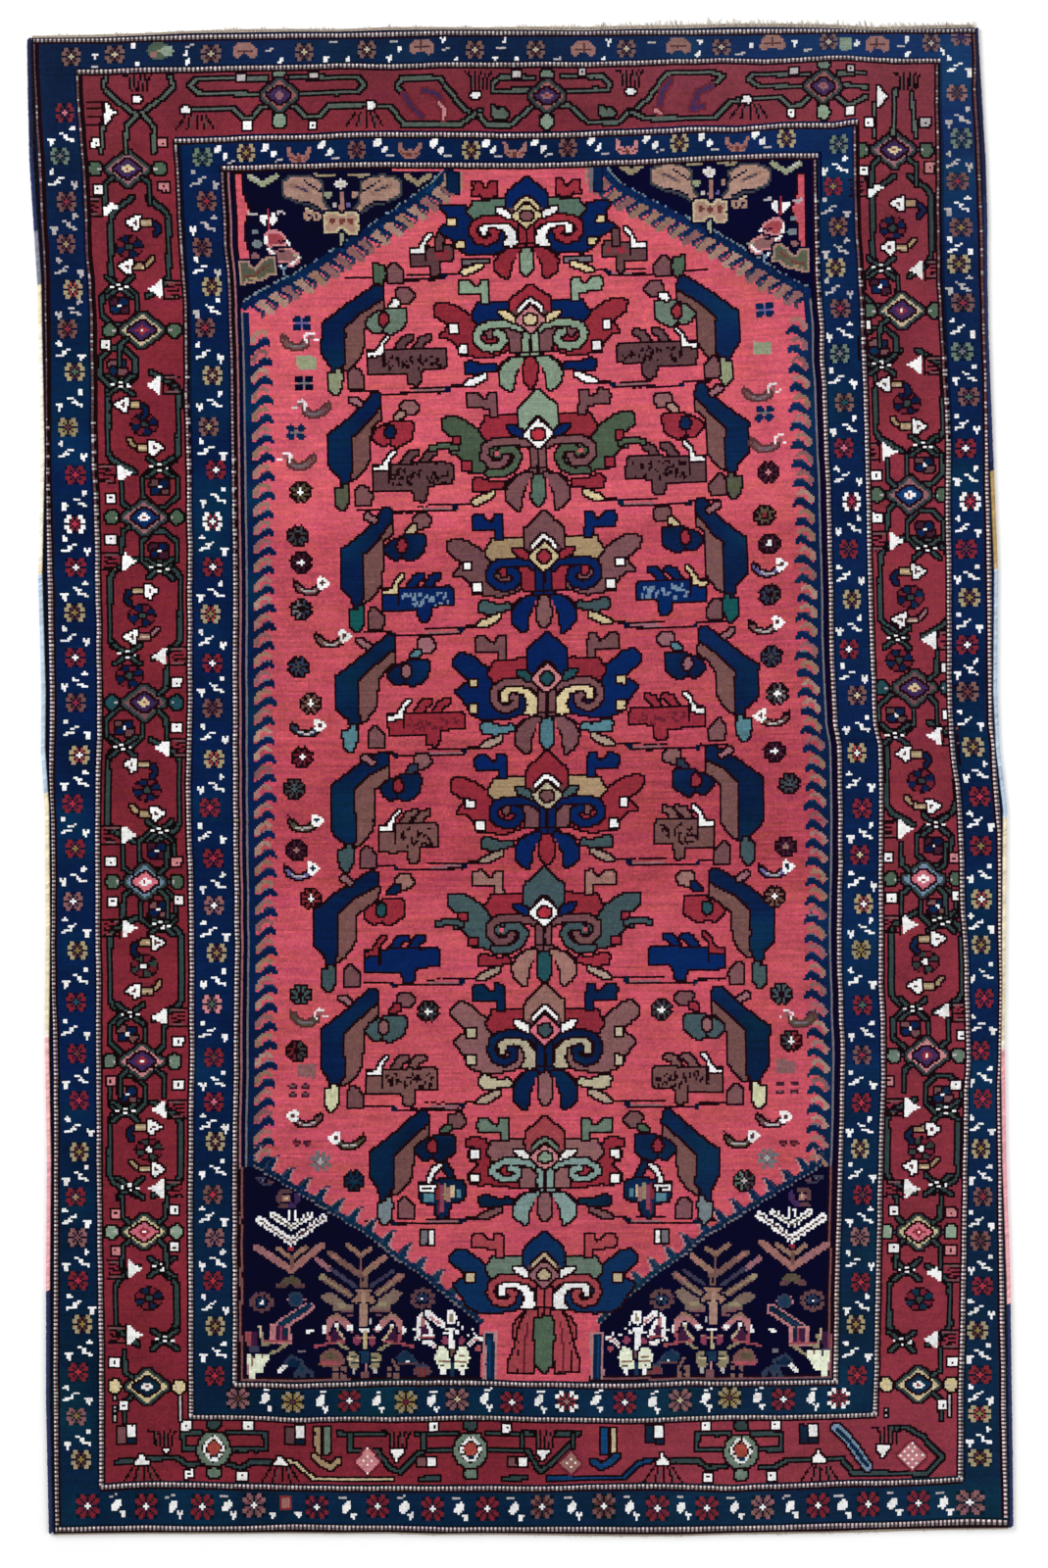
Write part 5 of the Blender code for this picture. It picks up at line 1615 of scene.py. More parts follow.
def little_animal(x, y, f=1):
    p = Pen(x, y, flip=f, lean=0)
    p.poly([(-13, -3), (-2, -4), (4, 2), (12, 6), (17, 10), (15, 16), (10, 18), (7, 14), (-4, 13), (-8, 8),
            (-11, 3)]).dye("rbrown", "pinkish", rim2="midnight")
    p.poly([(-16, -11), (-12, -14), (-5, -14), (2, -10), (3, -5), (-1, -2), (-12, -2), (-15, -6)]).dye(
        "lwine", "pinkish", rim2="midnight")
    p.line([(-12, -17), (-5, -17)], 2.4).dye("pinkish")
    p.line([(-16, -11), (-15.4, -3)], 2.6).line([(-14, 2), (-9, 5), (-7, 11)], 2.4).dye("ivory")
    p.line([(9, 17.6), (14, 15.4), (17, 11)], 2.4).line([(5, -6), (8, -3)], 2.2).dye("ivory")
    p.line([(-4, -7), (0, -4.6), (4, -6)], 1.5).line([(-8, 1), (-2, 4), (3, 4)], 1.5).dye("midnight")
    p.line([(14, 9), (21, 10)], 2).dye("sagey")


def head_corners():
    for edge, f, ax in ((HEAD_LEFT, 1, 347), (HEAD_RIGHT, -1, 723)):
        p = Pen(0, 0, lean=0)
        corner = [(235, 166), (235, 322)] + edge if f == 1 else [(838, 154), (838, 308)] + edge
        p.poly(corner).dye("midnight")
        hooked_edge([(x + 2 * f, y + 3) for x, y in edge], f)
        p.line(edge, 8).dye("navy")
        pts = np.array(edge, float)
        for k in range(0, 110):
            t = k / 110 * (len(pts) - 1)
            x0 = float(np.interp(t, range(len(pts)), pts[:, 0]))
            y0 = float(np.interp(t, range(len(pts)), pts[:, 1]))
            if RNG.random() < 0.62:
                p.disc(x0 - 2 * f, y0 - 4, 1.15).dye("steel" if k % 3 else "lblue")
            if RNG.random() < 0.3:
                p.disc(x0 + RNG.uniform(-1, 4) * f, y0 + RNG.uniform(-1, 3), 1.1).dye("blue")
        line = L4 if f == 1 else R4
        for y0 in range(178, 306, 2):  # a strip of field colour up the band's edge
            x0 = float(read(line, y0)) + 12.9 * f
            wide = 6 + 5 * math.exp(-((y0 - 212) / 9) ** 2) + 3 * math.exp(-((y0 - 258) / 7) ** 2)
            if y0 < 268:
                p.box(min(x0, x0 + f * wide), y0, max(x0, x0 + f * wide), y0 + 2.2)
        p.dye("field", "dark")

    def at(x, y):
        """A left corner's place, and its twin on the right."""
        return (x, y, 1), (723 - (x - 347), y - 12 - 0.012 * (347 - x), -1)

    for side in (1, -1):  # the frame's stripes, up to the head
        c = 91 if side == 1 else 383
        for k, ink in enumerate(("dark", "lmauve", "midnight", "midnight")):
            rows = PY[:, c + side * k] < (322 if side == 1 else 310)
            rows[:66] = False
            CHART[rows, c + side * k] = NUM[ink]
    for c in range(92, 383):
        CHART[66, c] = NUM["plum" if (c // 3) % 2 else "mauve"]
        CHART[67, c] = NUM["dark"]

    for k, (x, y, f) in enumerate(at(268, 184) + at(426, 183)):
        w = 13.5 if k < 2 else 12
        vee(x, y, "sagey" if k < 2 else "pot", w=w, h=8, t=5.6)
        Pen(x, y, flip=f, lean=0).line([(-w, -5), (-w * 0.4, -1)], 2).dye("lgrey" if k < 2 else "stem")
    for x, y, f in at(347, 200):
        winged(x, y)
    for x, y, f in at(270, 223):
        p = Pen(x, y, flip=f, lean=0)
        p.line([(-18, -8), (-16, -4.6), (-6, -4.6)], 2.4).line([(12, -4.6), (14, -8), (20, -6)], 2.4)
        p.dye("lgrey")
        p.poly([(-5, -3.4), (2, -4.4), (2, 6), (0, 6.6), (-2.4, 4), (-5.4, 0)]).dye("ivory", "midnight")
        p.poly([(6, -5), (11, -5), (12.6, 0), (11, 5), (8, 7), (6, 5)]).dye("ivory", "midnight")
        p.line([(4, -9), (4, 9)], 2.8).dye("wine")
    for x, y, f in at(287, 252):
        little_animal(x, y, f)
    for x, y, f in at(263, 276):
        p = Pen(x, y, flip=f, lean=0)
        p.poly([(-17, -8), (-11, -8), (-7, -1), (-1, 0), (5, -8), (11, -12), (16, -11), (17.4, 2), (10, 3), (4, 8),
                (-15, 12.4), (-17.4, 10)]).dye("oliveg", "stem", rim2="midnight")
        p.line([(-13, 5), (-3, 5), (6, -2), (12, -6)], 2.2).dye("rust")
        p.line([(-12, 9), (-2, 8)], 1.6).dye("camel")
    for x, y, f in at(260, 236):
        Pen(x, y, lean=0).disc(0, 0, 3.6, 2.6).dye("steel")
    for x, y, f in at(262, 249):
        Pen(x, y, lean=0).disc(0, 0, 5, 3.8).dye("steel", "midnight")
    for x, y, f in at(260, 261):
        Pen(x, y, lean=0).disc(0, 0, 4.2, 3.2).dye("rbrown", "midnight")
    for x, y, f in at(289, 274):
        p = Pen(x, y, flip=f, lean=0)
        p.line([(-4, -3), (0, 2), (4, -3)], 2.2).line([(0, 0), (1, 5)], 2.2).dye("lblue")
        p.disc(-3, -2, 1.4).dye("ivory")
    p = Pen(0, 0, lean=0)
    p.box(457, 176, 467, 196).dye("navy", "dnavy")
    p.line([(470, 177), (470, 190)], 3.0).line([(454, 178), (453, 190)], 2.4).dye("stem")
    p.line([(450, 190), (455, 197), (462, 199)], 3.4).dye("rbrown")
    p.box(606, 170, 614, 194).dye("navy", "dnavy")
    p.line([(602, 171), (602, 194)], 4.4).dye("grey")
    p.line([(598, 172), (598, 186)], 2.2).dye("stem")


def ring_rose(x, y, f=1, outer="plum", inner="dusk"):
    p = Pen(x, y, flip=f, lean=0)
    for k in range(10):
        a = math.radians(18 + 36 * k)
        p.disc(10.2 * math.cos(a), 8.8 * math.sin(a), 3.2, 2.6)
    p.dye(outer)
    p.disc(0, 0, 7, 6.4).dye("midnight")
    for k in range(4):
        a = math.radians(45 + 90 * k)
        p.disc(4.0 * math.cos(a), 3.6 * math.sin(a), 2.2, 1.9)
    p.dye("dteal")
    p.line([(0, -6), (0, -3)], 1.6).line([(5, 0), (3, 0)], 1.6).line([(-6, 0), (-3, 0)], 1.6).dye(inner)
    p.box(-1.2, -1.2, 1.2, 1.2).dye("ivory")


def pair(dx=0, dy=-2):
    """One pen for the left corner and one for its twin on the right."""
    return Pen(0, 0, lean=0), Pen(1098 + dx, dy, flip=-1, lean=0)


def serrated(p, pts, width, ink, core, notch="midnight"):
    """A band with a dark line along its middle and a notched edge."""
    p.line(pts, width + 3.2).dye(notch)
    p.line(pts, width).dye(ink)
    q = np.array(pts, float)
    run = np.r_[0, np.cumsum(np.hypot(*np.diff(q, axis=0).T))]
    for s in np.arange(3, run[-1] - 2, 4.3):
        x, y = np.interp(s, run, q[:, 0]), np.interp(s, run, q[:, 1])
        p.box(x - 0.9, y + width * 0.52 - 1, x + 0.9, y + width * 0.52 + 1.6)
        p.box(x + 1.1, y - width * 0.52 - 1.6, x + 2.9, y - width * 0.52 + 1)
    p.dye(notch)
    p.line(pts, 1.5).dye(core, only=[ink])


def flames(edge, f):
    """Teeth of indigo with a pale edge, leaning up from the sloping line."""
    pts = np.array(edge, float)
    dx = abs(pts[-1, 0] - pts[0, 0])
    for s in np.arange(8, dx, 17.0):
        k = s / dx
        run = np.abs(pts[:, 0] - pts[0, 0])
        x, y = np.interp(s, run, pts[:, 0]), np.interp(s, run, pts[:, 1])
        p = Pen(x, y, flip=f, lean=0)
        g = RNG.uniform(0.9, 1.12)
        p.poly([(-10, -7), (-3, -9), (3 * g, -15), (12 * g, -17 * g), (9, -9), (7, -3), (11, 6)]).dye("blush")
        p.poly([(-10, -6), (-3, -8), (3 * g, -14), (9 * g, -14 * g), (6, -8), (4, -2), (8, 5)]).dye(
            "navy" if k < 0.7 else "dteal")
        p.line([(5 * g, -14 * g), (11 * g, -16 * g)], 2.0).dye("dusk")
        p.line([(-8, -6), (-2, -7), (2, -11)], 1.6).dye("greyb")
        p.box(2, -6, 4, -3).box(-2, -4, 0, -2).dye("blue")
    p = Pen(0, 0, lean=0)
    p.line([(x, y - 2) for x, y in edge], 6.0).dye("navy")
    for s in np.arange(2, dx, 4.3):
        run = np.abs(pts[:, 0] - pts[0, 0])
        x, y = np.interp(s, run, pts[:, 0]), np.interp(s, run, pts[:, 1])
        p.box(x - 1.6, y + 0.2, x + 1.2, y + 2.4)
    p.dye("grey")
    for s in np.arange(5, dx, 9.1):
        run = np.abs(pts[:, 0] - pts[0, 0])
        x, y = np.interp(s, run, pts[:, 0]), np.interp(s, run, pts[:, 1])
        p.box(x - 1.4, y - 5, x + 1.4, y - 2.6)
    p.dye("greyb")


def v_tree(p):
    for pts, w, ink in (([(337, 1279), (367, 1301)], 6.2, "twig"), ([(373, 1298), (392, 1283)], 6.2, "bark"),
                        ([(355, 1271), (368, 1281), (377, 1275)], 4.8, "bark"),
                        ([(323, 1285), (338, 1296)], 5.4, "lmauve"), ([(338, 1295), (364, 1314)], 4.0, "dusk"),
                        ([(379, 1312), (401, 1297)], 3.6, "dusk")):
        p.line(pts, w).dye(ink)
    p.line([(384, 1289), (393, 1283)], 3.4).line([(339, 1281), (344, 1284)], 3).dye("salmon")
    p.line([(368, 1282), (368, 1300)], 2.2).dye("mauve")
    p.box(367, 1301, 375, 1316).dye("twig")
    p.box(370, 1304, 372, 1310).dye("midnight")
    for pts in ([(330, 1304), (362, 1325)], [(378, 1326), (409, 1302)]):
        p.line(pts, 6.8).dye("twig")
        p.line(pts, 1.6).dye("pot")
    p.disc(329, 1303, 4, 3).dye("pot")
    p.line([(400, 1307), (408, 1302)], 4).dye("salmon")
    p.poly([(327, 1323), (336, 1318), (343, 1322), (352, 1330), (361, 1332), (361, 1340), (341, 1340),
            (340, 1332), (333, 1329)]).dye("leafy", "midnight")
    p.poly([(378, 1339), (378, 1331), (392, 1322), (402, 1315), (411, 1319), (404, 1328), (399, 1332),
            (398, 1339)]).dye("leafy", "midnight")
    p.line([(343, 1338), (359, 1338)], 2.4).line([(380, 1338), (396, 1338)], 2.4).dye("mauve")
    p.disc(349, 1332, 6, 2.6).disc(389, 1331, 6, 2.6).dye("pot")
    p.box(354, 1341, 361, 1344).box(384, 1341, 390, 1344).dye("mauve")
    p.poly([(362, 1315), (380, 1315), (377, 1320), (384, 1327), (376, 1333), (366, 1333), (358, 1327),
            (365, 1320)]).dye("bark", "midnight")
    p.box(367, 1330, 375.5, 1353).dye("stem", "midnight")
    p.box(369, 1318, 373, 1330).dye("stem")
    p.box(376, 1345, 379, 1351).dye("lgrey")
    # the curled boots on both sides
    for f, c in ((1, 0), (-1, 743)):
        def q(pts, f=f, c=c):
            return [(x if f == 1 else c - x, y) for x, y in pts]
        p.poly(q([(333, 1355), (340, 1355), (351, 1366), (347, 1370), (335, 1370)])).dye("purple")
        p.line(q([(358, 1356), (350, 1348), (343, 1343), (336, 1349), (334, 1357)]), 6.4).dye("boot", "midnight")
        p.line(q([(351, 1346), (343, 1341), (338, 1345)]), 3.0).dye("bark")
        p.line(q([(334, 1360), (336, 1369)]), 3.2).dye("brose")
        p.line(q([(343, 1353), (346, 1360), (352, 1367)]), 2.4).dye("camelw")
        p.line(q([(331, 1354), (331, 1361)]), 2.6).dye("ivory")
        p.disc(*q([(357, 1355)])[0], 4.2, 2.8).dye("ivory")
        p.disc(*q([(343, 1352)])[0], 2.2, 1.8).dye("ivory")
        p.line(q([(322, 1374), (336, 1371), (350, 1369)]), 2.8).dye("brose")
        p.line(q([(345, 1371), (352, 1375), (360, 1380)]), 3.0).dye("pot")
        p.poly(q([(357, 1380), (366, 1380), (369, 1386), (367, 1393), (364, 1397), (358, 1397), (356, 1393),
                  (354, 1386)])).dye("pot", "midnight")
        p.line(q([(359, 1385), (365, 1385)]), 1.8).line(q([(358, 1390), (366, 1390)]), 1.8).dye("dgreen")
        p.line(q([(357, 1387.5), (367, 1387.5)]), 1.6).dye("camelw")
        p.line(q([(361, 1398), (361, 1400)]), 3.6).dye("lgrey")
    # the small cross of light wool, with two blooms
    p.disc(364, 1368, 3.6, 5.6).disc(380, 1368, 3.6, 5.6).dye("bloom", "midnight")
    p.box(366, 1356, 377.5, 1358.8).dye("ivory")
    p.box(370, 1358, 373.8, 1380).dye("straw")
    p.box(370, 1372, 373.8, 1380).box(370, 1358, 373.8, 1362).dye("camelw")
    p.line([(362, 1364), (370, 1366)], 1.8).line([(374, 1366), (383, 1364)], 1.8).dye("salmon")
    p.poly([(367, 1379), (377, 1379), (376, 1391), (368, 1391)]).dye("dteal", "midnight")
    p.line([(373, 1392), (373, 1399)], 3).dye("blush")
    p.box(369, 1399, 377, 1406).dye("mauve")


def milk_tree(p):
    p.poly([(457, 1337), (463, 1337), (466, 1344), (465, 1351), (458, 1352), (455, 1345)]).dye("ivory", "midnight")
    p.poly([(459, 1340), (462, 1341), (463, 1348), (459, 1348)]).dye("pot")
    p.disc(454, 1368, 3.6, 4.2).disc(471, 1368, 3.6, 4.2).dye("bloom", "midnight")
    p.box(454, 1355, 464, 1358).box(457, 1356, 463, 1378).box(451, 1359, 456, 1361.5)
    p.box(465, 1358, 469, 1361).box(466, 1349, 469, 1352).box(470, 1354, 473, 1357.5)
    p.box(481, 1356, 484, 1359.5).box(476, 1361, 479, 1363.5).dye("ivory")
    p.line([(473, 1377), (480, 1371), (484, 1367), (491, 1366)], 4.4).line([(484, 1361), (489, 1367)], 2.6)
    p.dye("ivory", "midnight")
    p.line([(475, 1375), (480, 1371), (484, 1367), (490, 1366)], 1.5).dye("boot")
    p.disc(488, 1376, 3.2, 3.4).dye("brose", "midnight")
    p.poly([(456, 1377), (472, 1377), (467, 1384), (466, 1391), (460, 1391), (460, 1384)]).dye("beetle")
    for f, c in ((1, 0), (-1, 923)):
        def q(pts, f=f, c=c):
            return [(x if f == 1 else c - x, y) for x, y in pts]
        p.poly(q([(448, 1374), (455, 1375), (458, 1381), (459, 1388), (459, 1397), (446, 1397), (446, 1390),
                  (443, 1386), (445, 1381)])).dye("milk", "midnight")
        p.line(q([(448, 1389), (458, 1389)]), 1.7).line(q([(450, 1384), (455, 1384)]), 1.7).dye("bark")
        p.line(q([(452, 1397), (452, 1401)]), 4.6).dye("ivory")
        p.line(q([(449, 1394), (452, 1394)]), 1.6).dye("olive")
    p.box(459.4, 1391, 464, 1404).dye("dteal")


def milk_boot(p):
    p.poly([(425, 1362), (425, 1346), (429, 1339), (437, 1338), (441, 1343), (437, 1350), (441, 1357),
            (444, 1367), (428, 1368)]).dye("ivory", "midnight")
    p.box(428.4, 1344, 433, 1354).dye("boot")
    p.poly([(428, 1354), (435, 1352), (438, 1361), (429, 1363)]).dye("purple")
    p.line([(429, 1365), (441, 1365)], 3.4).dye("brose")
    p.line([(422, 1357), (427, 1357)], 2.4).line([(424, 1366), (428, 1361)], 3).dye("ivory")
    p.line([(436, 1340), (443, 1346), (452, 1352)], 6.4).dye("ivory", "midnight")
    p.line([(438, 1343), (443, 1347), (450, 1351)], 2.2).dye("boot")
    p.line([(433, 1369.5), (441, 1371), (447, 1377), (452, 1379)], 4.4).dye("ivory", "midnight")
    p.line([(441, 1371), (447, 1377)], 1.6).dye("boot")


def blue_boot(p):
    p.disc(301, 1326, 8, 7.4).dye("boot")
    p.line([(308, 1325), (315, 1330), (320, 1334)], 3.4).dye("blush")
    p.line([(315, 1334), (285, 1353)], 11).dye("boot", "midnight")
    p.line([(315, 1333), (286, 1352)], 6.6).dye("navy")
    p.line([(304, 1341), (289, 1350)], 3.4).dye("dteal")
    p.disc(302, 1326, 5, 5).dye("dteal", "greyb")
    p.poly([(276, 1351), (297, 1353), (297, 1371), (276, 1371)]).dye("boot")
    p.poly([(281, 1353), (293.5, 1354), (293.5, 1367), (281, 1367)]).dye("purple")
    p.line([(287, 1354), (287, 1367)], 2.2).dye("bloom")
    p.box(290, 1354, 293, 1364).dye("navy")
    p.line([(270, 1369), (296, 1369)], 2.8).dye("brose")
    p.line([(293, 1371), (284, 1378), (276, 1381)], 3.4).dye("pot")
    p.box(251, 1359, 256, 1374).dye("brose")
    p.box(257, 1358, 263, 1374).dye("purple")
    p.box(255, 1374, 265, 1379).dye("dusk")
    p.line([(265, 1354), (266, 1364)], 2.8).dye("camelw")
    p.line([(268, 1360), (268, 1372), (275, 1371)], 2.6).dye("pot")


def foot_corners():
    for edge, f in ((FOOT_LEFT, 1), (FOOT_RIGHT, -1)):
        p = Pen(0, 0, lean=0)
        corner = [(243, 1178), (243, 1412)] if f == 1 else [(853, 1178), (853, 1412)]
        low = [(490, 1412)] if f == 1 else [(612, 1412)]
        p.poly([corner[1], corner[0]] + edge + low).dye("midnight")
        flames(edge, f)
        p = Pen(0, 0, lean=0)
        if f == 1:
            p.line([(246, 1182), (246, 1408.6), (500, 1408.6)], 2.2).dye("mauve", "dark")
        else:
            p.line([(846.6, 1184), (846.6, 1405), (604, 1407.5)], 2.2).dye("mauve", "dark")
    for p in pair(7, -3):
        serrated(p, [(265, 1245), (297, 1267.5), (330, 1243)], 8.2, "ivory", "brown")
        serrated(p, [(279, 1240), (297, 1252.5), (316, 1240)], 7.4, "ivory", "olive")
        p.line([(294.6, 1237), (294.6, 1245)], 2.4).line([(300.4, 1236), (300.4, 1244)], 2.4).dye("ivory")
        p.box(296.6, 1237, 298.6, 1245).dye("midnight")
        p.line([(262, 1273), (297, 1296), (328, 1271)], 7.2).dye("salmon")
        p.line([(262, 1273), (285, 1288)], 4.2).dye("lmauve")
        p.line([(284, 1274), (297, 1284), (312, 1273)], 4.8).dye("bark")
        p.line([(297, 1282), (297, 1292)], 4.4).dye("beetle")
        p.disc(297, 1274.5, 3, 2).dye("wine")
        p.poly([(286, 1310), (290, 1304), (297, 1302), (304, 1304), (308, 1310), (300, 1312), (297, 1309),
                (294, 1312)]).dye("olive")
        p.disc(287, 1312, 5, 3).disc(305, 1312, 5.4, 3).dye("plum")
    for p in pair(12, -2):
        p.disc(285, 1222, 3, 6).disc(292, 1231, 9, 2.6).disc(291, 1216, 7, 2.4).dye("plum")
        p.disc(303, 1223, 3, 6).disc(298, 1230, 4, 3).dye("violet")
        p.disc(292, 1223, 4.2, 4).dye("salmon")
        p.disc(292, 1223, 1.6).dye("camelw")
    for p in pair(3, -2):
        p.line([(262, 1203), (268, 1208), (276, 1208)], 2.4).line([(263, 1203), (270, 1202)], 2).dye("dusk")
        p.line([(274, 1205), (279, 1207)], 2.6).dye("plum")
        p.box(267, 1204, 269, 1206).dye("grey")
    ring_rose(267, 1329)
    ring_rose(829, 1327, -1)
    ring_rose(431, 1325)
    ring_rose(675, 1326, -1)
    for p in pair(0, -1):
        v_tree(p)
        # small things between
        p.poly([(325, 1392), (327, 1384), (332, 1378), (338, 1376), (344, 1378), (350, 1384), (352, 1391),
                (346, 1395), (330, 1395)]).dye("beetle", "midnight")
        p.line([(328, 1391.5), (348, 1391.5)], 4).dye("brose")
        p.disc(337, 1384, 6, 3.2).dye("olive")
        for x, y in ((342, 1397), (350.5, 1397), (342, 1404), (350.5, 1404), (397, 1397), (397, 1403.6),
                     (404.6, 1403.6)):
            p.box(x - 2.6, y - 2.4, x + 2.6, y + 2.4)
        p.dye("twig")
        p.line([(401, 1387), (406, 1398)], 3.4).dye("twig")
        p.poly([(404, 1385), (408, 1380), (413, 1377), (419, 1381), (423, 1386), (428, 1392), (408, 1392)]).dye(
            "dteal", "midnight")
        p.line([(406, 1383), (413, 1378)], 1.6).line([(419, 1382), (427, 1391)], 1.6).dye("greyb")
        p.line([(407, 1391), (425, 1391.5)], 2.4).dye("plum")
        p.box(414.6, 1387.6, 417.4, 1390).dye("ivory")
        p.poly([(421, 1401), (424, 1394), (431, 1391), (438, 1394), (441, 1401), (436, 1404), (426, 1404)]).dye("plum")
        p.box(427, 1396, 429.4, 1404).box(432, 1396, 434.4, 1404).dye("rosered")
        p.line([(425, 1394), (437, 1394)], 1.6).dye("greyb")
        p.line([(289, 1394), (292, 1388), (297, 1383), (303, 1387), (309, 1390), (307, 1394)], 3.0).dye("greyb")
        p.poly([(290, 1394), (297, 1385), (304, 1389), (306, 1394)]).dye("navy")
        p.line([(291, 1395), (306, 1395)], 1.8).dye("greyb")
        p.poly([(299, 1405), (302, 1397), (308, 1392), (315, 1396), (320, 1401), (320, 1406), (316, 1406),
                (315, 1401), (311, 1401), (311, 1406), (307, 1406), (306, 1401), (303, 1406)]).dye("greyb")
        p.disc(308, 1397, 3, 2).dye("dteal")
        p.line([(285, 1400), (291, 1394)], 4.4).dye("ivory")
        p.box(288, 1395, 290, 1398).dye("blush")
        p.box(304, 1378, 311, 1380.6).dye("grey")
    for p in pair(7, -1):
        p.line([(314, 1359), (320, 1358)], 2.8).dye("ivory")
    for p in pair(4, 2):
        blue_boot(p)
    for p in pair(0, -3):
        p.poly([(252, 1381), (257, 1381), (257, 1386), (260, 1386), (260, 1381), (274, 1381), (274, 1388),
                (270, 1394), (268, 1400), (261, 1401), (261, 1408), (255, 1408), (252, 1400)]).dye("milk")
        p.box(257, 1384, 258.8, 1394).box(266, 1381, 268, 1385).dye("bark")
        p.box(252, 1392, 254.4, 1402).dye("blush")
    for p in pair(6, 0):
        milk_boot(p)
    for p in pair(12, 0):
        milk_tree(p)
    for p in pair(11, 0):
        p.box(493, 1359, 507, 1408).dye("blush")
        p.box(495.6, 1361, 504, 1408).dye("navy")
        p.box(497.6, 1364, 500, 1405).dye("blue")


def chart():
    side_guards()
    end_guards()
    main_border()
    head_border()
    foot_border()
    head_corners()
    foot_corners()
    field_edge()
    side_groups()
    for row in PALMETTES:
        palmette(row)
    columns()
    white_lines()


chart()

# ------------------------------------------------------------ knot colours
def to_linear(c):
    c = np.clip(c, 0, 1)
    return np.where(c <= 0.04045, c / 12.92, ((c + 0.055) / 1.055) ** 2.4)


RGB = np.array([WOOLS[n] for n in INKS], float) / 255.0
colour = RGB[CHART].astype(np.float64)
is_field = CHART == NUM["field"]
is_navy = np.isin(CHART, [NUM[n] for n in ("navy", "dnavy", "blue")])
is_madder = CHART == NUM["madder"]
is_pale = np.isin(CHART, [NUM[n] for n in ("ivory", "lgrey", "cream", "camelw")])

# Abrash: each batch of dyed wool ends at a weft, so the bands follow the rows.
axis_y = PY[:, 241]
# the field's wool came in a few lots: a brighter one at the head, a duller one past the middle
FIELD_BANDS = line_of([(0.06, 170), (0.08, 520), (0.0, 545), (0.0, 745), (-0.05, 765), (-0.05, 905),
                       (0.02, 920), (0.02, 1412)])
WARMER = 0.02
band = read(FIELD_BANDS, axis_y)[:, None] + 0.025 * wander((NR, NC), 90, 21) * np.ones((NR, NC))
streak = np.repeat(RNG.normal(0, 0.018, (NR, 1)), NC, 1) * (0.6 + 0.4 * wander((NR, NC), 9, 22))


def drawn_out(length):
    """Noise that keeps its value along a weft for about `length` knots."""
    raw = RNG.normal(0, 1, (NR, NC + length))
    run = np.cumsum(raw, 1)
    return (run[:, length:] - run[:, :-length]) / length ** 0.5


long_streak, short_streak = drawn_out(26), drawn_out(8)
cloudy = 0.05 * wander((NR, NC), 26, 23) + 0.03 * wander((NR, NC), 80, 24)
speck = RNG.normal(0, 0.042, (NR, NC))
value = 1 + streak + speck + SHADE + 0.016 * short_streak
value = np.where(is_field, value + 1.25 * band + 0.6 * cloudy + 0.022 * long_streak + 0.014 * short_streak, value)
value = np.where(is_navy, value + 2.2 * cloudy + 1.5 * streak, value)
value = np.where(is_madder, value + 1.6 * cloudy, value)
mid_left = np.clip((320 - PX) / 60, 0, 1) * np.clip(1 - np.abs(PY - 800) / 300, 0, 1)
value = np.where(is_madder, value - 0.12 * mid_left, value)
colour *= np.clip(value, 0.5, 1.5)[:, :, None]
# the field turns rosier where it is light, and redder where it is deep
rosy = np.where(is_field, band * 0.9, 0)
colour[:, :, 1] += rosy * 0.28
colour[:, :, 2] += rosy * 0.26
# some wefts run to orange, others to pink
hue = 0.012 * drawn_out(18) + 0.008 * wander((NR, NC), 60, 27)
colour[:, :, 1] += np.where(is_field, WARMER + 0.6 * hue, 0.25 * hue)
colour[:, :, 2] += np.where(is_field, 0.6 * WARMER - hue, -0.4 * hue)
# indigo: bright at the head's right, greener towards the foot
bright = np.clip((PX - 560) / 450, 0, 1) * np.clip((330 - PY) / 300, 0, 1)
low = np.clip((PY - 1080) / 250, 0, 1)
green_lumps = np.clip(wander((NR, NC), 34, 25) - 0.15, 0, 1)
colour[:, :, 0] += np.where(is_navy, bright * 0.02 + low * 0.01, 0)
colour[:, :, 1] += np.where(is_navy, bright * 0.07 + low * 0.02 + green_lumps * 0.07, 0)
colour[:, :, 2] += np.where(is_navy, bright * 0.16 - low * 0.03 + green_lumps * 0.04, 0)
# madder: browner near the head
old = np.clip((420 - PY) / 350, 0, 1)
colour[:, :, 0] -= np.where(is_madder, old * 0.02, 0)
# the right half is a little paler, most of all where it was walked on
paler = np.clip((PX - 520) / 160, 0, 1)
worn = np.clip((PY - 1380) / 70, 0, 1) + 0.4 * np.clip((150 - PY) / 40, 0, 1)
haze = paler * np.where(is_madder, 0.036 + 0.022 * worn, np.where(is_field, 0.0, 0.016))
colour += haze[:, :, None] * np.array([1.0, 1.0, 1.08])
# worn and faded near the head: the whole border greys a little
edge_in = np.minimum.reduce([PX - 40, 1000 - PX, PY - 30])
grey = (np.clip(1 - edge_in / 150, 0, 1) * old * 0.22)[:, :, None]
mean = colour.mean(2, keepdims=True)
colour = colour * (1 - grey) + (mean * 0.6 + 0.12) * grey
colour = np.clip(colour, 0.004, 0.985)
LINEAR = np.maximum(to_linear(colour) * 0.84 - 0.0024, 0.0004)

# ---------------------------------------------------------- heights, in mm
is_dark = np.isin(CHART, [NUM[n] for n in ("dark", "black", "midnight")])
lift = np.where(is_dark, -0.55, 0.0) + np.where(is_pale, 0.12, 0.0) + RNG.normal(0, 0.10, (NR, NC))
lift += 0.16 * wander((NR, NC), 40, 31) + 0.30 * wander((NR, NC), 7, 32)
pad = np.pad(lift, 1, mode="edge")
VH = 7.55 + (pad[:-1, :-1] + pad[1:, :-1] + pad[:-1, 1:] + pad[1:, 1:]) / 4
rim = np.minimum(np.minimum(uu, NC - uu), np.minimum(vv, NR - vv))
VH -= 0.9 * np.clip(1 - rim / 2.0, 0, 1) ** 1.5
VH += RNG.normal(0, 0.05, VH.shape)
PILE_FOOT = 3.0           # where the knots meet the foundation

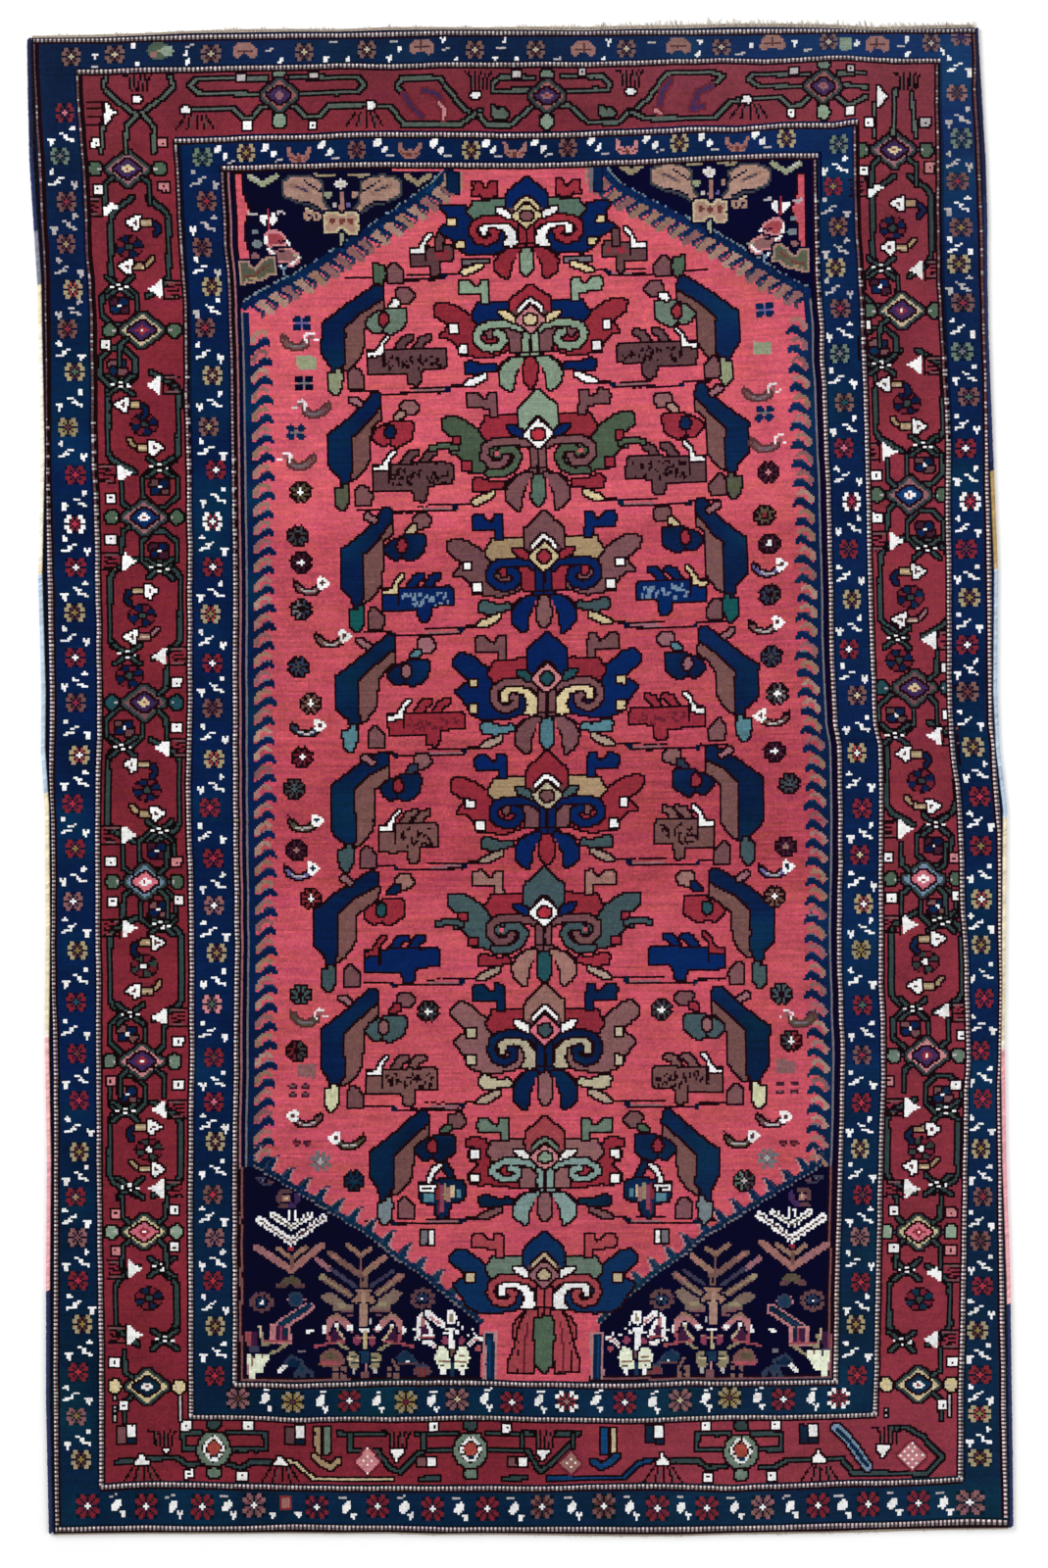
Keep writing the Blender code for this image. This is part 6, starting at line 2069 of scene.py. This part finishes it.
# ------------------------------------------------------------- placing
low_c, high_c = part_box("rug_body")
mx = (VX - ORIGIN[0]) * UNIT
my = (ORIGIN[1] - VY) * UNIT
OX = (mx.min() + mx.max()) / 2 - (low_c.x + high_c.x) * 500
OY = (my.min() + my.max()) / 2 - (low_c.y + high_c.y) * 500
WX, WY = (mx - OX) / 1000, (my - OY) / 1000


def world(x, y, z=0.0):
    """Drawing units (and mm up) to metres."""
    return ((x - ORIGIN[0]) * UNIT - OX) / 1000, ((ORIGIN[1] - y) * UNIT - OY) / 1000, z / 1000


rug = bpy.data.collections.new("rug")
bpy.context.scene.collection.children.link(rug)


def mesh_object(name, verts, faces, face_colours=None, uvs=None, uv_name="OFBake", smooth=True,
                corner_colours=None, extra_uv=None):
    """A mesh from arrays; faces is an (n, 4) array, or (n, 3)."""
    verts = np.asarray(verts, np.float32)
    faces = np.asarray(faces, np.int32)
    n, k = faces.shape
    me = bpy.data.meshes.new(name)
    me.vertices.add(len(verts))
    me.vertices.foreach_set("co", verts.ravel())
    me.loops.add(n * k)
    me.loops.foreach_set("vertex_index", faces.ravel())
    me.polygons.add(n)
    me.polygons.foreach_set("loop_start", np.arange(0, n * k, k, dtype=np.int32))
    me.polygons.foreach_set("use_smooth", np.full(n, smooth, bool))
    if uvs is not None:
        layer = me.uv_layers.new(name=uv_name)
        layer.data.foreach_set("uv", np.asarray(uvs, np.float32).ravel())
    if extra_uv is not None:
        layer = me.uv_layers.new(name="knots")
        layer.data.foreach_set("uv", np.asarray(extra_uv, np.float32).ravel())
    if face_colours is not None:
        corner_colours = np.repeat(face_colours, k, 0)
    if corner_colours is not None:
        a = me.color_attributes.new("wool", "FLOAT_COLOR", "CORNER")
        rgba = np.ones((n * k, 4), np.float32)
        rgba[:, :3] = corner_colours
        a.data.foreach_set("color", rgba.ravel())
    me.update(calc_edges=True)
    me.validate(clean_customdata=False)
    obj = bpy.data.objects.new(name, me)
    rug.objects.link(obj)
    return obj


# ------------------------------------------------------------ materials
def shader_of(name, roughness, sheen, sheen_rough=0.5):
    mat = bpy.data.materials.new(name)
    mat.use_nodes = True
    nt = mat.node_tree
    bsdf = nt.nodes["Principled BSDF"]
    bsdf.inputs["Roughness"].default_value = roughness
    bsdf.inputs["Sheen Weight"].default_value = sheen
    bsdf.inputs["Sheen Roughness"].default_value = sheen_rough
    bsdf.inputs["Specular IOR Level"].default_value = 0.06
    bsdf.inputs["Metallic"].default_value = 0.0
    return mat, nt, bsdf


def node(nt, kind, **values):
    n = nt.nodes.new(kind)
    for key, value in values.items():
        if key in n.inputs:
            n.inputs[key].default_value = value
        else:
            setattr(n, key, value)
    return n


def math_node(nt, operation, a, b=None, clamp=False):
    n = nt.nodes.new("ShaderNodeMath")
    n.operation = operation
    n.use_clamp = clamp
    for i, v in enumerate((a, b)):
        if v is None:
            continue
        if isinstance(v, (int, float)):
            n.inputs[i].default_value = v
        else:
            nt.links.new(v, n.inputs[i])
    return n.outputs[0]


def wool_material(name, bumps, knots=True, mottle=0.16, sheen=0.12, roughness=0.95, weft=0.0):
    """Wool in the colour that each knot carries, broken up fibre by fibre, with painted shade in the gaps between
    knots where knots is set.
    """
    mat, nt, bsdf = shader_of(name, roughness, sheen)
    L = nt.links.new
    attr = node(nt, "ShaderNodeAttribute", attribute_name="wool")
    tex = node(nt, "ShaderNodeTexCoord")
    fine = node(nt, "ShaderNodeTexNoise", Scale=900.0, Detail=3.0, Roughness=0.6)
    L(tex.outputs["Object"], fine.inputs["Vector"])
    coarse = node(nt, "ShaderNodeTexNoise", Scale=95.0, Detail=2.0, Roughness=0.5)
    L(tex.outputs["Object"], coarse.inputs["Vector"])
    both_n = math_node(nt, "ADD", math_node(nt, "MULTIPLY", fine.outputs["Fac"], 0.65),
                       math_node(nt, "MULTIPLY", coarse.outputs["Fac"], 0.35))
    level = node(nt, "ShaderNodeMapRange")
    level.inputs["From Min"].default_value = 0.3
    level.inputs["From Max"].default_value = 0.7
    level.inputs["To Min"].default_value = 1 - mottle
    level.inputs["To Max"].default_value = 1 + mottle
    L(both_n, level.inputs["Value"])
    scale = node(nt, "ShaderNodeVectorMath", operation="SCALE")
    L(attr.outputs["Color"], scale.inputs[0])
    L(level.outputs["Result"], scale.inputs["Scale"])
    out_colour = scale.outputs["Vector"]
    height = math_node(nt, "MULTIPLY", fine.outputs["Fac"], 0.35)
    if knots:
        uv = node(nt, "ShaderNodeUVMap", uv_map="knots")
        sep = node(nt, "ShaderNodeSeparateXYZ")
        L(uv.outputs["UV"], sep.inputs[0])
        su = math_node(nt, "ABSOLUTE", math_node(nt, "SINE", math_node(nt, "MULTIPLY", sep.outputs[0],
                                                                       math.pi)))
        sv = math_node(nt, "ABSOLUTE", math_node(nt, "SINE", math_node(nt, "MULTIPLY", sep.outputs[1],
                                                                       math.pi)))
        dome = math_node(nt, "POWER", math_node(nt, "MULTIPLY", su, sv), 0.45)
        height = math_node(nt, "ADD", height, math_node(nt, "MULTIPLY", dome, 0.8))
        # painted shade: each knot's colour is scaled from 0.80 in the low gaps between knots up to 1.03 on its top,
        # following the same dome as the bump
        shade = node(nt, "ShaderNodeMapRange")
        shade.inputs["From Min"].default_value = 0.0
        shade.inputs["From Max"].default_value = 0.55
        shade.inputs["To Min"].default_value = 0.80
        shade.inputs["To Max"].default_value = 1.03
        L(dome, shade.inputs["Value"])
        dark = node(nt, "ShaderNodeVectorMath", operation="SCALE")
        L(out_colour, dark.inputs[0])
        L(shade.outputs["Result"], dark.inputs["Scale"])
        out_colour = dark.outputs["Vector"]
        if weft > 0:
            lines = node(nt, "ShaderNodeMapRange")
            lines.inputs["From Min"].default_value = 0.42
            lines.inputs["From Max"].default_value = 0.12
            lines.inputs["To Min"].default_value = 0.0
            lines.inputs["To Max"].default_value = weft
            L(sv, lines.inputs["Value"])
            mix = node(nt, "ShaderNodeMix", data_type="RGBA")
            L(lines.outputs["Result"], mix.inputs[0])
            L(out_colour, mix.inputs[6])
            mix.inputs[7].default_value = (0.42, 0.38, 0.33, 1)
            out_colour = mix.outputs[2]
    L(out_colour, bsdf.inputs["Base Color"])
    bump = node(nt, "ShaderNodeBump")
    bump.inputs["Strength"].default_value = bumps
    bump.inputs["Distance"].default_value = 0.0006
    L(height, bump.inputs["Height"])
    L(bump.outputs["Normal"], bsdf.inputs["Normal"])
    return mat


pile_wool = wool_material("pile_wool", 0.7, sheen=0.02)
back_wool = wool_material("knotted_back", 0.6, weft=0.55, sheen=0.05, mottle=0.12)
cord_wool = wool_material("overcast_wool", 0.5, knots=False, mottle=0.2, sheen=0.15)


def cotton_material():
    mat, nt, bsdf = shader_of("warp_cotton", 0.95, 0.1)
    L = nt.links.new
    attr = node(nt, "ShaderNodeAttribute", attribute_name="wool")
    tex = node(nt, "ShaderNodeTexCoord")
    noise = node(nt, "ShaderNodeTexNoise", Scale=420.0, Detail=3.0, Roughness=0.6)
    L(tex.outputs["Object"], noise.inputs["Vector"])
    level = node(nt, "ShaderNodeMapRange")
    level.inputs["From Min"].default_value = 0.3
    level.inputs["From Max"].default_value = 0.7
    level.inputs["To Min"].default_value = 0.82
    level.inputs["To Max"].default_value = 1.06
    L(noise.outputs["Fac"], level.inputs["Value"])
    scale = node(nt, "ShaderNodeVectorMath", operation="SCALE")
    L(attr.outputs["Color"], scale.inputs[0])
    L(level.outputs["Result"], scale.inputs["Scale"])
    L(scale.outputs["Vector"], bsdf.inputs["Base Color"])
    bump = node(nt, "ShaderNodeBump")
    bump.inputs["Strength"].default_value = 0.5
    bump.inputs["Distance"].default_value = 0.0004
    L(noise.outputs["Fac"], bump.inputs["Height"])
    L(bump.outputs["Normal"], bsdf.inputs["Normal"])
    return mat


cotton = cotton_material()

# -------------------------------------------------------- the pile, in tiles
ROW_CUTS, COL_CUTS = (0, 183, 366, 549, NR), (0, 232, NC)
MARGIN = 0.006
for a, (r0, r1) in enumerate(zip(ROW_CUTS, ROW_CUTS[1:])):
    for b, (c0, c1) in enumerate(zip(COL_CUTS, COL_CUTS[1:])):
        nr, nc = r1 - r0, c1 - c0
        gx, gy = WX[r0:r1 + 1, c0:c1 + 1], WY[r0:r1 + 1, c0:c1 + 1]
        gz = VH[r0:r1 + 1, c0:c1 + 1] / 1000
        verts = [np.stack([gx, gy, gz], -1).reshape(-1, 3)]
        idx = np.arange((nr + 1) * (nc + 1)).reshape(nr + 1, nc + 1)
        # faces wound so that they face up
        faces = [np.stack([idx[1:, :-1], idx[1:, 1:], idx[:-1, 1:], idx[:-1, :-1]], -1).reshape(-1, 4)]
        ku, kv = np.meshgrid(np.arange(c0, c1 + 1), np.arange(r0, r1 + 1))
        uv = np.stack([MARGIN + (1 - 2 * MARGIN) * (ku - c0) / nc,
                       1 - MARGIN - (1 - 2 * MARGIN) * (kv - r0) / nr], -1).reshape(-1, 2)
        knot = np.stack([ku, kv], -1).reshape(-1, 2).astype(float)
        cols = [LINEAR[r0:r1, c0:c1].reshape(-1, 3)]
        uvs, knots_uv = [uv], [knot]
        count = len(verts[0])

        def wall(ring, ring_uv, ring_colour, flip, push):
            """A side of the pile, from its top edge down to the foundation."""
            global count
            top = verts[0][ring]
            low = top.copy()
            low[:, 2] = PILE_FOOT / 1000
            low[:, 0] += push[0]
            low[:, 1] += push[1]
            verts.append(low)
            uvs.append(ring_uv)
            knots_uv.append(knot[ring] + np.array([0.5, 0.5]))
            new = np.arange(count, count + len(ring))
            count += len(ring)
            q = np.stack([ring[:-1], ring[1:], new[1:], new[:-1]], -1)
            faces.append(q[:, ::-1] if flip else q)
            # painted shade: the pile's side walls take the edge knots' colour darkened to 0.7
            cols.append(ring_colour * 0.7)

        if b == 0:
            wall(idx[:, 0], np.stack([np.zeros(nr + 1), uv[idx[:, 0], 1]], -1), LINEAR[r0:r1, c0],
                 True, (0.0003, 0))
        if b == len(COL_CUTS) - 2:
            wall(idx[:, -1], np.stack([np.ones(nr + 1), uv[idx[:, -1], 1]], -1), LINEAR[r0:r1, c1 - 1],
                 False, (-0.0003, 0))
        if a == 0:
            wall(idx[0], np.stack([uv[idx[0], 0], np.ones(nc + 1)], -1), LINEAR[r0, c0:c1], False,
                 (0, -0.0003))
        if a == len(ROW_CUTS) - 2:
            wall(idx[-1], np.stack([uv[idx[-1], 0], np.zeros(nc + 1)], -1), LINEAR[r1 - 1, c0:c1], True,
                 (0, 0.0003))
        V, F = np.vstack(verts), np.vstack(faces)
        UV, KN = np.vstack(uvs)[F.ravel()], np.vstack(knots_uv)[F.ravel()]
        tile = mesh_object(f"pile_{'ABCD'[a]}{b + 1}", V, F, np.vstack(cols), UV, extra_uv=KN)
        tile.data.materials.append(pile_wool)
        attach(tile, "root")

# ------------------------------------------------ the foundation, seen behind
step_r = np.r_[np.arange(0, NR, 2), NR]
step_c = np.r_[np.arange(0, NC, 2), NC]
gx, gy = WX[np.ix_(step_r, step_c)], WY[np.ix_(step_r, step_c)]
nr, nc = len(step_r) - 1, len(step_c) - 1
ridge = RNG.normal(0, 0.06, gx.shape)
gz = (0.32 + np.abs(ridge)) / 1000
verts = [np.stack([gx, gy, gz], -1).reshape(-1, 3)]
idx = np.arange((nr + 1) * (nc + 1)).reshape(nr + 1, nc + 1)
faces = [np.stack([idx[:-1, :-1], idx[:-1, 1:], idx[1:, 1:], idx[1:, :-1]], -1).reshape(-1, 4)]
behind = LINEAR[np.ix_(step_r[:-1], step_c[:-1])]
grey_b = behind.mean(2, keepdims=True)
behind = behind * 0.82 + grey_b * 0.10 + 0.012
ku, kv = np.meshgrid(step_c, step_r)
uv = np.stack([MARGIN + (1 - 2 * MARGIN) * ku / NC, MARGIN + (1 - 2 * MARGIN) * kv / NR],
              -1).reshape(-1, 2)
knot = np.stack([ku, kv], -1).reshape(-1, 2).astype(float)
cols, uvs, knots_uv = [behind.reshape(-1, 3)], [uv], [knot]
count = len(verts[0])
for ring, side, uv_at, wool in (
        (idx[:, 0], "l", lambda r: np.stack([np.zeros(len(r)), uv[r, 1]], -1), behind[:, 0]),
        (idx[:, -1], "r", lambda r: np.stack([np.ones(len(r)), uv[r, 1]], -1), behind[:, -1]),
        (idx[0], "h", lambda r: np.stack([uv[r, 0], np.zeros(len(r))], -1), behind[0]),
        (idx[-1], "f", lambda r: np.stack([uv[r, 0], np.ones(len(r))], -1), behind[-1])):
    top = verts[0][ring].copy()
    top[:, 2] = PILE_FOOT / 1000
    inward = {"l": (0.0003, 0), "r": (-0.0003, 0), "h": (0, -0.0003), "f": (0, 0.0003)}[side]
    top[:, 0] += inward[0]
    top[:, 1] += inward[1]
    verts.append(top)
    uvs.append(uv_at(ring))
    knots_uv.append(knot[ring] + 0.5)
    new = np.arange(count, count + len(ring))
    count += len(ring)
    q = np.stack([ring[:-1], ring[1:], new[1:], new[:-1]], -1)
    faces.append(q if side in "lf" else q[:, ::-1])
    # painted shade: the foundation's edge walls take the back's colour darkened to 0.75
    cols.append(wool * 0.75)
V, F = np.vstack(verts), np.vstack(faces)
foundation = mesh_object("foundation", V, F, np.vstack(cols), np.vstack(uvs)[F.ravel()],
                         extra_uv=np.vstack(knots_uv)[F.ravel()], smooth=True)
foundation.data.materials.append(back_wool)
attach(foundation, "root")
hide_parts("rug_body")

# --------------------------------------------------- the overcast side cords
# y from the head, wool
LEFT_WRAPS = ((0, "dnavy"), (150, "navy"), (235, "grey"), (290, "cream"), (330, "ivory"), (575, "cream"),
              (585, "lblue"), (800, "lblue"), (808, "cream"), (1050, "ivory"), (1058, "salmon"),
              (1180, "pink"), (1308, "salmon"), (1316, "navy"), (1600, "dnavy"))
RIGHT_WRAPS = ((0, "dnavy"), (200, "navy"), (470, "dnavy"), (480, "gold"), (574, "camel"), (580, "lblue"),
               (828, "lblue"), (834, "cream"), (1062, "ivory"), (1070, "pink"), (1320, "salmon"),
               (1330, "navy"), (1600, "dnavy"))
PALER = {"ivory": (238, 230, 214), "cream": (228, 214, 182), "lblue": (176, 194, 214),
         "salmon": (232, 172, 172), "pink": (228, 160, 168), "gold": (178, 148, 96),
         "camel": (188, 158, 118), "grey": (120, 122, 140), "navy": (34, 44, 86), "dnavy": (26, 30, 64)}


def wrap_colour(table, y):
    ys = [t[0] for t in table]
    k = int(np.searchsorted(ys, y, side="right") - 1)
    k = min(max(k, 0), len(table) - 1)
    return np.array(PALER[table[k][1]], float) / 255


def side_cord(name, edge, sign, table, node_name, seed):
    rng = np.random.default_rng(seed)
    turns, sides = 640, 10
    y_head = VY[0, 0 if sign < 0 else NC]
    y_foot = VY[NR, 0 if sign < 0 else NC]
    low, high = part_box(node_name)
    stations = turns * 2 + 1
    ys = np.linspace(y_head, y_foot, stations)
    wob = np.convolve(rng.normal(0, 1, stations + 60), np.ones(61) / 61, "valid")[:stations] * 1.1
    xs = read(edge, ys) + sign * (GAP + CORD_DIA / 2) / UNIT + wob * 0.10
    cx, cy, cz = world(xs, ys, np.full(stations, CORD_LIFT + CORD_DIA / 2))
    thick = np.repeat(rng.normal(1.0, 0.05, turns + 1), 2)[:stations]
    base = np.where(np.arange(stations) % 2 == 0, 0.86, 1.03) * thick
    rad = CORD_DIA / 2 * np.clip(base, 0.75, 1.12) / 1000
    rad[0] = rad[-1] = 0.0012
    ang = np.linspace(0, 2 * math.pi, sides, endpoint=False)
    lean_wrap = 0.0012 * np.cos(ang)  # each wrap crosses the cord a little aslant
    vx = cx[:, None] + rad[:, None] * np.cos(ang)[None]
    vy = np.repeat(cy[:, None], sides, 1) + lean_wrap[None]
    vz = cz[:, None] + rad[:, None] * np.sin(ang)[None] * 0.94
    verts = np.stack([vx, vy, vz], -1).reshape(-1, 3)
    idx = np.arange(stations * sides).reshape(stations, sides)
    nxt = np.roll(idx, -1, 1)
    F = np.stack([idx[:-1], nxt[:-1], nxt[1:], idx[1:]], -1).reshape(-1, 4)
    wool = np.array([wrap_colour(table, y) for y in ys[:-1]])
    wool *= (1 + rng.normal(0, 0.05, (turns, 1)).repeat(2, 0)) * np.where(
        np.arange(stations - 1) % 2 == 0, 0.97, 1.0)[:, None]
    wool = to_linear(np.clip(wool, 0.01, 0.97))
    # the map runs down the cord in sixteen strips
    strips = 16
    per = (stations - 1) / strips
    seg = np.arange(stations - 1)
    strip = np.minimum((seg / per).astype(int), strips - 1)
    t0, t1 = (seg - strip * per) / per, (seg + 1 - strip * per) / per
    t0, t1 = np.clip(t0, 0, 1) * 0.996 + 0.002, np.clip(t1, 0, 1) * 0.996 + 0.002
    k = np.arange(sides)
    v0 = (strip[:, None] + 0.04 + 0.92 * k[None] / sides) / strips
    v1 = (strip[:, None] + 0.04 + 0.92 * (k[None] + 1) / sides) / strips
    T0, T1 = np.repeat(t0[:, None], sides, 1), np.repeat(t1[:, None], sides, 1)
    UV = np.stack([np.stack([T0, v0], -1), np.stack([T0, v1], -1), np.stack([T1, v1], -1),
                   np.stack([T1, v0], -1)], 2).reshape(-1, 2)
    # close both ends
    mids = np.array([[cx[0], cy[0], cz[0]], [cx[-1], cy[-1], cz[-1]]])
    n = len(verts)
    verts = np.vstack([verts, mids])
    caps = []
    for ring, mid, flip in ((idx[0], n, False), (idx[-1], n + 1, True)):
        for j in range(0, sides, 2):
            q = [ring[j], mid, ring[(j + 2) % sides], ring[j + 1]]
            caps.append(q[::-1] if flip else q)
    F = np.vstack([F, np.array(caps)])
    UV = np.vstack([UV, np.tile(np.array([[0.001, 0.001], [0.001, 0.002], [0.002, 0.002],
                                          [0.002, 0.001]]), (len(caps), 1))])
    cols = np.vstack([np.repeat(wool, sides, 0), np.repeat(wool[:1], len(caps), 0)])
    obj = mesh_object(name, verts, F, cols, UV)
    obj.data.materials.append(cord_wool)
    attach(obj, "root")
    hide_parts(node_name)
    return obj


cord_left = side_cord("side_cord_left", LEFT_EDGE, -1, LEFT_WRAPS, "selvedge_left", 41)
cord_right = side_cord("side_cord_right", RIGHT_EDGE, 1, RIGHT_WRAPS, "selvedge_right", 42)


# -------------------------------------------------------------- the fringes
def fringe(name, head, node_name, seed):
    """The narrow woven end and its worn warp ends."""
    rng = np.random.default_rng(seed)
    out = 1 if head else -1
    edge_y = VY[0] if head else VY[NR]
    edge_x = VX[0] if head else VX[NR]
    reach_at = HEAD_REACH if head else FOOT_REACH
    verts, faces, cols = [], [], []

    def tube(path, radius, sides, wool, flat=0.7):
        n0 = len(verts)
        pts = np.array(path)
        for i, (x, y, z) in enumerate(pts):
            d = pts[min(i + 1, len(pts) - 1)] - pts[max(i - 1, 0)]
            h = math.hypot(d[0], d[1]) or 1e-9
            nx, ny = -d[1] / h, d[0] / h
            r = radius * (1.0 if i < len(pts) - 1 else 0.35)
            for k in range(sides):
                a = 2 * math.pi * k / sides
                verts.append((x + nx * r * math.cos(a), y + ny * r * math.cos(a),
                              z + r * flat * math.sin(a)))
        for i in range(len(pts) - 1):
            for k in range(sides):
                p, q = n0 + i * sides + k, n0 + i * sides + (k + 1) % sides
                faces.append((p, q, q + sides, p + sides))
                cols.append(wool)
        if sides == 4:
            faces.append((n0 + 3, n0 + 2, n0 + 1, n0))
            last = n0 + (len(pts) - 1) * sides
            faces.append((last, last + 1, last + 2, last + 3))
            cols.extend([wool, wool])

    # the woven band: wefts side by side along the edge
    wefts = 3
    for w in range(wefts):
        path = []
        wool = to_linear(np.array([0.70, 0.64, 0.58]) * rng.uniform(0.92, 1.04))
        for j in range(0, NC + 1, 3):
            x, y = edge_x[j], edge_y[j]
            reach = max(float(read(reach_at, (x - 532) * UNIT)), 4.0)
            depth = min(reach * 0.42, 5.2)
            off = 0.5 + depth * (w + 0.5) / wefts
            X, Y, Z = world(x, y - out * off / UNIT, 1.0 + 0.25 * ((j // 3 + w) % 2))
            path.append((X, Y, Z))
        tube(path, 0.0009, 4, wool, 0.8)
    # the warp ends
    for j in range(1, NC, 1):
        x, y = edge_x[j], edge_y[j]
        across = (x - 532) * UNIT
        reach = max(float(read(reach_at, across)), 4.0)
        lumps = 0.72 + 0.28 * math.sin(j * 0.37 + 1.7 * math.sin(j * 0.11)) * rng.uniform(0.2, 1)
        length = reach * min(max(lumps * rng.uniform(0.7, 1.12), 0.3), 1.12)
        lean = rng.normal(0, 0.22)
        wool = to_linear(np.clip(np.array([0.86, 0.82, 0.76]) * rng.uniform(0.86, 1.1), 0, 0.95))
        if rng.random() < 0.10:
            wool = to_linear(np.array([0.62, 0.52, 0.46]))
        path = []
        for t in (0.0, 0.3, 0.62, 1.0):
            d = length * t
            sway = lean * d + 0.4 * math.sin(t * 5 + j)
            X, Y, Z = world(x + sway / UNIT, y - out * (0.25 + d) / UNIT,
                            0.6 + 1.1 * (1 - t) * (0.7 if j % 2 else 1.0))
            path.append((X, Y, Z))
        tube(path, 0.00062, 4, wool, 0.8)
    F = np.array(faces)
    obj = mesh_object(name, np.array(verts), F, np.array(cols))
    obj.data.materials.append(cotton)
    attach(obj, "root")
    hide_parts(node_name)
    return obj


fringe_top = fringe("fringe_strands_head", True, "fringe_head", 51)
fringe_low = fringe("fringe_strands_foot", False, "fringe_foot", 52)

# ------------------------------------------------------ floor, light, camera
floor_mesh = bpy.data.meshes.new("floor")
floor_mesh.from_pydata([(-9, -9, -0.0006), (9, -9, -0.0006), (9, 9, -0.0006), (-9, 9, -0.0006)], [],
                       [(0, 1, 2, 3)])
floor = bpy.data.objects.new("floor", floor_mesh)
bpy.context.scene.collection.objects.link(floor)
fmat, fnt, fb = shader_of("floor_plain", 0.9, 0.0)
fb.inputs["Base Color"].default_value = (0.93, 0.93, 0.93, 1)
fb.inputs["Specular IOR Level"].default_value = 0.0
floor_mesh.materials.append(fmat)

world_bg = bpy.data.worlds.new("studio")
world_bg.use_nodes = True
world_bg.node_tree.nodes["Background"].inputs["Color"].default_value = (1, 1, 1, 1)
world_bg.node_tree.nodes["Background"].inputs["Strength"].default_value = 0.62
bpy.context.scene.world = world_bg


def area_light(name, at, aim, size, power):
    light = bpy.data.lights.new(name, "AREA")
    light.shape = "SQUARE"
    light.size = size
    light.energy = power
    obj = bpy.data.objects.new(name, light)
    obj.location = at
    obj.rotation_mode = "QUATERNION"
    obj.rotation_quaternion = (Vector(aim) - Vector(at)).to_track_quat("-Z", "Y")
    bpy.context.scene.collection.objects.link(obj)
    return obj


area_light("key", (-2.6, 2.4, 3.2), (0, 0, 0), 2.4, 135)
area_light("fill", (2.8, -1.4, 3.4), (0, 0, 0), 3.0, 60)

cam_data = bpy.data.cameras.new("camera")
cam_data.lens = 100.0
cam_data.sensor_width = 36.0
cam = bpy.data.objects.new("camera", cam_data)
bpy.context.scene.collection.objects.link(cam)
FRAME_W, FRAME_H = 1069, 1600
cx, cy, _ = world(FRAME_W / 2, FRAME_H / 2)
distance = (FRAME_H * UNIT / 1000 / 2) / (18.0 / cam_data.lens)
cam.location = (cx, cy, 0.0076 + distance)
cam.rotation_euler = (0, 0, 0)
cam_data.clip_start, cam_data.clip_end = 0.05, 50
bpy.context.scene.camera = cam

scene = bpy.context.scene
scene.view_settings.view_transform = "Standard"
scene.view_settings.look = "None"
scene.view_settings.exposure = 0.0
scene.view_settings.gamma = 1.0
